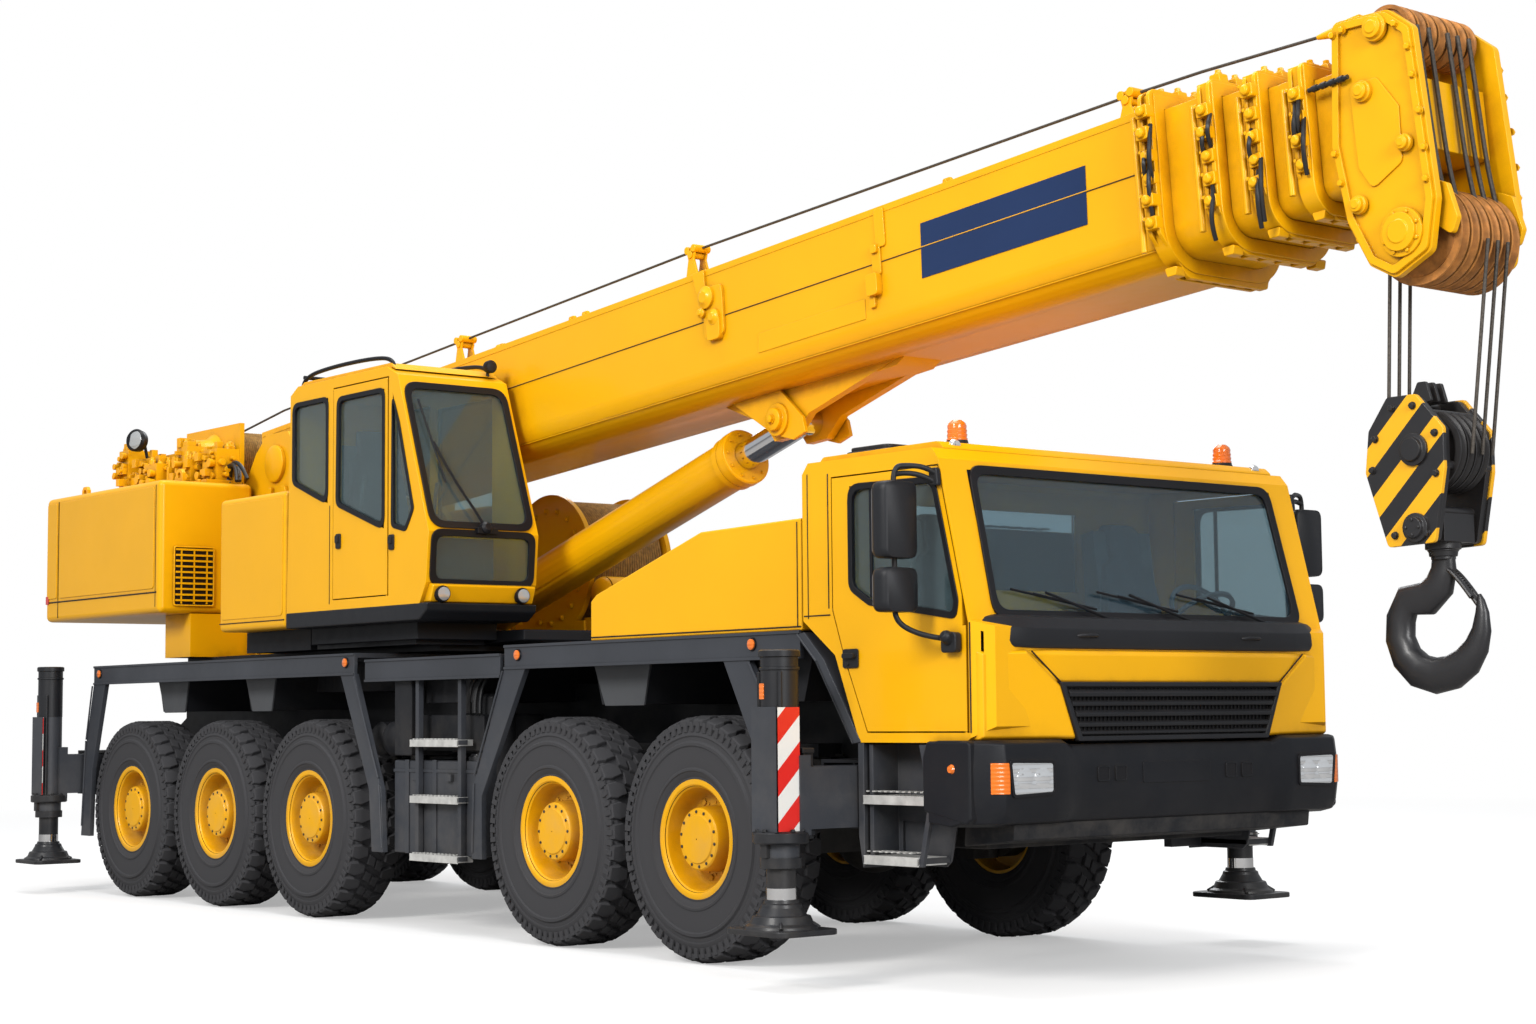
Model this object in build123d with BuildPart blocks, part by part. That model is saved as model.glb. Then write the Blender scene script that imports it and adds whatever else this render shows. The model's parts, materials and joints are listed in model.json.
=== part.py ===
"""All-terrain mobile crane on five axles, with a telescopic boom, a hanging hook block and outriggers.

Lengths are in millimetres and angles in degrees. X runs forward, Y to the left and Z up. Every X place
below is counted from the front axle; place() and the planes move it to the model's own origin, which is
on the ground under the middle of the whole crane.
"""
from build123d import *
from math import asin, cos, hypot, radians, sin
import os

os.makedirs("parts", exist_ok=True)

# ---- driving sizes of the carrier ----
overall_width = 2750
tyre_diameter = 1400
tyre_width = 400
rim_radius = 308
front_axle_gap = 1460
middle_gap = 3060
rear_axle_gap = 1460
frame_width = 900
frame_bottom, frame_top = 1000, 1620
deck_top, deck_skirt = 1850, 150
deck_plate = 30
hood_bottom, hood_top = 1880, 2460
cab_rear, cab_front, cab_floor, cab_roof = 1000, 2380, 1250, 2750
kingpin_gap = 245

# ---- driving sizes of the upper machine ----
slew_x, slew_ring_radius = -5300, 850
platform_bottom, platform_plate = 1865, 40
upright_inner, upright_plate = 470, 60
counterweight_rear, counterweight_front = -9170, -6940
counterweight_bottom, counterweight_top = 2250, 3310
op_cab_rear, op_cab_floor, op_cab_inner_y = -4830, 2160, -500
boom_angle = 4.5
boom_pivot = (-6600, 3450)
boom_width, boom_above_pivot, boom_below_pivot = 840, 340, 500
boom_wall, section_gap = 12, 18
boom_tail, base_front = 450, 9430
section_fronts = (9790, 10060, 10320, 10600)
collar_length, collar_rim = 100, 45
head_sheave_radius, rope_diameter = 240, 18
head_low_pin, head_top_pin = (10787, -668), (10745, 345)
rod_pin_along, rod_pin_below = 5926, 680
cylinder_foot = (-4600, 2060)
barrel_radius, rod_radius, barrel_length = 165, 90, 3540

# ---- clearances ----
seat_gap = 0.3
running_gap = 10
wall = 40

# ---- sizes that follow ----
half_width = overall_width / 2
tyre_radius = tyre_diameter / 2
tyre_middle = half_width - tyre_width / 2
kingpin_from_middle = tyre_middle - kingpin_gap
axle_places = [
    0,
    -front_axle_gap,
    -front_axle_gap - middle_gap,
    -front_axle_gap - middle_gap - rear_axle_gap,
    -front_axle_gap - middle_gap - 2 * rear_axle_gap,
]
boom_cos, boom_sin = cos(radians(boom_angle)), sin(radians(boom_angle))


def boom_xz(along, up):
    """A place in the boom's side view, along and up from its pivot, as X and Z at rest."""
    return (boom_pivot[0] + along * boom_cos - up * boom_sin, boom_pivot[1] + along * boom_sin + up * boom_cos)


low_pin = boom_xz(*head_low_pin)
rod_pin = boom_xz(rod_pin_along, -rod_pin_below)
nose_reach = low_pin[0] + head_sheave_radius + rope_diameter
front_axle_x = (-counterweight_rear - nose_reach) / 2


# ---- drawing aids ----
def place(x, y, z):
    """A point given from the front axle, in the model's own frame."""
    return (front_axle_x + x, y, z)


def side_plane(y):
    """The side view at a given Y: its first axis is X from the front axle, its second is Z."""
    return Plane(origin=place(0, y, 0), x_dir=(1, 0, 0), z_dir=(0, -1, 0))


def cross_plane(x):
    """The cross view at a given X: its first axis is Y, its second is Z."""
    return Plane(origin=place(x, 0, 0), x_dir=(0, 1, 0), z_dir=(1, 0, 0))


def floor_plane(z):
    """The top view at a given Z, its first axis X from the front axle."""
    return Plane(origin=place(0, 0, z))


def boom_side(y):
    """The boom's own side view at a given Y, along and up from its pivot."""
    return Plane(origin=place(boom_pivot[0], y, boom_pivot[1]), x_dir=(boom_cos, 0, boom_sin), z_dir=(0, -1, 0))


def boom_cross(along):
    """The boom's own cross view at a distance along it: first axis Y, second up from its pivot line."""
    x, z = boom_xz(along, 0)
    return Plane(origin=place(x, 0, z), x_dir=(0, 1, 0), z_dir=(boom_cos, 0, boom_sin))


def slab(points, y_low, y_high, mode=Mode.ADD, plane=side_plane):
    """A side-view outline made solid between two Y values."""
    with BuildSketch(plane(y_high)) as outline:
        with BuildLine():
            Polyline(*points, close=True)
        make_face()
    extrude(outline.sketch, amount=y_high - y_low, mode=mode)


def block(x, y, z, mode=Mode.ADD):
    """A box between two X, two Y and two Z values."""
    with Locations(place((x[0] + x[1]) / 2, (y[0] + y[1]) / 2, (z[0] + z[1]) / 2)):
        Box(x[1] - x[0], y[1] - y[0], z[1] - z[0], mode=mode)


def bar(start, end, radius, mode=Mode.ADD):
    """A round bar between two points given from the front axle."""
    line = Vector(*end) - Vector(*start)
    with BuildSketch(Plane(origin=place(*start), z_dir=line)) as section:
        Circle(radius)
    extrude(section.sketch, amount=line.length, mode=mode)


def pin(x, z, y_low, y_high, radius, mode=Mode.ADD):
    """A round bar across the crane."""
    bar((x, y_low, z), (x, y_high, z), radius, mode)


def save(part, name):
    """Label a finished sub-part and write it as one file."""
    part.label = name
    export_step(part, f"parts/{name}.step")


def sided(side):
    """The name of a side: -1 is right, 1 is left."""
    return "right" if side < 0 else "left"


# ---- wheels, knuckles and axles ----
wheel_face = 165
hub_seat = 20
drum_radius, spindle_radius = 200, 135
kingpin_boss_radius, kingpin_boss_half = 60, 150


def wheel_forms():
    """The tyre and the rim of one wheel about the Y axis, their outer side towards -Y."""
    profile_plane = Plane(origin=(0, 0, 0), x_dir=(0, -1, 0), z_dir=(-1, 0, 0))
    half, bead = tyre_width / 2, wheel_face - 20
    with BuildPart() as tyre:
        with BuildSketch(profile_plane):
            with BuildLine():
                Polyline(
                    (-bead, rim_radius + seat_gap), (bead, rim_radius + seat_gap), (bead, rim_radius + 42),
                    (half - 20, rim_radius + 70), (half, tyre_radius - 190), (half - 8, tyre_radius - 70),
                    (half - 30, tyre_radius - 18), (half - 60, tyre_radius), (60 - half, tyre_radius),
                    (30 - half, tyre_radius - 18), (8 - half, tyre_radius - 70), (-half, tyre_radius - 190),
                    (20 - half, rim_radius + 70), (-bead, rim_radius + 42), close=True,
                )
            make_face()
        revolve(axis=Axis.Y)
    with BuildPart() as rim:
        with BuildSketch(profile_plane):
            with BuildLine():
                Polyline(
                    (-hub_seat, 0), (-hub_seat, spindle_radius), (0, spindle_radius), (0, rim_radius - 20),
                    (-wheel_face, rim_radius - 20), (-wheel_face, rim_radius + 38),
                    (-bead - seat_gap, rim_radius + 38), (-bead - seat_gap, rim_radius),
                    (bead + seat_gap, rim_radius), (bead + seat_gap, rim_radius + 38),
                    (wheel_face, rim_radius + 38), (wheel_face - 10, rim_radius - 10),
                    (70, rim_radius - 24), (24, rim_radius - 46), (24, 190), (60, 176), (100, 168), (110, 158),
                    (110, 112), (138, 104), (138, 0), close=True,
                )
            make_face()
        revolve(axis=Axis.Y)
    return tyre.part, rim.part


def build_wheels():
    """Ten single wheels, each one body of a tyre and the rim that carries it."""
    tyre, rim = wheel_forms()
    for axle, x in enumerate(axle_places, start=1):
        for side in (-1, 1):
            turn = 0 if side < 0 else 180
            with BuildPart() as wheel:
                with Locations(Location(place(x, side * tyre_middle, tyre_radius), (0, 0, turn))):
                    add(tyre)
                    add(rim)
            save(wheel.part, f"wheel_{axle}_{sided(side)}")


def build_knuckles():
    """Four steering knuckles: a kingpin boss, a brake drum and the spindle face that carries the wheel."""
    for axle in (1, 2):
        x = axle_places[axle - 1]
        for side in (-1, 1):
            kingpin_y, drum_y = side * kingpin_from_middle, side * (kingpin_from_middle + 80)
            drum_end, spindle_end = side * (tyre_middle - 5), side * (tyre_middle - hub_seat - seat_gap)
            low, high = tyre_radius - kingpin_boss_half, tyre_radius + kingpin_boss_half
            with BuildPart() as knuckle:
                bar((x, kingpin_y, low), (x, kingpin_y, high), kingpin_boss_radius)
                bar((x, kingpin_y, tyre_radius), (x, drum_y, tyre_radius), 90)
                bar((x, drum_y, tyre_radius), (x, spindle_end, tyre_radius), spindle_radius - 5)
                bar((x, drum_y, tyre_radius), (x, side * (tyre_middle - 40), tyre_radius), drum_radius)
            save(knuckle.part, f"knuckle_{axle}_{sided(side)}")


beam_half, cylinder_x = 110, 170
cylinder_y = kingpin_from_middle - 370


def build_axle_beams():
    """Five axle beams with their gear housings, each hung from the frame on four suspension cylinders."""
    z = tyre_radius
    with BuildPart() as axles:
        for number, x in enumerate(axle_places, start=1):
            reach = kingpin_from_middle - 90 if number < 3 else tyre_middle - 150
            block((x - beam_half, x + beam_half), (-reach, reach), (z - beam_half, z + beam_half))
            with Locations(place(x, 0, z)):
                Sphere(250)
            for side in (-1, 1):
                for end in (-1, 1):
                    foot = (x + end * cylinder_x, side * cylinder_y, z + 60)
                    bar(foot, (foot[0], foot[1], frame_bottom + 150 - seat_gap), 55)
                block(
                    (x - cylinder_x - 60, x + cylinder_x + 60),
                    sorted((side * (cylinder_y - 60), side * (cylinder_y + 60))), (z - 20, z + 60),
                )
                if number < 3:
                    kingpin_y = side * kingpin_from_middle
                    for level in (-1, 1):
                        ear_z = sorted((z + level * (kingpin_boss_half + seat_gap), z + level * 200))
                        neck_y = sorted((side * (reach - 80), kingpin_y))
                        bar((x, kingpin_y, ear_z[0]), (x, kingpin_y, ear_z[1]), 72)
                        block((x - 60, x + 60), neck_y, ear_z)
                    block((x - 60, x + 60), sorted((side * (reach - 80), side * reach)), (z - 200, z + 200))
                else:
                    drum = (side * (tyre_middle - 190), side * (tyre_middle - 40))
                    seat = side * (tyre_middle - hub_seat - seat_gap)
                    pin(x, z, side * (reach - 60), seat, spindle_radius - 5)
                    pin(x, z, drum[0], drum[1], drum_radius)
    save(axles.part, "axle_beams")


# ---- frame, decks and outriggers ----
frame_rear, frame_nose = -8350, 2200
nose_bottom, nose_top = 800, 1180
slew_top = platform_bottom - running_gap
bracket_half, bracket_reach = 230, 630
front_jack_x, rear_jack_x = 1305, -8500
front_jack_y, rear_jack_y = 1795, 1600
front_jack_top, rear_jack_top = 1730, 1850
jack_radius, jack_tube_bottom = 97, 620
beam_width, beam_bottom, beam_top = 230, 810, 1130
channel_gap, channel_wall, channel_half = 6, 20, 1180
front_channels = {-1: (1190, 1420), 1: (930, 1160)}
rear_channels = {-1: (-8615, -8385), 1: (-8875, -8645)}
bolster_places = ((-7280, -6740), (-5780, -5300), (-1200, -620), (620, 860))
mid_deck_rear, mid_deck_front, mid_deck_top = -3700, -2000, 1800


def across(low, high, side):
    """A Y range given outwards from the middle, on one side."""
    return sorted((side * low, side * high))


def build_chassis_frame():
    """The carrier's box frame with its outrigger channels, deck bolsters and the lower slewing ring."""
    half = frame_width / 2
    channel_low, channel_high = beam_bottom - seat_gap, beam_top + channel_gap
    deck_seat = deck_top - deck_plate - seat_gap
    with BuildPart() as frame:
        slab(
            [
                (frame_rear, frame_bottom), (400, frame_bottom), (900, nose_bottom), (frame_nose, nose_bottom),
                (frame_nose, cab_floor - seat_gap), (980, cab_floor - seat_gap), (700, frame_top),
                (frame_rear, frame_top),
            ],
            -half, half,
        )
        slab(
            [
                (rear_channels[1][0] - 26, channel_low - channel_wall), (-8000, channel_low - channel_wall),
                (-7900, frame_bottom + 40), (-7900, frame_top - 200), (frame_rear, frame_top - 200),
                (rear_channels[1][0] - 26, channel_high + channel_wall),
            ],
            -half, half,
        )
        for channels in (front_channels, rear_channels):
            outer = (channels[1][0] - channel_gap - channel_wall, channels[-1][1] + channel_gap + channel_wall)
            block(outer, (-channel_half, channel_half), (channel_low - channel_wall, channel_high + channel_wall))
            for low, high in channels.values():
                block(
                    (low - channel_gap, high + channel_gap), (-channel_half - 1, channel_half + 1),
                    (channel_low, channel_high), Mode.SUBTRACT,
                )
        for low, high in bolster_places:
            slab(
                [
                    (low, deck_seat), (high, deck_seat), (high, deck_seat - 130), (high - 70, 1470),
                    (low + 70, 1470), (low, deck_seat - 130),
                ],
                -1200, 1200,
            )
        mid_seat = mid_deck_top - deck_plate - seat_gap
        block((mid_deck_rear + 500, mid_deck_front - 500), (-1200, 1200), (1500, mid_seat))
        bar((slew_x, 0, frame_top - 20), (slew_x, 0, slew_top), slew_ring_radius)
        for x in axle_places:
            for side in (-1, 1):
                block(
                    (x - bracket_half, x + bracket_half), across(half - 10, bracket_reach, side),
                    (frame_bottom + 150, frame_bottom + 230),
                )
    save(frame.part, "chassis_frame")


def deck(x_low, x_high, top):
    """A deck plate across the carrier with a skirt down each long side."""
    block((x_low, x_high), (-half_width, half_width), (top - deck_plate, top))
    for side in (-1, 1):
        block((x_low, x_high), across(half_width - 30, half_width, side), (top - deck_skirt, top - deck_plate))


leg_outlines = (
    [(-7930, 1710), (-8150, 1710), (-8280, 1250), (-8370, 460), (-8200, 460), (-8165, 1000)],
    [(-4040, 1710), (-3850, 1710), (-3480, 920), (-3450, 500), (-3600, 500), (-3640, 920)],
    [(-1710, 1710), (-1950, 1710), (-2310, 960), (-2330, 500), (-2215, 500), (-2215, 900), (-2070, 1130)],
    [(290, 1710), (520, 1710), (760, 1330), (840, 960), (840, 700), (750, 700), (750, 900), (690, 990)],
)


def build_decks():
    """Rear, middle and front decks with the slanted legs that frame the wheel arches."""
    with BuildPart() as decks:
        deck(-8150, -3850, deck_top)
        deck(mid_deck_rear, mid_deck_front, mid_deck_top)
        deck(-1950, 970, deck_top)
        for outline in leg_outlines:
            for side in (-1, 1):
                slab(outline, *across(half_width - 40, half_width, side))
        bar((slew_x, 0, deck_top - 100), (slew_x, 0, deck_top + 1), slew_ring_radius + running_gap, Mode.SUBTRACT)
        block((-820, 920), (-460, 460), (deck_top - 100, deck_top + 1), Mode.SUBTRACT)
    save(decks.part, "deck_plates")


def build_storage_boxes():
    """A tool box on the right and a fuel tank on the left, between the second and third axles."""
    inner = frame_width / 2 + seat_gap
    with BuildPart() as boxes:
        for side in (-1, 1):
            block((-3430, -2390), across(inner, 1300, side), (500, 1120))
    save(boxes.part, "storage_boxes")


def build_ladders():
    """A ladder on each side between the arches, and the steps below each cab door."""
    skin = half_width - 30 - seat_gap
    stile_top = mid_deck_top - deck_plate - seat_gap
    with BuildPart() as ladders:
        for side in (-1, 1):
            for x in (-3060, -2530):
                block((x - 20, x + 20), across(skin - 40, skin, side), (470, stile_top))
            for z in (490, 870, 1240):
                block((-3100, -2490), across(skin - 40, half_width, side), (z - 15, z + 15))
            inner = frame_width / 2 + seat_gap
            block((1500, 1990), across(inner, 1180, side), (840, cab_floor - 10))
            block((1500, 1560), across(900, 1180, side), (620, 840))
            block((1470, 1980), across(1150, half_width, side), (945, 975))
            block((1470, 1900), across(1150, half_width, side), (635, 665))
            block((1500, 1530), across(1150, half_width - 20, side), (635, cab_floor - 10))
    save(ladders.part, "ladders_and_steps")


def build_engine():
    """The engine as one plain block on the frame under its cover."""
    with BuildPart() as engine:
        block((-610, 610), (-400, 400), (frame_top + seat_gap, 2050))
    save(engine.part, "engine_block")


def build_engine_cover():
    """The sheet cover over the engine behind the cab, open below."""
    skin, low = 25, deck_top + seat_gap
    front = cab_rear - 15
    outline = [(-1000, low), (front, low), (front, hood_top), (90, hood_top - 20), (-940, 2130), (-1000, 2090)]
    inside = [
        (-1000 + skin, low - 1), (front - skin, low - 1), (front - skin, hood_top - skin),
        (90, hood_top - 20 - skin), (-940 + skin, 2130 - skin), (-1000 + skin, 2090 - skin),
    ]
    with BuildPart() as cover:
        slab(outline, -half_width, half_width)
        slab(inside, skin - half_width, half_width - skin, Mode.SUBTRACT)
    save(cover.part, "engine_cover")


def build_outriggers():
    """Four sliding outrigger beams with their jack tubes, and four jack legs with round-cornered pads."""
    corners = (
        ("front", front_jack_x, front_jack_y, front_jack_top, front_channels, 278),
        ("rear", rear_jack_x, rear_jack_y, rear_jack_top, rear_channels, 240),
    )
    for end, jack_x, jack_y, jack_top, channels, pad_low in corners:
        for side in (-1, 1):
            low, high = channels[side]
            beam_x = (low, high)
            y = side * jack_y
            with BuildPart() as beam:
                block(beam_x, sorted((-side * 950, side * (jack_y - 60))), (beam_bottom, beam_top))
                block(
                    sorted((low, high, jack_x - 90, jack_x + 90))[0::3], across(jack_y - 110, jack_y - 40, side),
                    (beam_bottom - 30, beam_top + 60),
                )
                bar((jack_x, y, jack_tube_bottom), (jack_x, y, jack_top), jack_radius)
                bar(
                    (jack_x, y, jack_tube_bottom - 1), (jack_x, y, jack_top - 60), jack_radius - 20, Mode.SUBTRACT
                )
                block((jack_x - 100, jack_x + 100), across(jack_y + 90, jack_y + 110, side), (800, 1440))
            save(beam.part, f"outrigger_{end}_{sided(side)}")
            with BuildPart() as jack:
                bar((jack_x, y, pad_low + 60), (jack_x, y, 1500), jack_radius - 20 - seat_gap)
                with BuildSketch(floor_plane(pad_low)):
                    with Locations((jack_x, y)):
                        RectangleRounded(480, 400, 60)
                extrude(amount=30)
                with BuildSketch(floor_plane(pad_low + 30)):
                    with Locations((jack_x, y)):
                        Circle(170)
                extrude(amount=110, taper=30)
            save(jack.part, f"jack_{end}_{sided(side)}")


# ---- driver's cab ----
cab_side = [
    (1000, 1900), (1260, 1710), (1450, 1250), (2250, 1250), (2380, 1330), (2380, 1830), (2292, 1858),
    (2081, 2690), (2030, 2750), (1050, 2750), (1000, 2690),
]
cab_inside = [
    (1040, 1915), (1290, 1735), (1476, 1290), (2236, 1290), (2340, 1354), (2340, 1802), (2256, 1838),
    (2046, 2664), (2008, 2710), (1068, 2710), (1040, 2676),
]
cab_door = [(1240, 2660), (1240, 1950), (1330, 1700), (1510, 1300), (2280, 1300), (2280, 1850), (2080, 2660)]
cab_window = [(1390, 2600), (1390, 2060), (1540, 1975), (2190, 1880), (2205, 1960), (2045, 2590)]
door_seam, door_depth, hinge_inset = 8, 40, 12
screen_foot, screen_head = (2292, 1858), (2081, 2690)


def outline_solid(points, y_low, y_high, grow=0, mode=Mode.ADD):
    """A side-view outline, grown or shrunk all round, made solid between two Y values."""
    with BuildSketch(side_plane(y_high)) as outline:
        with BuildLine():
            Polyline(*points, close=True)
        make_face()
        if grow:
            offset(amount=grow, kind=Kind.INTERSECTION)
    extrude(outline.sketch, amount=y_high - y_low, mode=mode)


def screen_x(z):
    """X of the windscreen's outer face at a height."""
    share = (z - screen_foot[1]) / (screen_head[1] - screen_foot[1])
    return screen_foot[0] + share * (screen_head[0] - screen_foot[0])


def build_cab_shell():
    """The cab's shell: hollow, with the doorways, windscreen and rear window cut out."""
    corner = 90
    with BuildPart() as shell:
        slab(cab_side, -half_width, half_width)
        with BuildSketch(floor_plane(cab_floor - 10)):
            with BuildLine():
                Polyline(
                    (cab_rear, -half_width), (cab_front - corner, -half_width),
                    (cab_front, corner - half_width), (cab_front, half_width - corner),
                    (cab_front - corner, half_width), (cab_rear, half_width), close=True,
                )
            make_face()
        extrude(amount=cab_roof - cab_floor + 20, mode=Mode.INTERSECT)
        slab(cab_inside, wall - half_width, half_width - wall, Mode.SUBTRACT)
        for side in (-1, 1):
            slab(cab_door, *across(half_width - wall - 1, half_width + 1, side), mode=Mode.SUBTRACT)
        block((2000, 2400), (-1190, 1190), (1900, 2640), Mode.SUBTRACT)
        block((cab_rear - 1, cab_rear + wall + 1), (-700, 700), (2100, 2560), Mode.SUBTRACT)
    save(shell.part, "drive_cab_shell")


def build_cab_glass():
    """The windscreen and the rear window, set in their openings."""
    low, high = 1900 + seat_gap, 2640 - seat_gap
    with BuildPart() as glass:
        slab(
            [(screen_x(low) - 10, low), (screen_x(high) - 10, high), (screen_x(high) - 18, high),
             (screen_x(low) - 18, low)],
            seat_gap - 1190, 1190 - seat_gap,
        )
        block((cab_rear + 16, cab_rear + 24), (seat_gap - 700, 700 - seat_gap), (2100 + seat_gap, 2560 - seat_gap))
    save(glass.part, "drive_cab_glass")


def build_cab_interior():
    """Seats, engine tunnel, dashboard and steering wheel, standing on the cab's floor."""
    floor = cab_floor + wall + seat_gap
    with BuildPart() as interior:
        for seat_y in (-720, 720):
            block((1500, 1900), (seat_y - 200, seat_y + 200), (floor, 1600))
            block((1420, 1930), (seat_y - 250, seat_y + 250), (1600, 1720))
            slab(
                [(1330, 1720), (1290, 2420), (1380, 2440), (1470, 1720)],
                seat_y - 240, seat_y + 240,
            )
            block((1330, 1500), (seat_y - 240, seat_y + 240), (1660, 1722))
        block((1520, 2000), (-380, 380), (floor, 1560))
        slab([(2000, floor), (2220, floor), (2230, 1780), (2180, 1850), (2030, 1800)], -1300, 1300)
        with BuildSketch(Plane(origin=place(1960, 720, 1900), x_dir=(0, 1, 0), z_dir=(-0.64, 0, 0.77))):
            Circle(230)
            Circle(205, mode=Mode.SUBTRACT)
            Rectangle(420, 30)
        extrude(amount=20)
        bar((1952, 720, 1914), (2080, 720, 1770), 25)
    save(interior.part, "drive_cab_interior")


def mirror_arms(side):
    """Two mirror heads on an arm that rides on the door."""
    y_low, y_high = across(half_width + 185, half_width + 275, side)
    block((1840, 2150), (y_low, y_high), (2180, 2560))
    block((1840, 2150), (y_low, y_high), (1910, 2130))
    middle = side * (half_width + 230)
    bar((2000, middle, 2120), (2000, middle, 2190), 14)
    bar((2000, middle, 2550), (2000, middle, 2620), 14)
    bar((2000, middle, 2620), (2060, side * (half_width - 20), 2620), 14)
    bar((2000, middle, 1920), (2040, middle, 1800), 14)
    bar((2040, middle, 1800), (2200, side * (half_width - 20), 1740), 14)


def build_cab_doors():
    """The two front-hinged doors, each with its mirrors, and the pane in each door."""
    hinge_x = cab_door[4][0] - 2 * door_seam - hinge_inset
    for side in (-1, 1):
        skin = across(half_width - door_depth, half_width, side)
        hinge_y = side * (half_width - door_seam)
        with BuildPart() as door:
            outline_solid(cab_door, *skin, grow=-door_seam)
            jamb = across(half_width - 75, half_width + 25, side)
            block((hinge_x + hinge_inset, 2300), jamb, (1290, 1900), Mode.SUBTRACT)
            block((hinge_x - 14, 2300), jamb, (1835, 2010), Mode.SUBTRACT)
            outline_solid(cab_window, *across(half_width - door_depth - 1, half_width + 1, side), mode=Mode.SUBTRACT)
            bar((hinge_x, hinge_y, 1300 + seat_gap), (hinge_x, hinge_y, 1312), 7)
            mirror_arms(side)
        save(door.part, f"drive_door_{sided(side)}")
        with BuildPart() as pane:
            outline_solid(cab_window, *across(half_width - 24, half_width - 18, side), grow=-seat_gap)
        save(pane.part, f"door_glass_{sided(side)}")


def build_bumper():
    """The front bumper, a thick bent beam with a recess in its middle, on the frame's nose."""
    low, high = 840, 1240
    with BuildPart() as bumper:
        with BuildSketch(floor_plane(low)):
            with BuildLine():
                Polyline(
                    (1980, -1420), (2310, -1420), (2420, -1290), (2420, -800), (2390, -750), (2390, 750),
                    (2420, 800), (2420, 1290), (2310, 1420), (1980, 1420), (1980, 1380), (2270, 1380),
                    (2330, 1250), (2330, 450), (frame_nose + seat_gap, 450), (frame_nose + seat_gap, -450),
                    (2330, -450), (2330, -1250), (2270, -1380), (1980, -1380), close=True,
                )
            make_face()
        extrude(amount=high - low)
        block((1900, 2200), (-1500, 1500), (960, high + 1), Mode.SUBTRACT)
    save(bumper.part, "front_bumper")


def build_grille():
    """The grille below the cab's front panel: a dark field with its slats."""
    with BuildPart() as grille:
        with BuildSketch(cross_plane(cab_front + seat_gap)):
            with BuildLine():
                Polyline((-842, 1540), (842, 1540), (740, 1345), (-740, 1345), close=True)
            make_face()
        extrude(amount=12)
        for z in (1365, 1415, 1465, 1515):
            block((cab_front + 10, cab_front + 32), (-740, 740), (z - 9, z + 9))
    save(grille.part, "front_grille")


def build_lamps():
    """Head lamps, roof beacons, roof hatch and marker lamps of the carrier."""
    roof = cab_roof + seat_gap
    with BuildPart() as lamps:
        for side in (-1, 1):
            block((2420 + seat_gap, 2432), across(960, 1250, side), (990, 1150))
            bar((1877, side * 1046, roof), (1877, side * 1046, roof + 130), 60)
        block((1120, 1500), (-950, -450), (roof, roof + 70))
    save(lamps.part, "carrier_lamps")


# ---- upper machine ----
op_cab_side = [
    (-4830, 2160), (-2985, 2160), (-2900, 2300), (-2870, 2640), (-3270, 3730), (-3420, 3800), (-4680, 3800),
    (-4790, 3740),
]
op_cab_hollow = [
    (-4790, 2200), (-3006, 2200), (-2938, 2316), (-2912, 2634), (-3300, 3698), (-3430, 3760), (-4668, 3760),
    (-4750, 3712),
]
op_door = [(-4160, 3730), (-4160, 2230), (-3390, 2230), (-3390, 3730)]
op_door_window = [(-4090, 3650), (-4100, 2900), (-3450, 2690), (-3450, 3650)]
op_rear_window = [(-4740, 3670), (-4740, 3100), (-4235, 2920), (-4235, 3670)]
op_quarter_window = [(-3340, 3610), (-3340, 2700), (-3160, 2660), (-3060, 2800), (-3250, 3400)]
op_screen_low, op_screen_high = (2700, 3650), (2310, 2620)
op_screen_y = (-1320, -560)
sill_low, sill_high = 2060, 2160
box_rear, box_front, box_top = op_cab_rear - 1070, op_cab_rear - 20, 3060
pivot_pin_radius, foot_pin_radius = 90, 80
drum_place, drum_radius_front = (-4050, 2510), 540


def op_screen_x(z):
    """X of the operator's front glass at a height: the upper slope, or the lower pane."""
    (x_low, z_low), (x_high, z_high) = ((-2870, 2640), (-3270, 3730)) if z > 2640 else ((-2900, 2300), (-2870, 2640))
    return x_low + (z - z_low) / (z_high - z_low) * (x_high - x_low)


def build_platform():
    """The slewing platform: base plate on the ring, cab sill, and the uprights that carry boom and cylinder."""
    floor = platform_bottom + platform_plate
    inner, outer = upright_inner, upright_inner + upright_plate
    with BuildPart() as platform:
        block((-7400, -3500), (-900, 900), (platform_bottom, floor))
        bar((slew_x, 0, slew_top + seat_gap), (slew_x, 0, floor), slew_ring_radius - 60)
        block((-7400, -6950), (-1100, 1100), (floor, counterweight_bottom - seat_gap))
        block((-4780, -3400), (-1150, -600), (floor - 1, sill_low))
        block((-5880, -4880), (-1150, -600), (floor - 1, sill_low - seat_gap))
        block((-5880, -4880), (600, 1150), (floor - 1, sill_low - seat_gap))
        block((-4830, -3130), (-half_width, op_cab_inner_y), (sill_low, sill_high - seat_gap))
        for side in (-1, 1):
            slab(
                [
                    (-7400, floor - 1), (-7400, 3000), (-6960, 3560), (-6780, 3700), (-6420, 3700), (-6240, 3500),
                    (-5300, 2700), (-4950, 2100), (-4900, floor - 1),
                ],
                *across(inner, outer, side),
            )
            slab(
                [(-4950, floor - 1), (-4780, 2110), (-4680, 2230), (-4520, 2230), (-4400, 2110), (-4250, floor - 1)],
                *across(190, 250, side),
            )
        pin(*boom_pivot, -outer - 1, outer + 1, pivot_pin_radius + seat_gap, Mode.SUBTRACT)
        pin(*cylinder_foot, -260, 260, foot_pin_radius + seat_gap, Mode.SUBTRACT)
    save(platform.part, "slew_platform")


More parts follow.
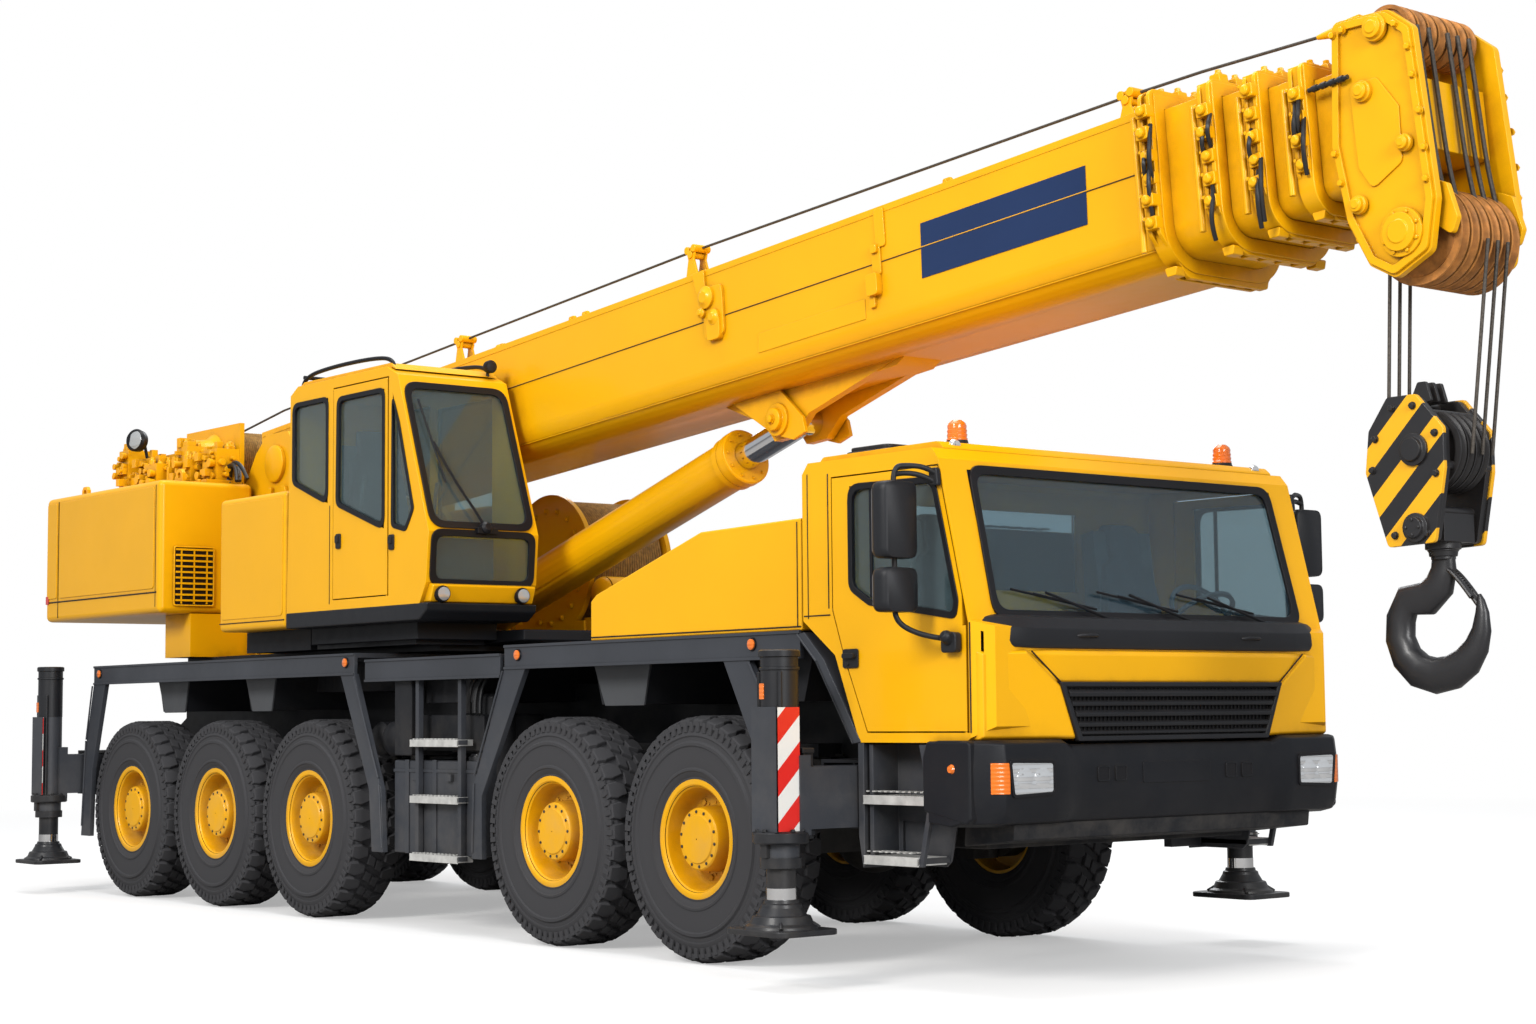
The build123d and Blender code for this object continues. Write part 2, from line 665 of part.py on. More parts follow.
def build_counterweight():
    """The counterweight: a slab across the tail with two wings, notched for the uprights."""
    with BuildPart() as weight:
        block(
            (counterweight_rear, counterweight_front), (-half_width, half_width),
            (counterweight_bottom, counterweight_top),
        )
        block((-7420, counterweight_front + 1), (-560, 560), (counterweight_bottom - 1, 3400), Mode.SUBTRACT)
    save(weight.part, "counterweight")


def build_side_housings():
    """The closed machinery housings behind the operator's cab and on the far side."""
    with BuildPart() as housings:
        for side in (-1, 1):
            block((box_rear, box_front), across(upright_inner + upright_plate + 20, half_width, side), (sill_low, box_top))
    save(housings.part, "side_housings")


def build_op_cab():
    """The operator's cab: hollow shell with door, screen and window openings, its panes, door and seat."""
    outer, inner = -half_width, op_cab_inner_y
    skin = (outer, outer + wall)
    cut = (outer - 1, outer + wall + 1)
    far_cut = (inner - wall - 1, inner + 1)
    (screen_low, screen_high), (foot_low, foot_high) = op_screen_low, op_screen_high
    with BuildPart() as shell:
        slab(op_cab_side, outer, inner)
        slab(op_cab_hollow, outer + wall, inner - wall, Mode.SUBTRACT)
        slab(op_door, *cut, mode=Mode.SUBTRACT)
        slab(op_rear_window, *cut, mode=Mode.SUBTRACT)
        slab(op_quarter_window, *cut, mode=Mode.SUBTRACT)
        slab(op_rear_window, *far_cut, mode=Mode.SUBTRACT)
        block((-4150, -3400), far_cut, (2750, 3640), Mode.SUBTRACT)
        block((-3400, -2800), op_screen_y, op_screen_low, Mode.SUBTRACT)
        block((-3100, -2800), op_screen_y, op_screen_high, Mode.SUBTRACT)
    save(shell.part, "op_cab_shell")
    with BuildPart() as glass:
        for low, high in (op_screen_low, op_screen_high):
            low, high = low + seat_gap, high - seat_gap
            slab(
                [
                    (op_screen_x(low) - 10, low), (op_screen_x(high) - 10, high),
                    (op_screen_x(high) - 18, high), (op_screen_x(low) - 18, low),
                ],
                op_screen_y[0] + seat_gap, op_screen_y[1] - seat_gap,
            )
        for window in (op_rear_window, op_quarter_window):
            outline_solid(window, outer + 16, outer + 22, grow=-seat_gap)
        outline_solid(op_rear_window, inner - 22, inner - 16, grow=-seat_gap)
        block((-4150 + seat_gap, -3400 - seat_gap), (inner - 22, inner - 16), (2750 + seat_gap, 3640 - seat_gap))
    save(glass.part, "op_cab_glass")
    hinge_x = op_door[2][0] - 2 * door_seam - hinge_inset
    hinge_y = outer + door_seam
    with BuildPart() as door:
        outline_solid(op_door, *skin, grow=-door_seam)
        block((hinge_x + hinge_inset, -3390), (outer - 1, outer + wall + 1), (2200, 3800), Mode.SUBTRACT)
        slab(op_door_window, *cut, mode=Mode.SUBTRACT)
        bar((hinge_x, hinge_y, 2230 + seat_gap), (hinge_x, hinge_y, 2240), 7)
    save(door.part, "op_cab_door")
    with BuildPart() as pane:
        outline_solid(op_door_window, outer + 16, outer + 22, grow=-seat_gap)
    save(pane.part, "op_door_glass")
    middle = (outer + inner) / 2
    floor = op_cab_floor + wall + seat_gap
    with BuildPart() as seat:
        block((-4300, -3900), (middle - 200, middle + 200), (floor, 2560))
        block((-4380, -3860), (middle - 250, middle + 250), (2560, 2680))
        slab([(-4400, 2679), (-4480, 3350), (-4390, 3360), (-4260, 2679)], middle - 240, middle + 240)
        block((-3350, -3150), (middle - 250, middle + 250), (floor, 2620))
    save(seat.part, "op_cab_interior")


# x, distance from the middle, half length, half width, height
valve_blocks = [
    (-8780, 740, 95, 110, 420), (-8480, 700, 110, 90, 330), (-8170, 770, 120, 120, 250), (-7850, 680, 100, 75, 380),
    (-7540, 760, 110, 120, 230), (-7240, 700, 120, 100, 300),
]
# x, z, far end in y, radius
drum_motors = [(-3380, 2290, 640, 120), (-3110, 2220, 600, 90)]


def build_winches():
    """The hoist winch above the counterweight and the drum at the platform's front, with valves and motors."""
    drum_z, drum_x = 3620, -8000
    top = counterweight_top + seat_gap
    with BuildPart() as winches:
        for side in (-1, 1):
            block((-8500, -7500), across(360, 400, side), (top, 3880))
            block((-8900, -7560), across(430, 520, side), (top, 3700))
        block((-8500, -7500), (-400, 400), (top, top + 60))
        pin(drum_x, drum_z, -361, 361, 210)
        block((-8900, -8600), (-520, 520), (top, 3640))
        pin(*drum_place, 380, 1120, drum_radius_front - 70)
        for side_y in (380, 1080):
            pin(*drum_place, side_y, side_y + 40, drum_radius_front)
        block((-4500, -3600), (380, 1120), (platform_bottom + platform_plate + seat_gap, 2100))
        for side in (-1, 1):
            block((-8900, -7500), across(519, 900, side), (top, top + 40))
            block((-7501, -7100), across(580, 900, side), (top, top + 40))
            pin(drum_x, drum_z, *across(399, 600, side), 150)
            for x, y, half_long, half_wide, high in valve_blocks:
                block((x - half_long, x + half_long), across(y - half_wide, y + half_wide, side), (top, top + high))
        block((-3620, -3000), (400, 720), (2000, 2120))
        for x, z, far_end, radius in drum_motors:
            block((x - 60, x + 60), (440, far_end - 60), (2119, z))
            pin(x, z, 410, far_end, radius)
    save(winches.part, "winches")


# ---- boom ----
lower_corner = 200
section_tails = (150, 300, 450, 600)
tail_pad_length = 150


def boom_profile(inset, mode=Mode.ADD):
    """The boom's cross section, square above and rounded below, drawn a distance inside the base's skin."""
    half, top, bottom = boom_width / 2 - inset, boom_above_pivot - inset, inset - boom_below_pivot
    radius = lower_corner - inset
    bulge = radius * (1 - sin(radians(45)))
    with BuildLine() as outline:
        Polyline((-half, bottom + radius), (-half, top), (half, top), (half, bottom + radius))
        ThreePointArc((half, bottom + radius), (half - bulge, bottom + bulge), (half - radius, bottom))
        Line((half - radius, bottom), (radius - half, bottom))
        ThreePointArc((radius - half, bottom), (bulge - half, bottom + bulge), (-half, bottom + radius))
    make_face(outline.edges(), mode=mode)


def boom_tube(start, end, inset, depth):
    """A hollow length of the boom's cross section, its wall a given depth."""
    with BuildSketch(boom_cross(start)) as section:
        boom_profile(inset)
        boom_profile(inset + depth, mode=Mode.SUBTRACT)
    extrude(section.sketch, amount=end - start)


def boom_collar(end, inset):
    """The stiff collar at a section's front end, closed down on the next section inside it."""
    next_inset = inset + boom_wall + section_gap
    boom_tube(end - collar_length, end, inset - collar_rim, next_inset - seat_gap - inset + collar_rim)


def boom_roller(along):
    """A rope guide on the boom's top: two cheeks and a roller."""
    top = boom_above_pivot
    outline = [(along - 90, top - 2), (along + 90, top - 2), (along + 40, top + 130), (along - 40, top + 130)]
    for low, high in ((-110, -80), (80, 110)):
        slab(outline, low, high, plane=boom_side)
    x, z = boom_xz(along, top + 80)
    pin(x, z, -81, 81, 30)


def build_boom_base():
    """The boom's base section: tube, tail, pivot pin, lift bracket, rope guides and front collar."""
    with BuildPart() as base:
        boom_tube(-boom_tail, base_front - collar_length + 1, 0, boom_wall)
        with BuildSketch(boom_cross(-boom_tail)):
            boom_profile(0)
        extrude(amount=20)
        boom_collar(base_front, 0)
        pin(*boom_pivot, -upright_inner - upright_plate - 10, upright_inner + upright_plate + 10, pivot_pin_radius)
        for side in (-1, 1):
            pin(*boom_pivot, *across(boom_width / 2 - 1, upright_inner - seat_gap, side), 190)
            slab(
                [
                    (rod_pin_along - 560, 2 - boom_below_pivot), (rod_pin_along + 1100, 2 - boom_below_pivot),
                    (rod_pin_along + 260, -rod_pin_below), (rod_pin_along + 110, -rod_pin_below - 120),
                    (rod_pin_along - 90, -rod_pin_below - 120), (rod_pin_along - 170, -rod_pin_below),
                ],
                *across(100 + seat_gap, 160, side), plane=boom_side,
            )
            pin(*rod_pin, *across(159, 200, side), 75)
        for along in (2700, 5150, 8950):
            boom_roller(along)
    save(base.part, "boom_base")


def build_boom_sections():
    """Four telescoping sections, each on a tail pad inside the one before, the last one closed for the head."""
    step = boom_wall + section_gap
    for number, (front, tail) in enumerate(zip(section_fronts, section_tails), start=1):
        inset = number * step
        with BuildPart() as section:
            last = number == len(section_fronts)
            boom_tube(tail, front if last else front - collar_length + 1, inset, boom_wall)
            boom_tube(tail, tail + tail_pad_length, inset - section_gap + seat_gap, boom_wall + section_gap - seat_gap)
            if last:
                with BuildSketch(boom_cross(front - boom_wall)):
                    boom_profile(inset)
                extrude(amount=boom_wall)
            else:
                boom_collar(front, inset)
        save(section.part, f"boom_section_{number}")


head_outline = [
    (10497, 448), (10806, 413), (10927, 294), (10971, -543), (10913, -779), (10715, -863), (10582, -773),
    (10480, -544), (10430, -159),
]


def build_boom_head():
    """The boom head: two cheek plates round the last section's end, a cross box and both sheave packs."""
    inner = boom_width / 2 - 4 * (boom_wall + section_gap) + seat_gap
    top_pin = boom_xz(*head_top_pin)
    with BuildPart() as head:
        for side in (-1, 1):
            slab(head_outline, *across(inner, inner + 40, side), plane=boom_side)
            pin(*low_pin, *across(inner + 39, inner + 100, side), 110)
            pin(*top_pin, *across(inner + 39, inner + 55, side), 100)
        front = section_fronts[-1] + seat_gap
        slab([(front, 100), (front + 240, 100), (front + 240, -250), (front, -250)], -inner - 1, inner + 1, plane=boom_side)
        pin(*low_pin, -inner - 1, inner + 1, 60)
        pin(*top_pin, -inner - 1, inner + 1, 50)
        for y in (-200, -120, -40, 40, 120, 200):
            pin(*low_pin, y - 34, y + 34, head_sheave_radius)
        for y in (-120, -40, 40, 120):
            pin(*top_pin, y - 34, y + 34, 172)
    save(head.part, "boom_head")


# ---- lift cylinder ----
def build_lift_cylinder():
    """The barrel on its foot pin, and the rod that slides out of it, its eye open to the boom's bracket."""
    line = Vector(rod_pin[0] - cylinder_foot[0], 0, rod_pin[1] - cylinder_foot[1])
    unit = line.normalized()

    def along(distance):
        return (cylinder_foot[0] + unit.X * distance, 0, cylinder_foot[1] + unit.Z * distance)

    with BuildPart() as barrel:
        bar(along(90), along(barrel_length), barrel_radius)
        bar(along(barrel_length - 90), along(barrel_length), barrel_radius + 18)
        pin(*cylinder_foot, -185, 185, 140)
        pin(*cylinder_foot, -255, 255, foot_pin_radius)
        bar(along(155), along(barrel_length + 1), rod_radius + seat_gap, Mode.SUBTRACT)
    save(barrel.part, "lift_barrel")
    with BuildPart() as rod:
        bar(along(300), along(line.length), rod_radius)
        pin(*rod_pin, -100, 100, 85)
    save(rod.part, "lift_rod")


# ---- rope and hook ----
block_x, block_sheave_z, block_sheave_radius = 4120, 2620, 200
trunnion_z, trunnion_radius = 2250, 62
block_outline = [(-140, 2890), (10, 2880), (180, 2700), (180, 2520), (100, 2165), (-160, 2165), (-290, 2550), (-270, 2730)]
hook_middle, hook_outer, hook_mouth = (-60, 1765), 295, 150


def rope_fall_ends(end):
    """Where a taut fall leaves the head's sheave and meets the block's, on the rear (-1) or front (1) side."""
    head_reach = head_sheave_radius + rope_diameter / 2 + seat_gap
    block_reach = block_sheave_radius + rope_diameter / 2 + seat_gap
    run_x, run_z = block_x - low_pin[0], block_sheave_z - low_pin[1]
    run = hypot(run_x, run_z)
    lean = (head_reach - block_reach) / run
    out_x = lean * run_x / run - end * cos(asin(lean)) * run_z / run
    out_z = lean * run_z / run + end * cos(asin(lean)) * run_x / run
    top = (low_pin[0] + head_reach * out_x, low_pin[1] + head_reach * out_z)
    return top, (block_x + block_reach * out_x, block_sheave_z + block_reach * out_z)


def build_rope_falls():
    """Six taut rope falls from the head's lower sheaves down to the block's sheaves."""
    with BuildPart() as ropes:
        for end, places in ((-1, (-120, -40, 40)), (1, (-40, 40, 120))):
            (top_x, top_z), (foot_x, foot_z) = rope_fall_ends(end)
            for y in places:
                bar((top_x, y, top_z), (foot_x, y, foot_z), rope_diameter / 2)
    save(ropes.part, "rope_falls")


def build_hook_block():
    """The hook block: two side plates, the sheave pack and the trunnion that carries the hook."""
    outline = [(block_x + x, z) for x, z in block_outline]
    with BuildPart() as hook_block:
        for side in (-1, 1):
            slab(outline, *across(150, 200, side))
        pin(block_x, block_sheave_z, -151, 151, 60)
        for y in (-90, -30, 30, 90):
            pin(block_x, block_sheave_z, y - 26, y + 26, block_sheave_radius)
        pin(block_x, trunnion_z, -205, 205, trunnion_radius)
    save(hook_block.part, "hook_block")


def build_hook():
    """The single hook, hanging by its shank from the trunnion."""
    middle = (block_x + hook_middle[0], hook_middle[1])
    with BuildPart() as hook:
        with BuildSketch(side_plane(55)):
            with Locations(middle):
                Circle(hook_outer)
            with Locations((middle[0] + 35, middle[1] + 35)):
                Circle(hook_mouth, mode=Mode.SUBTRACT)
            with BuildLine():
                Polyline(
                    (middle[0] + 40, middle[1] + 40), (middle[0] + 420, middle[1] + 150),
                    (middle[0] + 300, middle[1] + 420), (middle[0] + 110, middle[1] + 330), close=True,
                )
            make_face(mode=Mode.SUBTRACT)
            with BuildLine():
                Polyline(
                    (block_x - 60, 2120), (block_x + 60, 2120), (middle[0] + 110, middle[1] + 180),
                    (middle[0] - 20, middle[1] + 200), (middle[0] - 130, middle[1] + 230), close=True,
                )
            make_face()
        extrude(amount=110)
        bar((block_x, 0, 2100), (block_x, 0, trunnion_z - trunnion_radius - seat_gap), 45)
    save(hook.part, "hook")


build_wheels()
build_knuckles()
build_axle_beams()
build_chassis_frame()
build_decks()
build_storage_boxes()
build_ladders()
build_engine()
build_engine_cover()
build_outriggers()
build_cab_shell()
build_cab_glass()
build_cab_interior()
build_cab_doors()
build_bumper()
build_grille()
build_lamps()
build_platform()
build_counterweight()
build_side_housings()
build_op_cab()
build_winches()
build_boom_base()
build_boom_sections()
build_boom_head()
build_lift_cylinder()
build_rope_falls()
build_hook_block()
build_hook()
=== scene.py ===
"""Dresses the mobile crane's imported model: finishes, trim, rigging, studio and camera.

Lengths are millimetres from the front axle, X forward, Y to the left and Z up from the ground, as the
part's own source counts them; Form turns them into the model's metres when a piece is made.
"""

import json
import logging
import math
import random
from collections.abc import Iterable, Sequence
from dataclasses import dataclass, field, replace
from enum import Enum

import bmesh
import bpy
from mathutils import Matrix, Vector

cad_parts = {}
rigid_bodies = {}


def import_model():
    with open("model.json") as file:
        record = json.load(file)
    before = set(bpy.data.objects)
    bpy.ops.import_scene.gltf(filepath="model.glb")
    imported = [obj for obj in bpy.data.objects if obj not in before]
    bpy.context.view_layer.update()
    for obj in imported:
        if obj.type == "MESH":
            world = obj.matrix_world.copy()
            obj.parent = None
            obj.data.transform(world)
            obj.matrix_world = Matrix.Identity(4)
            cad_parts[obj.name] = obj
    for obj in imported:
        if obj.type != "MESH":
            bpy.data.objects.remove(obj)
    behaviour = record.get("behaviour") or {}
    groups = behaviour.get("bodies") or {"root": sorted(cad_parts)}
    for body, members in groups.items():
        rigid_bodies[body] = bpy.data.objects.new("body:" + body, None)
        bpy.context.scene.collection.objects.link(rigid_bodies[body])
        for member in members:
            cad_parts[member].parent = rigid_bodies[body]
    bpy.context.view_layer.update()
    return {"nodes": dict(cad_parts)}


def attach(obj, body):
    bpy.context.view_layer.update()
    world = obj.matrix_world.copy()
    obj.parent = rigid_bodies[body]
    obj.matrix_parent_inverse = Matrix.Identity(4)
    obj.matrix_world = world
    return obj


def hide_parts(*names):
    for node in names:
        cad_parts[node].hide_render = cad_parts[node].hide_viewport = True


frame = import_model()

LOG = logging.getLogger("mobile_crane")
FRONT_AXLE = 2352.921
HALF_WIDTH = 1375.0
PIVOT = (-6600.0, 3450.0)
BOOM_ANGLE = math.radians(4.5)

Point = tuple[float, float, float]
Flat = tuple[float, float]
Colour = tuple[float, float, float]


# ---------------------------------------------------------------- finishes
class Graph:
    """A small writer of shader nodes for one material."""

    def __init__(self, name: str) -> None:
        """Start an empty node tree.

        Args:
            name: the material's name.
        """
        self.material = bpy.data.materials.new(name)
        self.material.use_nodes = True
        self.tree = self.material.node_tree
        self.tree.nodes.clear()
        self.out = self.tree.nodes.new("ShaderNodeOutputMaterial")

    def add(self, kind: str, settings: dict | None = None, **inputs: object) -> bpy.types.Node:
        """Add a node, set its options, and set or link its inputs.

        Args:
            kind: the node's type without its ShaderNode prefix.
            settings: options set on the node itself.
            inputs: values or sockets by input name, underscores for spaces; in0, in1 for numbered inputs.

        Returns:
            The new node.
        """
        node = self.tree.nodes.new("ShaderNode" + kind)
        for key, value in (settings or {}).items():
            setattr(node, key, value)
        for key, value in inputs.items():
            index = key[2:] if key.startswith("in") and key[2:].isdigit() else None
            socket = node.inputs[int(index)] if index else node.inputs[key.replace("_", " ")]
            if isinstance(value, bpy.types.NodeSocket):
                self.tree.links.new(value, socket)
            else:
                socket.default_value = value
        return node

    def math(self, operation: str, *values: object) -> bpy.types.NodeSocket:
        """One Math node's result."""
        inputs = {f"in{index}": value for index, value in enumerate(values)}
        return self.add("Math", {"operation": operation}, **inputs).outputs[0]

    def mix(self, factor: object, first: object, second: object) -> bpy.types.NodeSocket:
        """A colour between two colours."""
        node = self.tree.nodes.new("ShaderNodeMix")
        node.data_type = "RGBA"
        for socket, value in zip((node.inputs[0], node.inputs[6], node.inputs[7]), (factor, first, second)):
            if isinstance(value, bpy.types.NodeSocket):
                self.tree.links.new(value, socket)
            else:
                socket.default_value = value if isinstance(value, float) else (*value, 1.0)
        return node.outputs[2]

    def place(self) -> bpy.types.NodeSocket:
        """The model's own coordinates in metres."""
        return self.add("TexCoord").outputs["Object"]

    def noise(self, scale: float, detail: float = 4.0, rough: float = 0.55) -> bpy.types.NodeSocket:
        """A noise value over the model's coordinates."""
        node = self.add("TexNoise", Vector=self.place(), Scale=scale, Detail=detail, Roughness=rough)
        return node.outputs[0]

    def ramp(self, value: object, low: float, high: float) -> bpy.types.NodeSocket:
        """A value stretched so that low becomes 0 and high becomes 1, and clamped."""
        node = self.add("MapRange", {"clamp": True}, Value=value)
        for name, number in (("From Min", low), ("From Max", high), ("To Min", 0.0), ("To Max", 1.0)):
            node.inputs[name].default_value = number
        return node.outputs[0]

    def bump(self, height: object, strength: float, distance: float) -> bpy.types.NodeSocket:
        """A normal raised by a height."""
        return self.add("Bump", Strength=strength, Distance=distance, Height=height).outputs[0]

    def finish(self, surface: bpy.types.NodeSocket) -> bpy.types.Material:
        """Link the surface and hand back the material."""
        self.tree.links.new(surface, self.out.inputs["Surface"])
        return self.material


@dataclass(frozen=True)
class Finish:
    """A painted, moulded or bare surface with its own grain and dust, and painted shade darkening its
    crevices.
    """

    name: str
    slot: str
    colour: Colour
    roughness: float = 0.5
    metal: float = 0.0
    coat: float = 0.0
    spread: float = 0.06
    patch: float = 1.4
    grain: float = 220.0
    relief: float = 0.08
    # The colour of the painted shade laid into corners and crevices, and how strongly it is laid in.
    crevice_shade_colour: Colour = (0.05, 0.04, 0.03)
    crevice_shade_amount: float = 0.35
    dust: float = 0.0
    specular: float = 0.5

    def base(self, graph: Graph) -> bpy.types.NodeSocket:
        """The clean colour before dust and painted shade, wandering a little over the surface."""
        wander = graph.ramp(graph.noise(self.patch, 6.0), 0.3, 0.7)
        low = tuple(max(0.0, c * (1 - self.spread)) for c in self.colour)
        high = tuple(min(1.0, c * (1 + self.spread)) for c in self.colour)
        return graph.mix(wander, low, high)

    def material(self) -> bpy.types.Material:
        """The finish as a node material, made once."""
        known = bpy.data.materials.get(self.name)
        if known:
            return known
        graph = Graph(self.name)
        colour = self.base(graph)
        # Painted shade: the colour darkens towards the crevice shade colour where ambient occlusion finds the
        # surface shut in, its edge made ragged by noise.
        if self.crevice_shade_amount:
            shut = graph.add("AmbientOcclusion", {"samples": 6}, Distance=0.12).outputs["AO"]
            ragged = graph.math("ADD", shut, graph.math("MULTIPLY", graph.noise(9.0, 5.0), 0.5))
            amount = graph.math(
                "MULTIPLY", graph.math("SUBTRACT", 1.0, graph.ramp(ragged, 0.45, 1.15)), self.crevice_shade_amount
            )
            colour = graph.mix(amount, colour, self.crevice_shade_colour)
        if self.dust:
            height = graph.add("SeparateXYZ", Vector=graph.place()).outputs[2]
            low_down = graph.math("SUBTRACT", 1.0, graph.ramp(height, 0.0, 1.7))
            speck = graph.ramp(graph.noise(3.2, 8.0, 0.7), 0.42, 0.8)
            amount = graph.math("MULTIPLY", graph.math("MULTIPLY", low_down, speck), self.dust)
            colour = graph.mix(amount, colour, (0.33, 0.29, 0.24))
        shine = graph.math(
            "MULTIPLY_ADD", graph.noise(11.0, 5.0), self.roughness * 0.35, self.roughness * 0.82
        )
        normal = graph.bump(graph.noise(self.grain, 3.0), self.relief, 0.002)
        shader = graph.add(
            "BsdfPrincipled", Base_Color=colour, Roughness=shine, Metallic=self.metal, Normal=normal
        )
        shader.inputs["Coat Weight"].default_value = self.coat
        shader.inputs["Coat Roughness"].default_value = 0.08
        shader.inputs["Specular IOR Level"].default_value = self.specular
        return graph.finish(shader.outputs[0])


class Band(Enum):
    """The flat direction in which a striped plate's bands follow one another."""

    FALLING = (-1.0, 0.0, 1.0)
    FALLING_RIGHT = (-1.0, -1.0, 1.0)
    FALLING_LEFT = (-1.0, 1.0, 1.0)


@dataclass(frozen=True)
class Striped(Finish):
    """A plate with slanted bands of a second colour."""

    second: Colour = (0.8, 0.8, 0.78)
    band: Band = Band.FALLING
    pitch: float = 0.16
    offset: float = 0.0

    def base(self, graph: Graph) -> bpy.types.NodeSocket:
        """Two colours in turn across the bands."""
        aim = Vector(self.band.value).normalized() / self.pitch
        dot = graph.add(
            "VectorMath", {"operation": "DOT_PRODUCT"}, in0=graph.place(), in1=tuple(aim)
        ).outputs[1]
        share = graph.math("FRACT", graph.math("ADD", dot, self.offset))
        step = graph.ramp(share, 0.495, 0.505)
        return graph.mix(step, self.colour, self.second)


@dataclass(frozen=True)
class Glazed(Finish):
    """Tinted glass with a thin pale film, which lets the lamps through."""

    film: Colour = (0.16, 0.26, 0.34)
    veil: float = 0.07

    def material(self) -> bpy.types.Material:
        """The pane as a node material, made once."""
        known = bpy.data.materials.get(self.name)
        if known:
            return known
        graph = Graph(self.name)
        smear = graph.ramp(graph.noise(2.0, 5.0), 0.3, 0.75)
        shader = graph.add("BsdfPrincipled", Roughness=graph.math("MULTIPLY", smear, 0.05))
        shader.inputs["Base Color"].default_value = (*self.colour, 1.0)
        shader.inputs["Transmission Weight"].default_value = 1.0
        shader.inputs["IOR"].default_value = 1.45
        clear = graph.add("BsdfTransparent", Color=(*(c * 0.9 for c in self.colour), 1.0))
        lamp = graph.add("LightPath").outputs["Is Shadow Ray"]
        film = graph.add("BsdfDiffuse", Color=(*self.film, 1.0))
        tinted = graph.add("MixShader", in0=self.veil, in1=shader.outputs[0], in2=film.outputs[0])
        both = graph.add("MixShader", in0=lamp, in1=tinted.outputs[0], in2=clear.outputs[0])
        return graph.finish(both.outputs[0])


@dataclass(frozen=True)
class Lamp(Finish):
    """A moulded lens with its own ribs, in front of a reflector."""

    ribs: float = 300.0

    def material(self) -> bpy.types.Material:
        """The lens as a node material, made once."""
        known = bpy.data.materials.get(self.name)
        if known:
            return known
        graph = Graph(self.name)
        wave = graph.add("TexWave", {"bands_direction": "Z"}, Vector=graph.place(), Scale=self.ribs / 20)
        shader = graph.add("BsdfPrincipled", Normal=graph.bump(wave.outputs[1], 0.35, 0.004))
        shader.inputs["Base Color"].default_value = (*self.colour, 1.0)
        shader.inputs["Roughness"].default_value = self.roughness
        shader.inputs["Metallic"].default_value = self.metal
        shader.inputs["Coat Weight"].default_value = 1.0
        shader.inputs["Coat Roughness"].default_value = 0.03
        return graph.finish(shader.outputs[0])


# Each finish's crevice shade colour and amount give its painted shade: the darkening laid into its corners
# and crevices.
YELLOW = Finish(
    "chrome_yellow_paint", "yellow_paint", (0.84, 0.415, 0.0015), 0.34, coat=0.12, spread=0.03, relief=0.03,
    crevice_shade_colour=(0.2, 0.075, 0.003), crevice_shade_amount=0.75, specular=0.24,
)
RIM_YELLOW = replace(YELLOW, name="rim_yellow_paint", roughness=0.42, spread=0.08, dust=0.4, coat=0.05)
NAVY = Finish(
    "chassis_blue_grey_paint", "dark_paint", (0.038, 0.042, 0.051), 0.45, coat=0.06, spread=0.16, relief=0.05,
    crevice_shade_colour=(0.01, 0.01, 0.01), crevice_shade_amount=0.5, dust=0.25, specular=0.35,
)
JACK_BLACK = replace(NAVY, name="jack_black_paint", colour=(0.013, 0.014, 0.017), roughness=0.42, dust=0.15)
FRAME_GREY = replace(
    NAVY, name="frame_grey_paint", colour=(0.012, 0.013, 0.016), roughness=0.6, dust=0.35, specular=0.2
)
HANGER_GREY = replace(NAVY, name="hanger_grey_paint", colour=(0.058, 0.062, 0.068), roughness=0.5)
PLASTIC = Finish(
    "black_moulding", "black_plastic", (0.011, 0.012, 0.015), 0.46, spread=0.1, grain=700.0, relief=0.25,
    specular=0.3,
)
BUMPER = replace(
    PLASTIC, name="bumper_moulding", colour=(0.007, 0.008, 0.011), roughness=0.42, dust=0.05, specular=0.22
)
GASKET = Finish(
    "window_rubber", "black_plastic", (0.007, 0.007, 0.009), 0.42, crevice_shade_amount=0.0, relief=0.1, specular=0.25,
)
TYRE = Finish(
    "tyre_rubber", "tyre_rubber", (0.0078, 0.007, 0.0064), 0.72, spread=0.25, patch=5.0, grain=160.0,
    relief=0.35,
    crevice_shade_colour=(0.004, 0.0035, 0.003), crevice_shade_amount=0.6, dust=0.12, specular=0.2,
)
GLASS = Glazed("cab_window_glass", "cab_glass", (0.36, 0.46, 0.5))
DOOR_GLASS = Glazed("cab_side_glass", "cab_glass", (0.4, 0.5, 0.52), film=(0.2, 0.28, 0.3), veil=0.12)
TRIM = Finish("cab_trim", "cab_trim", (0.03, 0.034, 0.038), 0.7, spread=0.15, grain=500.0, relief=0.3)
SEAT = Finish(
    "seat_cloth", "cab_trim", (0.06, 0.068, 0.08), 0.9, spread=0.3, patch=40.0, grain=900.0, relief=0.6
)
CHROME = Finish(
    "chrome_rod", "chrome_rod", (0.5, 0.48, 0.46), 0.14, metal=1.0, spread=0.1, grain=60.0, relief=0.02
)
ALLOY = Finish(
    "bare_aluminium", "steel_rope", (0.6, 0.6, 0.58), 0.42, metal=0.35, spread=0.2, patch=14.0, relief=0.2
)
STEEL = Finish(
    "black_forged_steel", "black_steel", (0.012, 0.012, 0.014), 0.4, spread=0.2, relief=0.2, coat=0.08
)
ROPE = Finish(
    "wire_rope", "steel_rope", (0.07, 0.06, 0.05), 0.6, metal=0.4, spread=0.4, patch=90.0, relief=0.5
)
DRUM_ROPE = replace(ROPE, name="drum_rope", colour=(0.34, 0.19, 0.045), metal=0.1, patch=30.0, relief=0.9)
HOSE = Finish("black_hose", "black_plastic", (0.009, 0.01, 0.012), 0.45, spread=0.2, grain=500.0, relief=0.15)
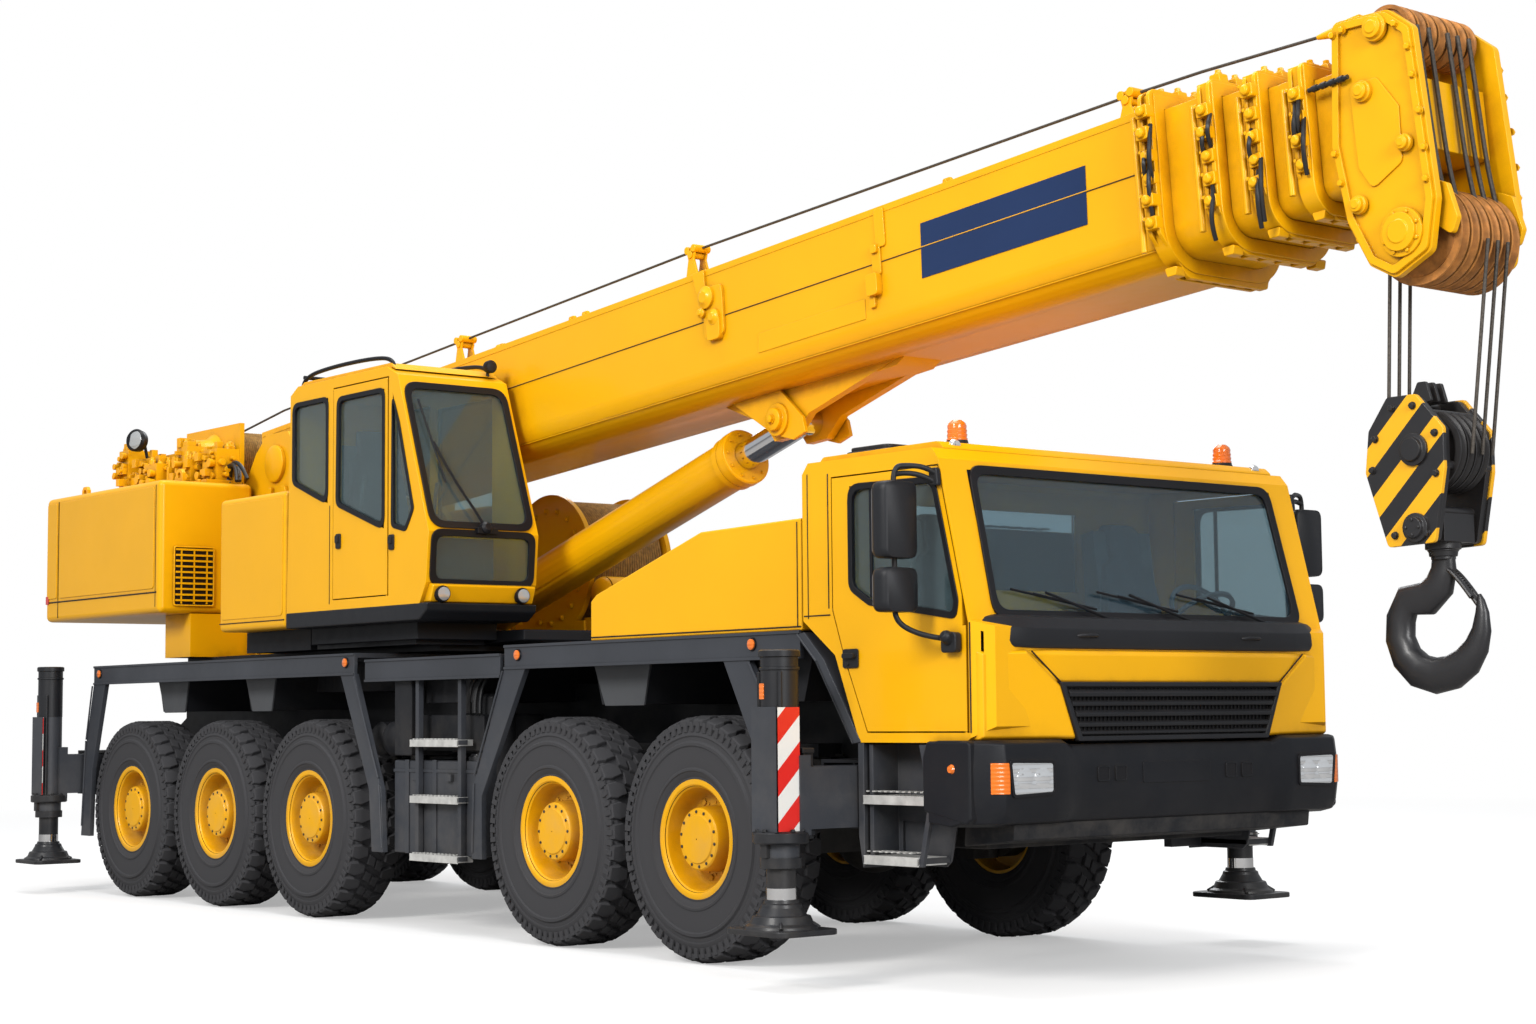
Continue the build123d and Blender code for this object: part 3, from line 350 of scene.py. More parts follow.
SHEAVE = Finish(
    "greased_sheave", "cast_iron", (0.42, 0.17, 0.035), 0.55, metal=0.2, spread=0.35, patch=18.0, relief=0.3
)
IRON = Finish("cast_housing", "cast_iron", (0.022, 0.021, 0.02), 0.65, spread=0.25, relief=0.4, dust=0.2)
SIGN = Finish(
    "blank_sign_blue", "dark_paint", (0.012, 0.03, 0.095), 0.35, coat=0.1, spread=0.05, crevice_shade_amount=0.0,
    specular=0.2
)
RED = Finish("red_reflector", "lamp_lens", (0.62, 0.02, 0.012), 0.25, coat=0.6, crevice_shade_amount=0.0)
ORANGE = Lamp("orange_lens", "lamp_lens", (0.8, 0.17, 0.006), 0.2)
CLEAR = Lamp("clear_lens", "lamp_lens", (0.8, 0.82, 0.84), 0.12, metal=0.75, ribs=160.0)
DARK_LENS = Lamp("work_lamp_lens", "lamp_lens", (0.55, 0.57, 0.58), 0.15, metal=0.6, ribs=90.0)
HAZARD = Striped(
    "red_white_plate", "dark_paint", (0.7, 0.02, 0.015), 0.35, coat=0.2, second=(0.78, 0.78, 0.76), crevice_shade_amount=0.2,
    band=Band.FALLING_RIGHT, pitch=0.155, offset=0.3,
)
HAZARD_LEFT = replace(HAZARD, name="red_white_plate_left", band=Band.FALLING_LEFT)
WARNING = Striped(
    "yellow_black_plate", "black_steel", (0.84, 0.415, 0.0015), 0.38, coat=0.2, second=(0.01, 0.01, 0.012),
    crevice_shade_amount=0.3, band=Band.FALLING, pitch=0.185, offset=0.1,
)


# ---------------------------------------------------------------- shapes
def place(x: float, y: float, z: float) -> Vector:
    """A point given in millimetres from the front axle, in the model's metres."""
    return Vector(((FRONT_AXLE + x) / 1000, y / 1000, z / 1000))


def rect(across: Flat, up: Flat) -> list[Flat]:
    """The corners of a rectangle, from its low left one round by its low right one."""
    (left, right), (low, high) = across, up
    return [(left, low), (right, low), (right, high), (left, high)]


def span(one: float, other: float) -> Flat:
    """Two ordinates, the lower one first."""
    return (min(one, other), max(one, other))


def boom_point(along: float, y: float, up: float) -> Point:
    """A point given along and up from the boom's pivot, counted from the front axle at rest."""
    cosine, sine = math.cos(BOOM_ANGLE), math.sin(BOOM_ANGLE)
    return (PIVOT[0] + along * cosine - up * sine, y, PIVOT[1] + along * sine + up * cosine)


def grown(outline: Sequence[Flat], amount: float) -> list[Flat]:
    """An outline moved outwards all round.

    Args:
        outline: the corners in order.
        amount: how far out, negative for inwards.

    Returns:
        The moved corners.
    """
    count = len(outline)
    area = sum(
        outline[i][0] * outline[(i + 1) % count][1] - outline[(i + 1) % count][0] * outline[i][1]
        for i in range(count)
    )
    sign = 1 if area > 0 else -1
    moved = []
    for i, corner in enumerate(outline):
        here = Vector(corner)
        before = (here - Vector(outline[i - 1])).normalized()
        after = (Vector(outline[(i + 1) % count]) - here).normalized()
        out_a = Vector((before.y, -before.x)) * sign
        out_b = Vector((after.y, -after.x)) * sign
        middle = (out_a + out_b)
        middle = middle / max(0.3, 1 + out_a.dot(out_b))
        moved.append(tuple(here + middle * amount))
    return moved


def rounded(outline: Sequence[Flat], radius: float, steps: int = 5) -> list[Flat]:
    """An outline with its corners rounded.

    Args:
        outline: the corners in order.
        radius: the corner's radius, cut down where a side is short.
        steps: how many pieces make up each round.

    Returns:
        The rounded outline's points.
    """
    points: list[Flat] = []
    count = len(outline)
    for i, corner in enumerate(outline):
        here = Vector(corner)
        to_last, to_next = Vector(outline[i - 1]) - here, Vector(outline[(i + 1) % count]) - here
        turn = math.pi - to_last.angle(to_next)
        reach = radius * math.tan(turn / 2)
        reach = min(reach, to_last.length * 0.48, to_next.length * 0.48)
        start, end = here + to_last.normalized() * reach, here + to_next.normalized() * reach
        for step in range(steps + 1):
            share = step / steps
            points.append(tuple(start * (1 - share) ** 2 + here * 2 * share * (1 - share) + end * share ** 2))
    return points


class View(Enum):
    """The flat view that an outline is drawn in, and the way it is made thick."""

    SIDE = "side"
    FRONT = "front"
    TOP = "top"
    BOOM = "boom"


def lifted(view: View, flat: Flat, depth: float) -> Vector:
    """A point of an outline at a depth, in the model's metres."""
    if view is View.SIDE:
        return place(flat[0], depth, flat[1])
    if view is View.FRONT:
        return place(depth, flat[0], flat[1])
    if view is View.TOP:
        return place(flat[0], flat[1], depth)
    return place(*boom_point(flat[0], depth, flat[1]))


class Form:
    """A mesh in the making, drawn in millimetres from the front axle."""

    def __init__(self) -> None:
        """Start with nothing."""
        self.mesh = bmesh.new()

    def prism(self, outline: Sequence[Flat], low: float, high: float, view: View = View.SIDE) -> "Form":
        """An outline made thick.

        Args:
            outline: its corners in the view's own two directions.
            low: where it starts, in the view's depth.
            high: where it ends.
            view: the view it is drawn in.

        Returns:
            The form itself.
        """
        rings = [[self.mesh.verts.new(lifted(view, p, depth)) for p in outline] for depth in (low, high)]
        self.mesh.faces.new(rings[0])
        self.mesh.faces.new(list(reversed(rings[1])))
        count = len(outline)
        for i in range(count):
            j = (i + 1) % count
            self.mesh.faces.new((rings[0][j], rings[0][i], rings[1][i], rings[1][j]))
        return self

    def ring(
        self, outer: Sequence[Flat], inner: Sequence[Flat], low: float, high: float, view: View = View.SIDE,
    ) -> "Form":
        """A closed band between two outlines of as many points, such as a seal or a frame."""
        count = len(outer)
        rows = [
            [self.mesh.verts.new(lifted(view, p, depth)) for p in outline]
            for outline, depth in ((outer, low), (outer, high), (inner, high), (inner, low))
        ]
        for row in range(4):
            for i in range(count):
                j, above = (i + 1) % count, (row + 1) % 4
                self.mesh.faces.new((rows[row][i], rows[row][j], rows[above][j], rows[above][i]))
        return self

    def box(self, x: Flat, y: Flat, z: Flat, view: View = View.SIDE) -> "Form":
        """A block between two places in each direction."""
        return self.prism(rect((x[0], x[1]), (z[0], z[1])), y[0], y[1], view)

    def bar(
        self, start: Point, end: Point, radius: float, far: float | None = None, sides: int = 24,
        hole: float = 0,
    ) -> "Form":
        """A round bar, cone or tube between two points.

        Args:
            start: its first end.
            end: its second end.
            radius: its radius at the start.
            far: its radius at the end, if that differs.
            sides: how many flats make it round.
            hole: the radius of the bore through it, 0 for none.

        Returns:
            The form itself.
        """
        far = radius if far is None else far
        profile = [(0, radius), (1, far)] if not hole else [(0, hole), (0, radius), (1, far), (1, hole)]
        return self.turned(start, end, profile, sides, closed=not hole)

    def turned(
        self, start: Point, end: Point, profile: Sequence[Flat], sides: int = 32, closed: bool = True,
    ) -> "Form":
        """A profile turned round a line: each point is a share of the line's length, and a radius."""
        a, b = place(*start), place(*end)
        line = b - a
        side = line.orthogonal().normalized()
        other = line.normalized().cross(side)
        rings = []
        for share, radius in profile:
            rings.append([
                self.mesh.verts.new(
                    a + line * share
                    + (side * math.cos(t) + other * math.sin(t)) * max(radius, 0.05) / 1000
                )
                for t in (2 * math.pi * k / sides for k in range(sides))
            ])
        pairs = list(zip(rings, rings[1:])) + ([] if closed else [(rings[-1], rings[0])])
        for low, high in pairs:
            for k in range(sides):
                j = (k + 1) % sides
                self.mesh.faces.new((low[k], low[j], high[j], high[k]))
        if closed:
            self.mesh.faces.new(list(reversed(rings[0])))
            self.mesh.faces.new(rings[-1])
        return self

    def loft(self, sections: Sequence[Sequence[Point]], closed: bool = True) -> "Form":
        """A skin over cross sections of as many points each, with its two ends shut."""
        rows = [[self.mesh.verts.new(place(*p)) for p in section] for section in sections]
        count = len(rows[0])
        for low, high in zip(rows, rows[1:]):
            for k in range(count):
                j = (k + 1) % count
                self.mesh.faces.new((low[k], low[j], high[j], high[k]))
        if closed:
            self.mesh.faces.new(list(reversed(rows[0])))
            self.mesh.faces.new(rows[-1])
        return self

    def ball(self, middle: Point, radius: float, flatten: float = 1.0) -> "Form":
        """A ball, or a dome squeezed in height."""
        matrix = Matrix.Translation(place(*middle)) @ Matrix.Diagonal((1, 1, flatten, 1))
        bmesh.ops.create_uvsphere(
            self.mesh, u_segments=20, v_segments=12, radius=radius / 1000, matrix=matrix
        )
        return self

    def node(self, *names: str) -> "Form":
        """A merged copy of CAD nodes, its flat faces made whole, so that its edges can be eased."""
        for name in names:
            copy = bmesh.new()
            copy.from_mesh(frame["nodes"][name].data)
            bmesh.ops.remove_doubles(copy, verts=copy.verts, dist=0.00002)
            bmesh.ops.dissolve_limit(copy, angle_limit=math.radians(0.6), verts=copy.verts, edges=copy.edges)
            mesh = bpy.data.meshes.new("copy")
            copy.to_mesh(mesh)
            copy.free()
            self.add(mesh)
        return self

    def part_below(self, height: float) -> "Form":
        """Take away the faces that lie wholly below a height, and hand them back as their own form."""
        level = height / 1000
        low = Form()
        low.mesh = self.mesh.copy()
        for mesh, under in ((self.mesh, True), (low.mesh, False)):
            faces = [f for f in mesh.faces if (max(v.co.z for v in f.verts) < level) is under]
            bmesh.ops.delete(mesh, geom=faces, context="FACES")
        return low

    def add(self, mesh: bpy.types.Mesh) -> "Form":
        """Take in a finished mesh, which is then dropped."""
        self.mesh.from_mesh(mesh)
        bpy.data.meshes.remove(mesh)
        return self

    def mirror(self) -> "Form":
        """Add the same shapes on the other side of the crane."""
        copy = bmesh.ops.duplicate(
            self.mesh, geom=self.mesh.verts[:] + self.mesh.edges[:] + self.mesh.faces[:]
        )
        verts = [g for g in copy["geom"] if isinstance(g, bmesh.types.BMVert)]
        faces = [g for g in copy["geom"] if isinstance(g, bmesh.types.BMFace)]
        for vert in verts:
            vert.co.y = -vert.co.y
        bmesh.ops.reverse_faces(self.mesh, faces=faces)
        return self

    def moved(self, matrix: Matrix) -> "Form":
        """A copy of the form, moved and turned."""
        copy = Form()
        copy.mesh = self.mesh.copy()
        copy.mesh.transform(matrix)
        return copy

    def done(self, name: str, outwards: bool = True) -> bpy.types.Mesh:
        """The finished mesh, its faces pointing out."""
        if outwards:
            bmesh.ops.recalc_face_normals(self.mesh, faces=self.mesh.faces)
        mesh = bpy.data.meshes.new(name)
        self.mesh.to_mesh(mesh)
        self.mesh.free()
        return mesh


def piece(
    name: str, shape: Form | bpy.types.Mesh, finish: Finish, body: str, replaces: Sequence[str] = (),
    ease: float = 0.0, smooth: float = 35.0, steps: int = 2,
) -> bpy.types.Object:
    """Make a form one piece of the dressed crane.

    Args:
        name: the piece's name.
        shape: its form, or a mesh made elsewhere.
        finish: its surface.
        body: the moving body that carries it.
        replaces: the CAD nodes it stands for.
        ease: how far its sharp edges are rounded, in millimetres.
        smooth: the angle under which faces run on smoothly, in degrees.
        steps: how many faces round each eased edge.

    Returns:
        The new object.
    """
    mesh = shape.done(name) if isinstance(shape, Form) else shape
    mesh.name = name
    mesh.materials.clear()
    mesh.materials.append(finish.material())
    mesh.shade_smooth()
    mesh.set_sharp_from_angle(angle=math.radians(smooth))
    thing = bpy.data.objects.new(name, mesh)
    bpy.context.scene.collection.objects.link(thing)
    if ease:
        edge = thing.modifiers.new("eased edges", "BEVEL")
        edge.width = ease / 1000
        edge.segments = steps
        edge.limit_method = "ANGLE"
        edge.angle_limit = math.radians(32)
        edge.harden_normals = True
        edge.use_clamp_overlap = True
    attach(thing, body)
    if replaces:
        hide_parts(*replaces)
    LOG.info("%s on %s: %d faces", name, body, len(mesh.polygons))
    return thing


def dress(finish: Finish, *nodes: str) -> None:
    """Give CAD nodes that stay a finish."""
    for name in nodes:
        node = frame["nodes"][name]
        node.data.materials.clear()
        node.data.materials.append(finish.material())
        node.data.shade_smooth()
        node.data.set_sharp_from_angle(angle=math.radians(35))


# ---------------------------------------------------------------- geometry nodes
class Tree:
    """A Geometry Nodes tree with named inputs for its sizes."""

    def __init__(self, name: str, **inputs: str) -> None:
        """Start the tree.

        Args:
            name: the tree's name.
            inputs: the kind of socket of each named input.
        """
        self.tree = bpy.data.node_groups.new(name, "GeometryNodeTree")
        self.tree.interface.new_socket("Geometry", in_out="INPUT", socket_type="NodeSocketGeometry")
        self.ids: dict[str, str] = {}
        for label, kind in {**inputs, "Finish": "Material"}.items():
            item = self.tree.interface.new_socket(label, in_out="INPUT", socket_type=f"NodeSocket{kind}")
            self.ids[label] = item.identifier
        self.tree.interface.new_socket("Geometry", in_out="OUTPUT", socket_type="NodeSocketGeometry")
        self.start = self.tree.nodes.new("NodeGroupInput")
        self.end = self.tree.nodes.new("NodeGroupOutput")

    def add(self, kind: str, settings: dict | None = None, **inputs: object) -> bpy.types.Node:
        """Add a node, set its options, and set or link its inputs by name or by number (in0, in1)."""
        node = self.tree.nodes.new(kind)
        for key, value in (settings or {}).items():
            setattr(node, key, value)
        for key, value in inputs.items():
            index = key[2:] if key.startswith("in") and key[2:].isdigit() else None
            socket = node.inputs[int(index)] if index else node.inputs[key.replace("_", " ")]
            if isinstance(value, bpy.types.NodeSocket):
                self.tree.links.new(value, socket)
            else:
                socket.default_value = value
        return node

    def given(self, label: str) -> bpy.types.NodeSocket:
        """One of the tree's own inputs."""
        return self.start.outputs[label]

    def close(self, geometry: bpy.types.NodeSocket) -> "Tree":
        """End the tree in realized instances with their finish set."""
        real = self.add("GeometryNodeRealizeInstances", Geometry=geometry)
        dyed = self.add("GeometryNodeSetMaterial", Geometry=real.outputs[0], Material=self.given("Finish"))
        self.tree.links.new(dyed.outputs[0], self.end.inputs[0])
        return self

    def run(self, carrier: bpy.types.ID, finish: Finish, **values: object) -> bpy.types.Mesh:
        """The mesh that the tree makes of a carrier mesh or curve.

        Args:
            carrier: the mesh or curve data it starts from.
            finish: the finish its result takes.
            values: the named inputs' values.

        Returns:
            A plain mesh.
        """
        thing = bpy.data.objects.new("carrier", carrier)
        bpy.context.scene.collection.objects.link(thing)
        grow = thing.modifiers.new(self.tree.name, "NODES")
        grow.node_group = self.tree
        for label, value in {**values, "Finish": finish.material()}.items():
            grow[self.ids[label]] = value
        thing.update_tag()
        bpy.context.view_layer.update()
        made = thing.evaluated_get(bpy.context.evaluated_depsgraph_get())
        mesh = bpy.data.meshes.new_from_object(made)
        thing.modifiers.remove(grow)
        bpy.data.objects.remove(thing)
        return mesh


def repeat_tree() -> Tree:
    """A tree that sets one part on every point, aimed and sized by the points' own attributes."""
    tree = Tree("set a part on each point", Part="Object")
    part = tree.add("GeometryNodeObjectInfo", Object=tree.given("Part"))
    aim = tree.add("GeometryNodeInputNamedAttribute", {"data_type": "FLOAT_VECTOR"}, Name="aim")
    size = tree.add("GeometryNodeInputNamedAttribute", {"data_type": "FLOAT_VECTOR"}, Name="size")
    turn = tree.add("FunctionNodeAlignEulerToVector", {"axis": "Z"}, Vector=aim.outputs[0])
    copies = tree.add(
        "GeometryNodeInstanceOnPoints", Points=tree.given("Geometry"), Instance=part.outputs["Geometry"],
        Rotation=turn.outputs[0], Scale=size.outputs[0],
    )
    return tree.close(copies.outputs[0])


def path_tree() -> Tree:
    """A tree that runs a round section along every curve."""
    tree = Tree("round section along a path", Radius="Float", Sides="Int")
    section = tree.add(
        "GeometryNodeCurvePrimitiveCircle", Radius=tree.given("Radius"), Resolution=tree.given("Sides")
    )
    skin = tree.add("GeometryNodeCurveToMesh", in0=tree.given("Geometry"), in1=section.outputs[0])
    skin.inputs["Fill Caps"].default_value = True
    return tree.close(skin.outputs[0])


def row_tree() -> Tree:
    """A tree that sets blocks in an even row from the carrier's one point."""
    tree = Tree("even row of blocks", Count="Int", Start="Vector", Step="Vector", Size="Vector")
    line = tree.add(
        "GeometryNodeMeshLine", Count=tree.given("Count"), Start_Location=tree.given("Start"),
        Offset=tree.given("Step"),
    )
    block = tree.add("GeometryNodeMeshCube", Size=tree.given("Size"))
    copies = tree.add("GeometryNodeInstanceOnPoints", Points=line.outputs[0], Instance=block.outputs[0])
    return tree.close(copies.outputs[0])


def ring_tree() -> Tree:
    """A tree that sets one part round the Y axis, turned with its place."""
    tree = Tree("parts round an axle", Part="Object", Count="Int", Shift="Float")
    part = tree.add("GeometryNodeObjectInfo", Object=tree.given("Part"))
    count = tree.given("Count")
    points = tree.add("GeometryNodeMeshLine", Count=count, Offset=(0.0, 0.0, 0.0))
    index = tree.add("GeometryNodeInputIndex")
    share = tree.add("ShaderNodeMath", {"operation": "ADD"}, in0=index.outputs[0], in1=tree.given("Shift"))
    turn = tree.add("ShaderNodeMath", {"operation": "DIVIDE"}, in0=share.outputs[0], in1=count)
    angle = tree.add("ShaderNodeMath", {"operation": "MULTIPLY"}, in0=turn.outputs[0], in1=2 * math.pi)
    spin = tree.add("ShaderNodeCombineXYZ", Y=angle.outputs[0])
    copies = tree.add(
        "GeometryNodeInstanceOnPoints", Points=points.outputs[0], Instance=part.outputs["Geometry"],
        Rotation=spin.outputs[0],
    )
    return tree.close(copies.outputs[0])


REPEAT, PATH, ROW, RING = repeat_tree(), path_tree(), row_tree(), ring_tree()


def lone(name: str, shape: Form) -> bpy.types.Object:
    """A hidden object that a tree copies, at the origin."""
    thing = bpy.data.objects.new(name, shape.done(name))
    return thing


def unit_bolt() -> bpy.types.Object:
    """A hexagon bolt on its washer, one millimetre across and one high, pointing up."""
    shape = Form()
    for sides, profile in ((20, [(0.0, 0.62), (0.3, 0.62)]), (6, [(0.3, 0.5), (0.9, 0.5), (1.0, 0.4)])):
        rings = [
            [
                shape.mesh.verts.new(
                    (r * math.cos(2 * math.pi * k / sides), r * math.sin(2 * math.pi * k / sides), z)
                )
                for k in range(sides)
            ]
            for z, r in profile
        ]
        for low, high in zip(rings, rings[1:]):
            for k in range(sides):
                j = (k + 1) % sides
                shape.mesh.faces.new((low[k], low[j], high[j], high[k]))
        shape.mesh.faces.new(rings[-1])
        shape.mesh.faces.new(list(reversed(rings[0])))
    return lone("unit_bolt", shape)


BOLT = unit_bolt()


@dataclass
class Bolts:
    """Bolts gathered for one body and finish, set in place by the repeat tree."""

    places: list[tuple[Point, Point, float, float]] = field(default_factory=list)

    def at(self, point: Point, aim: Point, across: float, high: float | None = None) -> "Bolts":
        """One bolt: where it stands, which way it points, and its width and height."""
        self.places.append((point, aim, across, high or across * 0.55))
        return self

    def row(self, first: Point, last: Point, count: int, aim: Point, across: float) -> "Bolts":
        """An even row of bolts between two points, both included."""
        a, b = Vector(first), Vector(last)
        for k in range(count):
            self.at(tuple(a.lerp(b, k / max(1, count - 1))), aim, across)
        return self

    def circle(self, middle: Point, aim: Point, radius: float, count: int, across: float) -> "Bolts":
        """An even ring of bolts round an axis."""
        line = Vector(aim).normalized()
        side = line.orthogonal().normalized()
        other = line.cross(side)
        for k in range(count):
            t = 2 * math.pi * (k + 0.5) / count
            self.at(tuple(Vector(middle) + (side * math.cos(t) + other * math.sin(t)) * radius), aim, across)
        return self

    def mesh(self, finish: Finish) -> bpy.types.Mesh:
        """All the bolts as one mesh."""
        points = bpy.data.meshes.new("bolt places")
        points.from_pydata([place(*p) for p, _, _, _ in self.places], [], [])
        aims = points.attributes.new("aim", "FLOAT_VECTOR", "POINT")
        sizes = points.attributes.new("size", "FLOAT_VECTOR", "POINT")
        for k, (_, aim, across, high) in enumerate(self.places):
            aims.data[k].vector = Vector(aim).normalized()
            sizes.data[k].vector = (across / 1000, across / 1000, high / 1000)
        return REPEAT.run(points, finish, Part=BOLT)


def runs(paths: Iterable[Sequence[Point]], radius: float, finish: Finish, sides: int = 10, soft: bool = True):
    """Round bars or hoses along paths.

    Args:
        paths: each path's points.
        radius: the bar's radius.
        finish: its surface.
        sides: how many flats make it round.
        soft: True to bend smoothly through the points.

    Returns:
        One mesh of all of them.
    """
    curve = bpy.data.curves.new("paths", "CURVE")
    curve.dimensions = "3D"
    curve.resolution_u = 8
    for path in paths:
        line = curve.splines.new("NURBS" if soft and len(path) > 2 else "POLY")
        line.points.add(len(path) - 1)
        for spot, point in zip(line.points, path):
            spot.co = (*place(*point), 1.0)
        if line.type == "NURBS":
            line.use_endpoint_u = True
            line.order_u = 3
    return PATH.run(curve, finish, Radius=radius / 1000, Sides=sides)


def slats(count: int, start: Point, step: Point, size: Point, finish: Finish) -> bpy.types.Mesh:
    """An even row of blocks, each centred on its place."""
    one = bpy.data.meshes.new("row")
    one.from_pydata([(0, 0, 0)], [], [])
    return ROW.run(
        one, finish, Count=count, Start=tuple(place(*start)), Step=tuple(v / 1000 for v in step),
        Size=tuple(v / 1000 for v in size),
    )


def window(
    name: str, outline: Sequence[Flat], depth: Flat, body: str, radius: float = 60, band: float = 26,
    view: View = View.SIDE,
) -> None:
    """A black rubber seal round a window's opening, its corners rounded.

    Args:
        name: the seal's name.
        outline: the opening's corners.
        depth: where the seal starts and ends.
        body: the body that carries it.
        radius: the rounding of its corners.
        band: how wide the seal is.
        view: the view that the outline is drawn in.
    """
    outer = rounded(grown(outline, band * 0.35), radius + band * 0.5)
    inner = rounded(grown(outline, -band * 0.65), radius)
    piece(name, Form().ring(outer, inner, *depth, view), GASKET, body, ease=3)


# ---------------------------------------------------------------- wheels and axles
AXLES = (0.0, -1460.0, -4520.0, -5980.0, -7440.0)


@dataclass
class Wheels:
    """Ten wheels: a lugged tyre on a dished yellow rim with its stepped hub."""

    tyre_radius: float = 700.0
    half_width: float = 200.0
    rim_radius: float = 308.0
    middle: float = 1175.0
    lugs: int = 34

    def profile(self) -> list[Flat]:
        """The tyre's section: a place across it, outer side first, and a radius."""
        half, rim, top = self.half_width, self.rim_radius, self.tyre_radius
        return [
            (-half + 42, rim - 2), (-half + 30, rim + 14), (-half + 22, rim + 34), (-half + 24, rim + 44),
            (-half + 12, rim + 62), (-half + 8, rim + 74), (-half + 1, rim + 80), (-half + 2, rim + 92),
            (-half + 7, rim + 98), (-half + 3, rim + 150), (-half + 3, rim + 214), (-half - 4, rim + 222),
            (-half - 4, rim + 238), (-half + 9, rim + 248), (-half + 12, rim + 270), (-half + 6, rim + 278),
            (-half + 8, rim + 290), (-half + 15, rim + 304), (-half + 26, top - 46),
            (-half + 46, top - 32), (-half + 90, top - 27), (0, top - 25),
        ]

    def tyre(self) -> Form:
        """The tyre's carcass about the Y axis at the model's origin, outer side towards -Y."""
        half = self.profile()
        full = half + [(-y, r) for y, r in reversed(half[:-1])]
        shape = Form()
        sides = 96
        rings = []
        for y, radius in full:
            rings.append([
                shape.mesh.verts.new((
                    radius * math.sin(2 * math.pi * k / sides) / 1000, y / 1000,
                    radius * math.cos(2 * math.pi * k / sides) / 1000,
                ))
                for k in range(sides)
            ])
        for low, high in zip(rings, rings[1:] + rings[:1]):
            for k in range(sides):
                j = (k + 1) % sides
                shape.mesh.faces.new((low[k], low[j], high[j], high[k]))
        return shape

    def lug(self, outline: Sequence[Flat], low: float, high: float, drop: float = 0.0) -> bpy.types.Object:
        """One tread block at the top of the tyre.

        Args:
            outline: its corners along the tread and across it.
            low: the radius of its foot.
            high: the radius of its top.
            drop: how far its outer edge falls away.

        Returns:
            The hidden block that the ring tree copies.
        """
        shape = Form()
        edge = max(abs(y) for _, y in outline)
        rows = []
        for radius, scale in ((low, 1.12), (high - 4, 1.0), (high, 0.9)):
            middle_x = sum(x for x, _ in outline) / len(outline)
            middle_y = sum(y for _, y in outline) / len(outline)
            row = []
            for x, y in outline:
                x2, y2 = middle_x + (x - middle_x) * scale, middle_y + (y - middle_y) * min(scale, 1.04)
                fall = drop * max(0.0, abs(y2) / edge - 0.72) / 0.28
                r = radius - fall
                row.append(shape.mesh.verts.new((x2 / 1000, y2 / 1000, math.sqrt(r * r - x2 * x2) / 1000)))
            rows.append(row)
        count = len(outline)
        for a, b in zip(rows, rows[1:]):
            for k in range(count):
                j = (k + 1) % count
                shape.mesh.faces.new((a[k], a[j], b[j], b[k]))
        shape.mesh.faces.new(rows[-1])
        shape.mesh.faces.new(list(reversed(rows[0])))
        return lone("tread block", shape)

    def tread(self) -> bpy.types.Mesh:
        """All the tread blocks of one tyre at the model's origin."""
        pitch = 2 * math.pi * self.tyre_radius / self.lugs
        half, top = self.half_width, self.tyre_radius
        wide = pitch * 0.36
        shoulder = [
            (-wide, -half + 13), (wide * 0.75, -half + 13), (wide, -half + 60), (wide * 0.55, -68),
            (-wide * 0.7, -76),
            (-wide * 1.2, -half + 66),
        ]
        blocks = [
            (shoulder, 0.0, 22), ([(-x, -y) for x, y in shoulder], 0.35, 22),
            ([(-wide * 1.1, -58), (wide * 0.5, -64), (wide * 1.05, -8), (-wide * 0.4, -4)], 0.5, 0),
            ([(wide * 1.1, 58), (-wide * 0.5, 64), (-wide * 1.05, 8), (wide * 0.4, 4)], 0.85, 0),
        ]
        whole = Form()
        spot = bpy.data.meshes.new("axle")
        spot.from_pydata([(0, 0, 0)], [], [])
        for outline, shift, drop in blocks:
            block = self.lug(outline, top - 34, top - 1, drop)
            whole.add(RING.run(spot.copy(), TYRE, Part=block, Count=self.lugs, Shift=shift))
        rib = [(-18, -half + 16), (18, -half + 16), (14, -half + 6), (-14, -half + 6)]
        for side in (-1, 1):
            shape = Form()
            outline = [(x, -y * side * -1) for x, y in rib]
            low, high = [
                [shape.mesh.verts.new((x / 1000, y / 1000, r / 1000)) for x, y in outline]
                for r in (top - 92, top - 36)
            ]
            for k in range(4):
                j = (k + 1) % 4
                shape.mesh.faces.new((low[k], low[j], high[j], high[k]))
            shape.mesh.faces.new(high)
            shape.mesh.faces.new(list(reversed(low)))
            whole.add(
                RING.run(spot.copy(), TYRE, Part=lone("shoulder rib", shape), Count=self.lugs * 2, Shift=0.0)
            )
        bpy.data.meshes.remove(spot)
        return whole.done("tread", outwards=False)

    def rim(self) -> Form:
        """The rim's dished outer face, its lock ring and the stepped hub, about the Y axis."""
        shape = Form()
        half, radius = self.half_width, self.rim_radius
        section = [
            (-half + 30, radius - 6), (-half + 22, radius + 2), (-half + 20, radius + 22),
            (-half + 24, radius + 34),
            (-half + 34, radius + 36), (-half + 44, radius + 4),
        ]
        face = [
            (-half + 34, radius - 8), (-half + 44, radius - 16), (-half + 84, radius - 20),
            (-half + 104, radius - 26),
            (-half + 138, radius - 34), (-half + 164, radius - 48), (-half + 178, radius - 66),
            (-half + 182, 214),
            (-half + 174, 190), (-half + 120, 186), (-half + 66, 180), (-half + 48, 176), (-half + 40, 168),
            (-half + 38, 142), (-half + 30, 135), (-half + 28, 4), (-half + 190, 4),
            (-half + 190, radius - 12),
        ]
        for profile in (section, face):
            start = (-FRONT_AXLE, 0.0, 0.0)
            end = (-FRONT_AXLE, 1000.0, 0.0)
            shape.turned(start, end, [(y / 1000, r) for y, r in profile], 72, closed=False)
        return shape

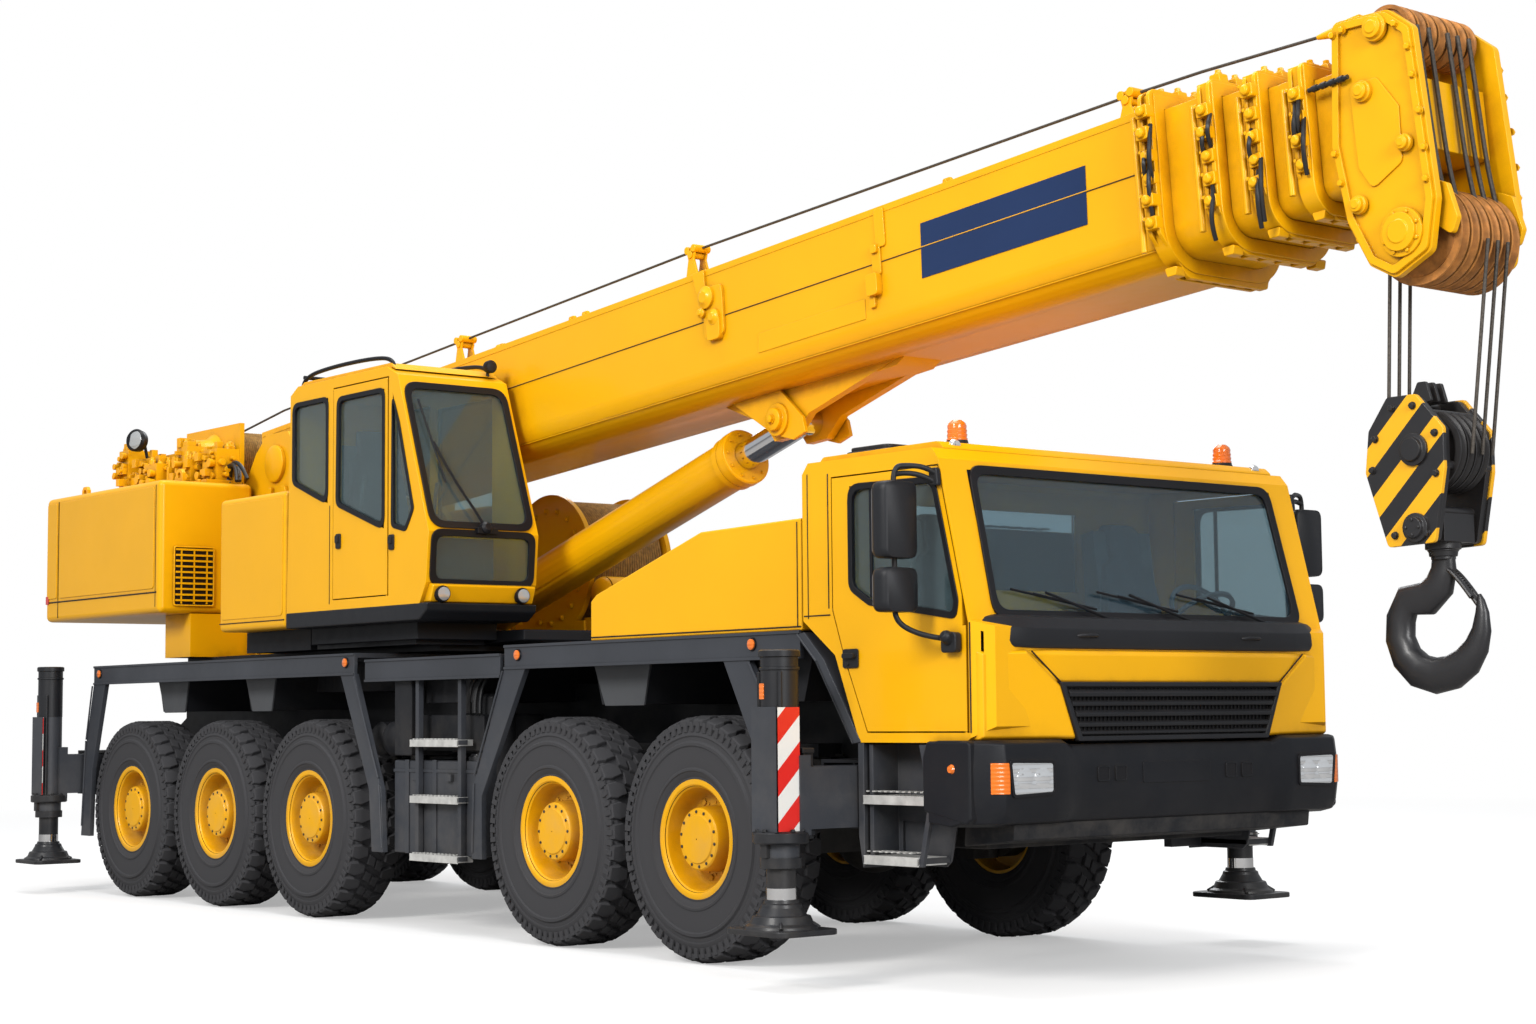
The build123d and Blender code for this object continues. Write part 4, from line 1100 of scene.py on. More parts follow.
    def bolts(self) -> Bolts:
        """The wheel nuts in the dish's bottom, on the outer side."""
        half = self.half_width
        x = -FRONT_AXLE
        group = Bolts()
        group.circle((x, -half + 178, 0), (0, -1, 0), 226, 10, 36)
        group.circle((x, -half + 172, 0), (0, -1, 0), 204, 20, 16)
        return group

    def plugs(self) -> Form:
        """Dark discs round the hub's flat disc: painted shade standing for the hub's holes."""
        shape = Form()
        face = 38 - self.half_width
        for k in range(14):
            t = 2 * math.pi * k / 14
            spot = (155 * math.cos(t) - FRONT_AXLE, 155 * math.sin(t))
            shape.turned(
                (spot[0], face + 4, spot[1]), (spot[0], face - 4, spot[1]), [(0, 9), (0.8, 9), (1, 6)], 10
            )
        return shape

    def build(self) -> None:
        """Set a dressed copy on every wheel's place."""
        carcass, tread = self.tyre().done("carcass"), self.tread()
        rim = self.rim().done("rim")
        studs = self.bolts().mesh(RIM_YELLOW)
        # The plugs are dark discs: painted shade standing for the hub's holes.
        plugs = self.plugs().done("plugs")
        rng = random.Random(11)
        for number, x in enumerate(AXLES, start=1):
            for side in (-1, 1):
                name = f"wheel_{number}_{'right' if side < 0 else 'left'}"
                hub = place(x, side * self.middle, self.tyre_radius)
                turn = Matrix.Rotation(0.0 if side < 0 else math.pi, 4, "Z")
                spin = Matrix.Rotation(rng.uniform(0, 6.28), 4, "Y")
                rubber = Form()
                rubber.mesh.from_mesh(carcass)
                rubber.mesh.from_mesh(tread)
                rubber = rubber.moved(Matrix.Translation(hub) @ turn @ spin)
                piece(
                    f"tyre_{number}_{name[8:]}", rubber.done(name, outwards=False), TYRE, name, [name],
                    smooth=28
                )
                metal = Form()
                metal.mesh.from_mesh(rim)
                metal.mesh.from_mesh(studs)
                metal = metal.moved(Matrix.Translation(hub) @ turn @ spin)
                back = Form().turned(
                    (x, side * (self.middle - 150), 700), (x, side * (self.middle + 30), 700),
                    [(0, 286), (0, 344), (0.06, 344), (0.1, 300), (1, 290), (1, 40), (0.72, 40), (0.72, 270)],
                    48,
                    closed=False,
                )
                metal.mesh.from_mesh(back.done("back"))
                piece(
                    f"rim_{number}_{name[8:]}", metal.done(name, outwards=False), RIM_YELLOW, name, smooth=32
                )
                # Painted shade: the dark discs in the hub's holes, turned with the wheel.
                hole_shade = Form()
                hole_shade.mesh.from_mesh(plugs)
                hole_shade = hole_shade.moved(Matrix.Translation(hub) @ turn @ spin)
                piece(f"hub_screws_{number}_{name[8:]}", hole_shade.done(name, outwards=False), IRON, name)
        for mesh in (carcass, tread, rim, studs, plugs):
            bpy.data.meshes.remove(mesh)
        dress(IRON, "axle_beams", *[f"knuckle_{n}_{s}" for n in (1, 2) for s in ("right", "left")])


# ---------------------------------------------------------------- carrier
@dataclass(frozen=True)
class Jack:
    """One outrigger jack: its place, tube top and pad, and whether its striped plate wraps round."""

    x: float
    out: float
    top: float
    pad: float
    wraps: bool


@dataclass
class Chassis:
    """The carrier's frame, decks, legs, boxes, ladders and outriggers."""

    skirt: float = 150.0
    plate_z: Flat = (803.0, 1437.0)
    plate_face: float = 104.0
    plate_skin: float = 4.0
    guide_z: Flat = (760.0, 1228.0)
    guide_clips: tuple[float, ...] = (780.0, 1000.0, 1200.0)
    rod_radius: float = 78.5
    rod_shown: Flat = (150.0, 234.0)
    jacks: dict[str, Jack] = field(default_factory=lambda: {
        "front": Jack(1305, 1795, 1730, 278, True), "rear": Jack(-8500, 1600, 1850, 240, False),
    })
    cab_edge: tuple[Flat, ...] = ((1010.0, 1840.0), (1170.0, 1690.0), (1462.0, 1252.0))
    body: str = "carrier"

    def decks(self) -> None:
        """Deck plates with eased edges, weld lines, leg flanges, markers and hangers."""
        piece("decks", Form().node("deck_plates"), NAVY, self.body, ["deck_plates"], ease=5)
        lips = Form()
        for low, high, top in ((-8150, -3850, 1850), (-3700, -2000, 1800), (-1950, 970, 1850)):
            for side in (-1, 1):
                out = side * (HALF_WIDTH + 1)
                lips.box((low, high), span(out, out + side * 7), (top - 14, top + 3))
                lips.box((low, high), span(out, out + side * 7), (top - self.skirt, top - self.skirt + 16))
        for low, high in ((-8150, -8138), (-3862, -3850), (-1950, -1938), (958, 970)):
            lips.box((low, high), (-HALF_WIDTH, HALF_WIDTH), (1845, 1854))
        piece("deck_lips", lips, NAVY, self.body, ease=2)
        ribs = Form()
        for x, z, dx, dz in (
            (-8170, 1690, -110, -440), (-8285, 1240, -65, -700), (-3850, 1690, 340, -690),
            (-3500, 960, 40, -430),
            (-1965, 1690, -330, -660), (-2300, 980, -20, -440), (530, 1690, 230, -340), (765, 1340, 70, -350),
        ):
            for side in (-1, 1):
                y = side * (HALF_WIDTH + 4)
                ribs.bar((x, y, z), (x + dx, y, z + dz), 7, sides=8)
        piece("leg_flanges", ribs, NAVY, self.body)
        hangers = Form()
        for low, high in ((-7280, -6740), (-5780, -5300), (-1200, -620)):
            outline = [(low, 1716), (high, 1716), (high - 64, 1462), (low + 118, 1462)]
            for side in (-1, 1):
                hangers.prism(outline, *span(side * 1196, side * 1212))
        piece("deck_hangers", hangers, HANGER_GREY, self.body, ease=4)
        markers = Form()
        for x in (-8030, -3960, -1790, 560):
            for side in (-1, 1):
                y = side * (HALF_WIDTH + 6)
                markers.turned((x, y, 1788), (x, y + side * 14, 1788), [(0, 30), (0.7, 30), (1, 22)], 24)
        piece("side_markers", markers, ORANGE, self.body)
        bases = Form()
        for x in (-8030, -3960, -1790, 560):
            for side in (-1, 1):
                y = side * (HALF_WIDTH + 1)
                bases.turned((x, y, 1788), (x, y + side * 8, 1788), [(0, 38), (1, 36)], 24)
        piece("marker_bases", bases, GASKET, self.body)

    def frame(self) -> None:
        """The box frame, axle housings and what hangs between them."""
        piece("frame_rails", Form().node("chassis_frame"), FRAME_GREY, self.body, ["chassis_frame"], ease=6)
        dress(IRON, "axle_beams", "engine_block")
        shafts = Form()
        for a, b in ((-1250, -300), (-4300, -1680), (-5800, -4700), (-7260, -6150)):
            shafts.bar((a, 0, 760), (b, 0, 760), 60)
            for x in (a, b):
                shafts.turned(
                    (x - 40, 0, 760), (x + 40, 0, 760), [(0, 80), (0.3, 105), (0.7, 105), (1, 80)], 24
                )
        for x in AXLES:
            for side in (-1, 1):
                shafts.bar((x + 120, side * 250, 760), (x + 120, side * 820, 780), 26)
        piece("drive_shafts", shafts, IRON, self.body)
        lines = []
        for side in (-1, 1):
            for k, z in enumerate((1060, 1110, 1160)):
                y = side * (462 + 12 * k)
                lines.append(
                    [(-7900, y, z), (-6000, y, z + 8), (-4200, y, z - 5), (-1000, y, z), (300, y, z)]
                )
        piece("frame_hoses", runs(lines, 13, HOSE), HOSE, self.body)
        tanks = Form()
        for side in (-1, 1):
            for x in (-3800, -3640):
                tanks.turned(
                    (x, side * 700, 1260), (x, side * 1240, 1260),
                    [(0, 20), (0.04, 90), (0.1, 118), (0.9, 118), (0.96, 90), (1, 20)], 28,
                )
        piece("air_tanks", tanks, FRAME_GREY, self.body)

    def boxes(self) -> None:
        """The tool box and tank between the arches, with straps, hinges and a filler cap."""
        piece("storage", Form().node("storage_boxes"), NAVY, self.body, ["storage_boxes"], ease=14, steps=3)
        trim = Form()
        for side in (-1, 1):
            face = side * 1300
            for x in (-3250, -2900, -2570):
                trim.box((x - 24, x + 24), span(face, face + side * 8), (500, 1124))
            trim.box((-3430, -2390), span(face, face + side * 6), (1040, 1062))
            for x in (-3120, -2700):
                trim.box((x - 30, x + 30), span(face, face + side * 26), (985, 1032))
        trim.turned((-2560, -1180, 1118), (-2560, -1180, 1165), [(0, 62), (0.6, 62), (0.7, 52), (1, 48)], 28)
        piece("storage_trim", trim, NAVY, self.body, ease=4)
        top = Form()
        for side in (-1, 1):
            top.box((-3400, -2420), span(side * 760, side * 1230), (1180, 1420))
            top.box((-3380, -3160), span(side * 1240, side * 1330), (1150, 1740))
            top.turned(
                (-2500, side * 1080, 980), (-2500, side * 1080, 1560),
                [(0, 110), (0.05, 130), (0.95, 130), (1, 110)]
            )
        piece("valve_cases", top, FRAME_GREY, self.body, ease=12)
        pipes = []
        for side in (-1, 1):
            for k in range(5):
                y, x = side * (1255 + 14 * (k % 2)), -2420 - 38 * k
                pipes.append(
                    [
                        (x, y, 1430), (x - 10, y, 1560), (x + 30, y - side * 60, 1700),
                        (x + 60, y - side * 200, 1760)
                    ]
                )
        piece("valve_pipes", runs(pipes, 12, HOSE), HOSE, self.body)

    def ladders(self) -> None:
        """Two ladders with ribbed aluminium rungs, and the driver's steps."""
        piece(
            "ladder_frames", Form().node("ladders_and_steps"), NAVY, self.body, ["ladders_and_steps"], ease=4
        )
        treads = Form()
        for side in (-1, 1):
            out = HALF_WIDTH + 6
            for z in (490, 870, 1240):
                self.tread(treads, (-3095, -2495), side * (out - 120), side * out, z + 17)
            self.tread(treads, (1475, 1975), side * (out - 200), side * out, 977)
            self.tread(treads, (1475, 1895), side * (out - 200), side * out, 667)
        piece("alloy_treads", treads, ALLOY, self.body, ease=2)
        teeth = []
        for side in (-1, 1):
            for (low, high), z in (
                ((-3080, -2510), 512), ((-3080, -2510), 892), ((-3080, -2510), 1262), ((1490, 1960), 998),
                ((1490, 1880), 688),
            ):
                count = int((high - low) / 46)
                for row in (30, 85):
                    teeth.append(slats(
                        count, (low, side * (HALF_WIDTH - row), z), (46, 0, 0), (20, 30, 7), ALLOY,
                    ))
        whole = Form()
        for mesh in teeth:
            whole.add(mesh)
        piece("tread_teeth", whole, ALLOY, self.body)
        plates = Form()
        for side in (-1, 1):
            plates.prism(
                [
                    (1440, 1240), (1985, 1240), (1985, 940), (1905, 640), (1870, 612), (1490, 612),
                    (1490, 900), (1440, 980)
                ],
                *span(side * 1150, side * 1162),
            )
            plates.prism(
                [
                    (1900, 1240), (1995, 1240), (1995, 930), (1915, 620), (1885, 620), (1960, 930),
                    (1960, 1000)
                ],
                *span(side * (HALF_WIDTH - 30), side * (HALF_WIDTH - 4)),
            )
            plates.prism(
                [(1432, 1250), (1476, 1250), (1476, 612), (1462, 600), (1432, 760)],
                *span(side * 1155, side * (HALF_WIDTH - 2)),
            )
        piece("step_panels", plates, NAVY, self.body, ease=4)
        guards = Form()
        inner, outer = self.cab_edge, [(x - 62, z - 8) for x, z in self.cab_edge]
        for side in (-1, 1):
            guards.prism([*inner, *reversed(outer)], *span(side * 1180, side * (HALF_WIDTH + 4)))
            for (x0, z0), (x1, z1) in zip(outer, outer[1:]):
                y = side * (HALF_WIDTH + 2)
                guards.bar((x0, y, z0), (x1, y, z1), 8, sides=8)
        piece("mud_guards", guards, NAVY, self.body, ease=4)

    def tread(self, shape: Form, x: Flat, inner: float, outer: float, top: float) -> None:
        """One folded aluminium step: a flat top with a turned-down lip.

        Args:
            shape: the form it is added to.
            x: where it starts and ends.
            inner: its inner edge across the crane.
            outer: its outer edge.
            top: its upper face.
        """
        low, high = span(inner, outer)
        shape.box(x, (low, high), (top - 6, top + 1))
        side = 1 if outer > 0 else -1
        lip = span(outer, outer - side * 7)
        shape.box(x, (lip[0], lip[1]), (top - 46, top - 4))
        for end in x:
            inward = 7 if end == x[0] else -7
            shape.box(span(end, end + inward), (low, high), (top - 40, top - 4))

    def tube(self, beam: str, jack: Jack, side: int) -> None:
        """One outrigger's beam and jack tube with its rings, reflector and striped plate.

        Args:
            beam: the outrigger's node and body.
            jack: its sizes.
            side: -1 for the right, 1 for the left.
        """
        x, y, top = jack.x, side * jack.out, jack.top
        piece(f"{beam}_skin", Form().node(beam), NAVY, beam, [beam], ease=5)
        caps = Form()
        caps.turned((x, y, 1440), (x, y, top - 30), [(0, 96), (0, 99), (1, 99), (1, 96)], 40, closed=False)
        caps.turned((x, y, top - 36), (x, y, top + 4), [(0, 97), (0.1, 109), (0.85, 109), (1, 98)], 40)
        caps.turned((x, y, top - 104), (x, y, top - 84), [(0, 97), (0.2, 106), (0.8, 106), (1, 97)], 40)
        caps.turned((x, y, 738), (x, y, 802), [(0, 98), (0, 138), (0.12, 146), (0.85, 146), (1, 130)], 40)
        caps.turned((x, y, 614), (x, y, 668), [(0, 100), (0, 108), (1, 108), (1, 97)], 40)
        caps.box((x - 26, x + 26), span(y + side * 60, y + side * 118), (668, 740))
        caps.bar((x + 84, y + side * 66, 800), (x + 84, y + side * 66, 1620), 13, sides=10)
        caps.bar((x - 84, y + side * 66, 800), (x - 84, y + side * 66, 1620), 13, sides=10)
        piece(f"{beam}_cap", caps, JACK_BLACK, beam, ease=4)
        mark = Form().box((x - 40, x - 6), span(y + side * 90, y + side * 105), (1478, 1560))
        piece(f"{beam}_reflector", mark, ORANGE, beam, ease=3)
        bolts = Bolts().circle((x, y, 802), (0, 0, 1), 124, 10, 22)
        piece(f"{beam}_bolts", bolts.mesh(JACK_BLACK), JACK_BLACK, beam)
        plate = Form()
        face = self.plate_face
        back = face - self.plate_skin
        plate.box((x - 76, x + face), span(y + side * back, y + side * face), self.plate_z)
        if jack.wraps:
            plate.box((x + back, x + face), span(y - side * 46, y + side * face), self.plate_z)
        piece(f"{beam}_plate", plate, HAZARD if side < 0 else HAZARD_LEFT, beam)
        if jack.wraps:
            guide = Form()
            guide.box((x - 70, x + 88), span(y - side * 84, y - side * 150), self.guide_z)
            for z in self.guide_clips:
                guide.box((x + 84, x + 98), span(y - side * 70, y - side * 150), (z, z + 26))
            piece(f"{beam}_guide", guide, JACK_BLACK, beam, ease=4)

    def leg(self, leg: str, jack: Jack, side: int) -> None:
        """One jack's sliding leg with its short bright length and its stepped foot."""
        x, y, pad = jack.x, side * jack.out, jack.pad
        piece(f"{leg}_skin", Form().node(leg), JACK_BLACK, leg, [leg], ease=6)
        low, high = (pad + reach for reach in self.rod_shown)
        wall = [(0, 60), (0, self.rod_radius), (1, self.rod_radius), (1, 60)]
        bright = Form().turned((x, y, low), (x, y, high), wall, 40, closed=False)
        piece(f"{leg}_rod", bright, CHROME, leg)
        shoe = Form()
        shoe.turned(
            (x, y, pad + 26), (x, y, pad + 176),
            [(0, 196), (0.12, 190), (0.2, 166), (0.45, 150), (0.5, 118), (0.85, 104), (0.88, 92), (1, 88)],
            40,
        )
        for turn in range(4):
            a = math.pi / 4 + turn * math.pi / 2
            far = (x + 215 * math.cos(a), y + 180 * math.sin(a))
            near = (x + 90 * math.cos(a), y + 90 * math.sin(a))
            shoe.bar((*far, pad + 34), (*near, pad + 100), 12, 12, sides=8)
        piece(f"{leg}_shoe", shoe, JACK_BLACK, leg, ease=3)

    def outriggers(self) -> None:
        """Beams, jack tubes with their caps and hazard plates, legs and pads."""
        for end, jack in self.jacks.items():
            for side in (-1, 1):
                sided = "right" if side < 0 else "left"
                self.tube(f"outrigger_{end}_{sided}", jack, side)
                self.leg(f"jack_{end}_{sided}", jack, side)

    def build(self) -> None:
        """Dress the whole carrier below the cab and hood."""
        self.decks()
        self.frame()
        self.boxes()
        self.ladders()
        self.outriggers()


@dataclass
class DriverCab:
    """The driver's cab: eased shell, seals, wipers, mirrors, lamps, grille, bumper and seats."""

    body: str = "carrier"
    roof: float = 2750.0
    front: float = 2380.0

    def screen_point(self, y: float, z: float, proud: float = 0.0) -> Point:
        """A place on the windscreen's outer face at a height, and how far it stands off."""
        share = (z - 1858) / (2690 - 1858)
        return (2292 - 211 * share + proud, y, z)

    def shell(self) -> None:
        """The shell and the roof's rim, with the panel lines of its sides."""
        piece(
            "cab_skin", Form().node("drive_cab_shell"), YELLOW, self.body, ["drive_cab_shell"], ease=22,
            steps=4
        )
        roof = Form()
        roof.prism(rounded([(1035, 2746), (2045, 2746), (1990, 2792), (1080, 2786)], 30), -1290, 1290)
        piece("cab_roof", roof, YELLOW, self.body, ease=24, steps=4)
        hatch = Form()
        hatch.prism(rounded(rect((1060, 1420), (-1130, -670)), 60), 2780, 2822, View.TOP)
        hatch.prism(rounded(rect((1080, 1400), (-1110, -690)), 50), 2820, 2846, View.TOP)
        piece("roof_hatch", hatch, PLASTIC, self.body, ["carrier_lamps"], ease=10, steps=3)
        lines = Form()
        for side in (-1, 1):
            y = side * (HALF_WIDTH + 1)
            for a, b in (
                ((1010, 1925), (1225, 1925)), ((1215, 1960), (1215, 2680)), ((2292, 1300), (2292, 1850)),
            ):
                lines.bar((a[0], y, a[1]), (b[0], y, b[1]), 3.5, sides=8)
            lines.bar((1045, y, 1350 + 560), (1045, y, 2690), 3, sides=8)
        piece("cab_panel_lines", lines, GASKET, self.body)

    def panels(self) -> None:
        """The pressed front panel below the screen, its corner panels and the dark cowl."""
        cowl = []
        count = 18
        for k in range(count + 1):
            share = k / count
            y = -1290 + 2580 * share
            edge = max(0.0, (abs(y) - 1130) / 160)
            back = 80 * edge ** 2
            cowl.append([
                (2300 - back, y, 1893 + 8 * edge), (2352 - back, y, 1880), (2396 - back, y, 1822 + 12 * edge),
                (2402 - back, y, 1745 + 40 * edge), (2392 - back, y, 1722 + 46 * edge),
                (2320 - back, y, 1722 + 46 * edge),
            ])
        piece("screen_cowl", Form().loft(cowl), PLASTIC, self.body, ease=6, smooth=50)
        lid = []
        for k in range(count + 1):
            share = k / count
            y = -1065 + 2130 * share
            edge = max(0.0, (abs(y) - 860) / 205)
            back = 22 * edge ** 2
            lid.append([
                (2360 - back, y, 1718), (2400 - back, y, 1712), (2414 - back, y, 1690),
                (2410 - back, y, 1600),
                (2405 - back, y, 1556 + 30 * edge), (2396 - back, y, 1546 + 30 * edge),
                (2360 - back, y, 1546 + 30 * edge),
            ])
        piece("front_lid", Form().loft(lid), YELLOW, self.body, ease=8, smooth=50, steps=3)
        corners = Form()
        for side in (-1, 1):
            outline = [
                (side * y, z) for y, z in ((1352, 1706), (1090, 1712), (850, 1538), (742, 1262), (1352, 1262))
            ]
            rings = []
            for depth, inset in ((2330, 0), (2398, 0), (2412, 14)):
                ring = []
                for y, z in grown(outline, -inset):
                    fall = 95 * max(0.0, (abs(y) - 1180) / 190) ** 1.6
                    ring.append((depth - fall, y, z))
                rings.append(ring)
            corners.loft(rings)
        piece("grille_corners", corners, YELLOW, self.body, ease=9, smooth=50, steps=3)
        seams = Form()
        for side in (-1, 1):
            seams.bar((2409, side * 1060, 1706), (2409, side * 850, 1546), 4, sides=8)
        seams.bar((2412, -850, 1545), (2412, 850, 1545), 5, sides=8)
        piece("lid_seams", seams, GASKET, self.body)

    def grille(self) -> None:
        """The grille: a dark field, its frame and bowed slats."""
        back = Form().prism([(-850, 1535), (850, 1535), (735, 1262), (-735, 1262)], 2382, 2388, View.FRONT)
        piece("grille_field", back, GASKET, self.body, ["front_grille"])
        rim = Form().ring(
            [(-868, 1552), (868, 1552), (742, 1250), (-742, 1250)],
            [(-826, 1526), (826, 1526), (716, 1276), (-716, 1276)],
            2386, 2424, View.FRONT,
        )
        piece("grille_frame", rim, PLASTIC, self.body, ease=8, steps=3)
        bars = Form()
        for k, (z, high) in enumerate(((1496, 34), (1444, 26), (1392, 30), (1338, 26), (1295, 18))):
            reach = 716 + (z - 1276) * 0.42
            lean = 10 if k in (0, 2) else 0
            bars.loft([
                [(2392, y, z - high / 2), (2420 + lean, y, z - high / 2 - 3), (2426 + lean, y, z),
                 (2414, y, z + high / 2), (2392, y, z + high / 2)]
                for y in (-reach, -reach / 2, 0.0, reach / 2, reach)
            ])
        piece("grille_slats", bars, PLASTIC, self.body, ease=4)
        mesh = slats(54, (2392, -795, 1400), (0, 30, 0), (8, 4, 240), PLASTIC)
        piece("grille_mesh", mesh, PLASTIC, self.body)

    def glass(self) -> None:
        """Panes, seals, wipers and the windscreen's black border."""
        dress(GLASS, "drive_cab_glass")
        dress(DOOR_GLASS, "door_glass_right", "door_glass_left")
        outer, inner, band = [], [], []
        for y, z in rounded(rect((-1205, 1205), (1872, 2668)), 95, 8):
            outer.append((y, z))
        for y, z in rounded(rect((-1158, 1158), (1918, 2622)), 80, 8):
            inner.append((y, z))
        seal = Form()
        rows = []
        for outline, proud in ((outer, -12), (outer, 12), (inner, 7), (inner, -12)):
            rows.append(
                [
                    seal.mesh.verts.new(
                        place(*self.screen_point(y * (1.0 - 0.02 * (z - 1872) / 800), z, proud))
                    ) for y,
                    z in outline
                ]
            )
        for row in range(4):
            above = (row + 1) % 4
            for k in range(len(outer)):
                j = (k + 1) % len(outer)
                seal.mesh.faces.new((rows[row][k], rows[row][j], rows[above][j], rows[above][k]))
        piece("screen_seal", seal, GASKET, self.body, ease=3)
        arms, blades = [], Form()
        for foot, tip_y, tip_z in ((-880, -420, 2000), (-250, 190, 1996), (370, 800, 1990)):
            start = self.screen_point(foot + 560, 1852, 44)
            knee = self.screen_point(foot + 470, 1888, 36)
            end = self.screen_point(foot + 60, 2012, 26)
            arms.append([start, knee, end])
            a, b = self.screen_point(foot - 180, 2024, 17), self.screen_point(foot + 420, 1932, 17)
            blades.bar(a, b, 7, sides=8)
            blades.bar(
                self.screen_point(foot - 30, 2005, 26), self.screen_point(foot + 240, 1962, 26), 5, sides=8
            )
            blades.turned(start, (start[0] + 4, start[1], start[2] + 22), [(0, 22), (0.7, 22), (1, 12)], 20)
        piece("screen_wipers", runs(arms, 8, GASKET, 8), GASKET, self.body)
        piece("wiper_blades", blades, GASKET, self.body)
        grips = [
            [
                (2392, y - 70, 1786), (2428, y - 55, 1790), (2428, y + 55, 1790), (2392, y + 70, 1786)
            ] for y in (-640, 640)
        ]
        piece("cowl_grips", runs(grips, 9, PLASTIC, 10), PLASTIC, self.body)

    def doors(self) -> None:
        """Doors with their seals, handles, mirrors and arms, each riding on its own hinge."""
        opening = [(1390, 2600), (1390, 2060), (1540, 1975), (2190, 1880), (2205, 1960), (2045, 2590)]
        for side in (-1, 1):
            body = f"drive_door_{'right' if side < 0 else 'left'}"
            tag = "right" if side < 0 else "left"
            skin = Form().node(body)
            far = [v for v in skin.mesh.verts if abs(v.co.y) > (HALF_WIDTH + 6) / 1000]
            bmesh.ops.delete(skin.mesh, geom=far, context="VERTS")
            piece(f"door_skin_{tag}", skin, YELLOW, body, [body], ease=5)
            face = span(side * (HALF_WIDTH - 16), side * (HALF_WIDTH + 7))
            window(f"door_seal_{tag}", opening, tuple(face), body, 70, 34)
            bar = Form()
            bar.prism(
                rounded([(1536, 2010), (1556, 2004), (1556, 2588), (1536, 2590)], 6),
                *span(side * 1352, side * 1366),
            )
            piece(f"door_post_{tag}", bar, GASKET, body)
            y = side * (HALF_WIDTH + 1)
            grip = Form()
            grip.prism(rounded(rect((1330, 1452), (1640, 1740)), 14), *span(y, y + side * 9))
            grip.prism(rounded(rect((1350, 1440), (1690, 1716)), 10), *span(y + side * 8, y + side * 34))
            grip.turned((1372, y, 1662), (1372, y + side * 16, 1662), [(0, 13), (1, 12)], 20)
            piece(f"door_handle_{tag}", grip, PLASTIC, body, ease=3)
            self.mirrors(side, body, tag)

    def mirrors(self, side: int, body: str, tag: str) -> None:
        """Two mirror heads with rounded shells, glass and bent arms."""
        middle = side * 1605
        heads = Form()
        for low, high, x in ((2175, 2565, 1995), (1905, 2130, 1995)):
            rows = []
            for share, swell in ((0.0, 0.72), (0.12, 0.9), (0.35, 1.0), (0.7, 1.0), (0.9, 0.94), (1.0, 0.84)):
                depth = x - 62 + 124 * share
                half_y, half_z = 118 * swell, (high - low) / 2 * (0.9 + 0.1 * swell)
                z = (low + high) / 2
                outline = rounded(rect((middle - half_y, middle + half_y), (z - half_z, z + half_z)), 48, 5)
                rows.append([(depth, y, zz) for y, zz in outline])
            heads.loft(list(reversed(rows)))
        piece(f"mirror_heads_{tag}", heads, PLASTIC, body, smooth=60)
        plates = Form()
        for low, high in ((2195, 2545), (1925, 2110)):
            plates.prism(rounded( rect((middle - 92, middle + 92), (low, high)), 30 ), 1930, 1936, View.FRONT)
        piece(f"mirror_glass_{tag}", plates, CHROME, body)
        wall = side * (HALF_WIDTH + 4)
        arm = [
            [(2090, wall, 2600), (2070, side * 1440, 2640), (2020, side * 1530, 2650), (1995, middle, 2640),
             (1995, middle, 2560)],
            [(1995, middle, 2185), (1995, middle, 2120)],
            [(1995, middle, 1910), (2000, middle, 1860), (2060, side * 1530, 1800), (2150, side * 1430, 1770),
             (2190, wall, 1765)],
            [(2080, wall, 2560), (2055, side * 1450, 2600), (2000, side * 1545, 2615), (1995, middle, 2600)],
        ]
        piece(f"mirror_arms_{tag}", runs(arm, 14, PLASTIC, 12), PLASTIC, body)
        feet = Form()
        feet.prism(
            rounded([(2130, 1700), (2238, 1700), (2238, 1800), (2130, 1810)], 22),
            *span(wall, side * 1425)
        )
        feet.prism(
            rounded([(2050, 2555), (2110, 2545), (2100, 2640), (2040, 2640)], 12),
            *span(wall, side * 1410)
        )
        feet.turned((2185, side * 1400, 1760), (2185, side * 1462, 1792), [(0, 34), (0.7, 34), (1, 20)], 24)
        piece(f"mirror_feet_{tag}", feet, PLASTIC, body, ease=8, steps=3)

    def bumper(self) -> None:
        """The bumper with its recess, lamps, towing holes and blank plate."""
        rows = []
        count = 40
        for k in range(count + 1):
            y = -1425 + 2850 * k / count
            edge = max(0.0, (abs(y) - 1270) / 155)
            back = 150 * edge ** 1.8
            dip = 34 if abs(y) < 770 else 34 * max(0.0, 1 - (abs(y) - 770) / 60)
            tall = 1236 if abs(y) < 800 else 1262
            rows.append([
                (2020, y, 850), (2330 - back, y, 832), (2408 - back - dip, y, 850),
                (2432 - back - dip, y, 905),
                (2446 - back - dip, y, 990), (2446 - back - dip, y, 1140), (2432 - back - dip, y, tall - 18),
                (2400 - back - dip * 0.3, y, tall), (2240 - back, y, tall), (2020, y, tall - 20),
            ])
        shell = Form().loft(rows)
        piece("bumper_shell", shell, BUMPER, self.body, ["front_bumper"], ease=9, smooth=40, steps=3)
        sides = Form()
        for side in (-1, 1):
            sides.prism(
                rounded(
                    [(1985, 905), (2300, 845), (2330, 870), (2330, 1258), (2015, 1258), (1985, 1180)], 24
                ),
                *span(side * 1360, side * 1428),
            )
        piece("bumper_ends", sides, BUMPER, self.body, ease=14, steps=3)
        low = Form()
        low.prism([(1990, 720), (2350, 760), (2360, 845), (2000, 845)], -1150, 1150)
        low.box((1700, 2000), (-1000, 1000), (700, 840))
        piece("bumper_apron", low, FRAME_GREY, self.body, ease=8)
        holes = Form()
        for y in (-560, -430, 430, 560):
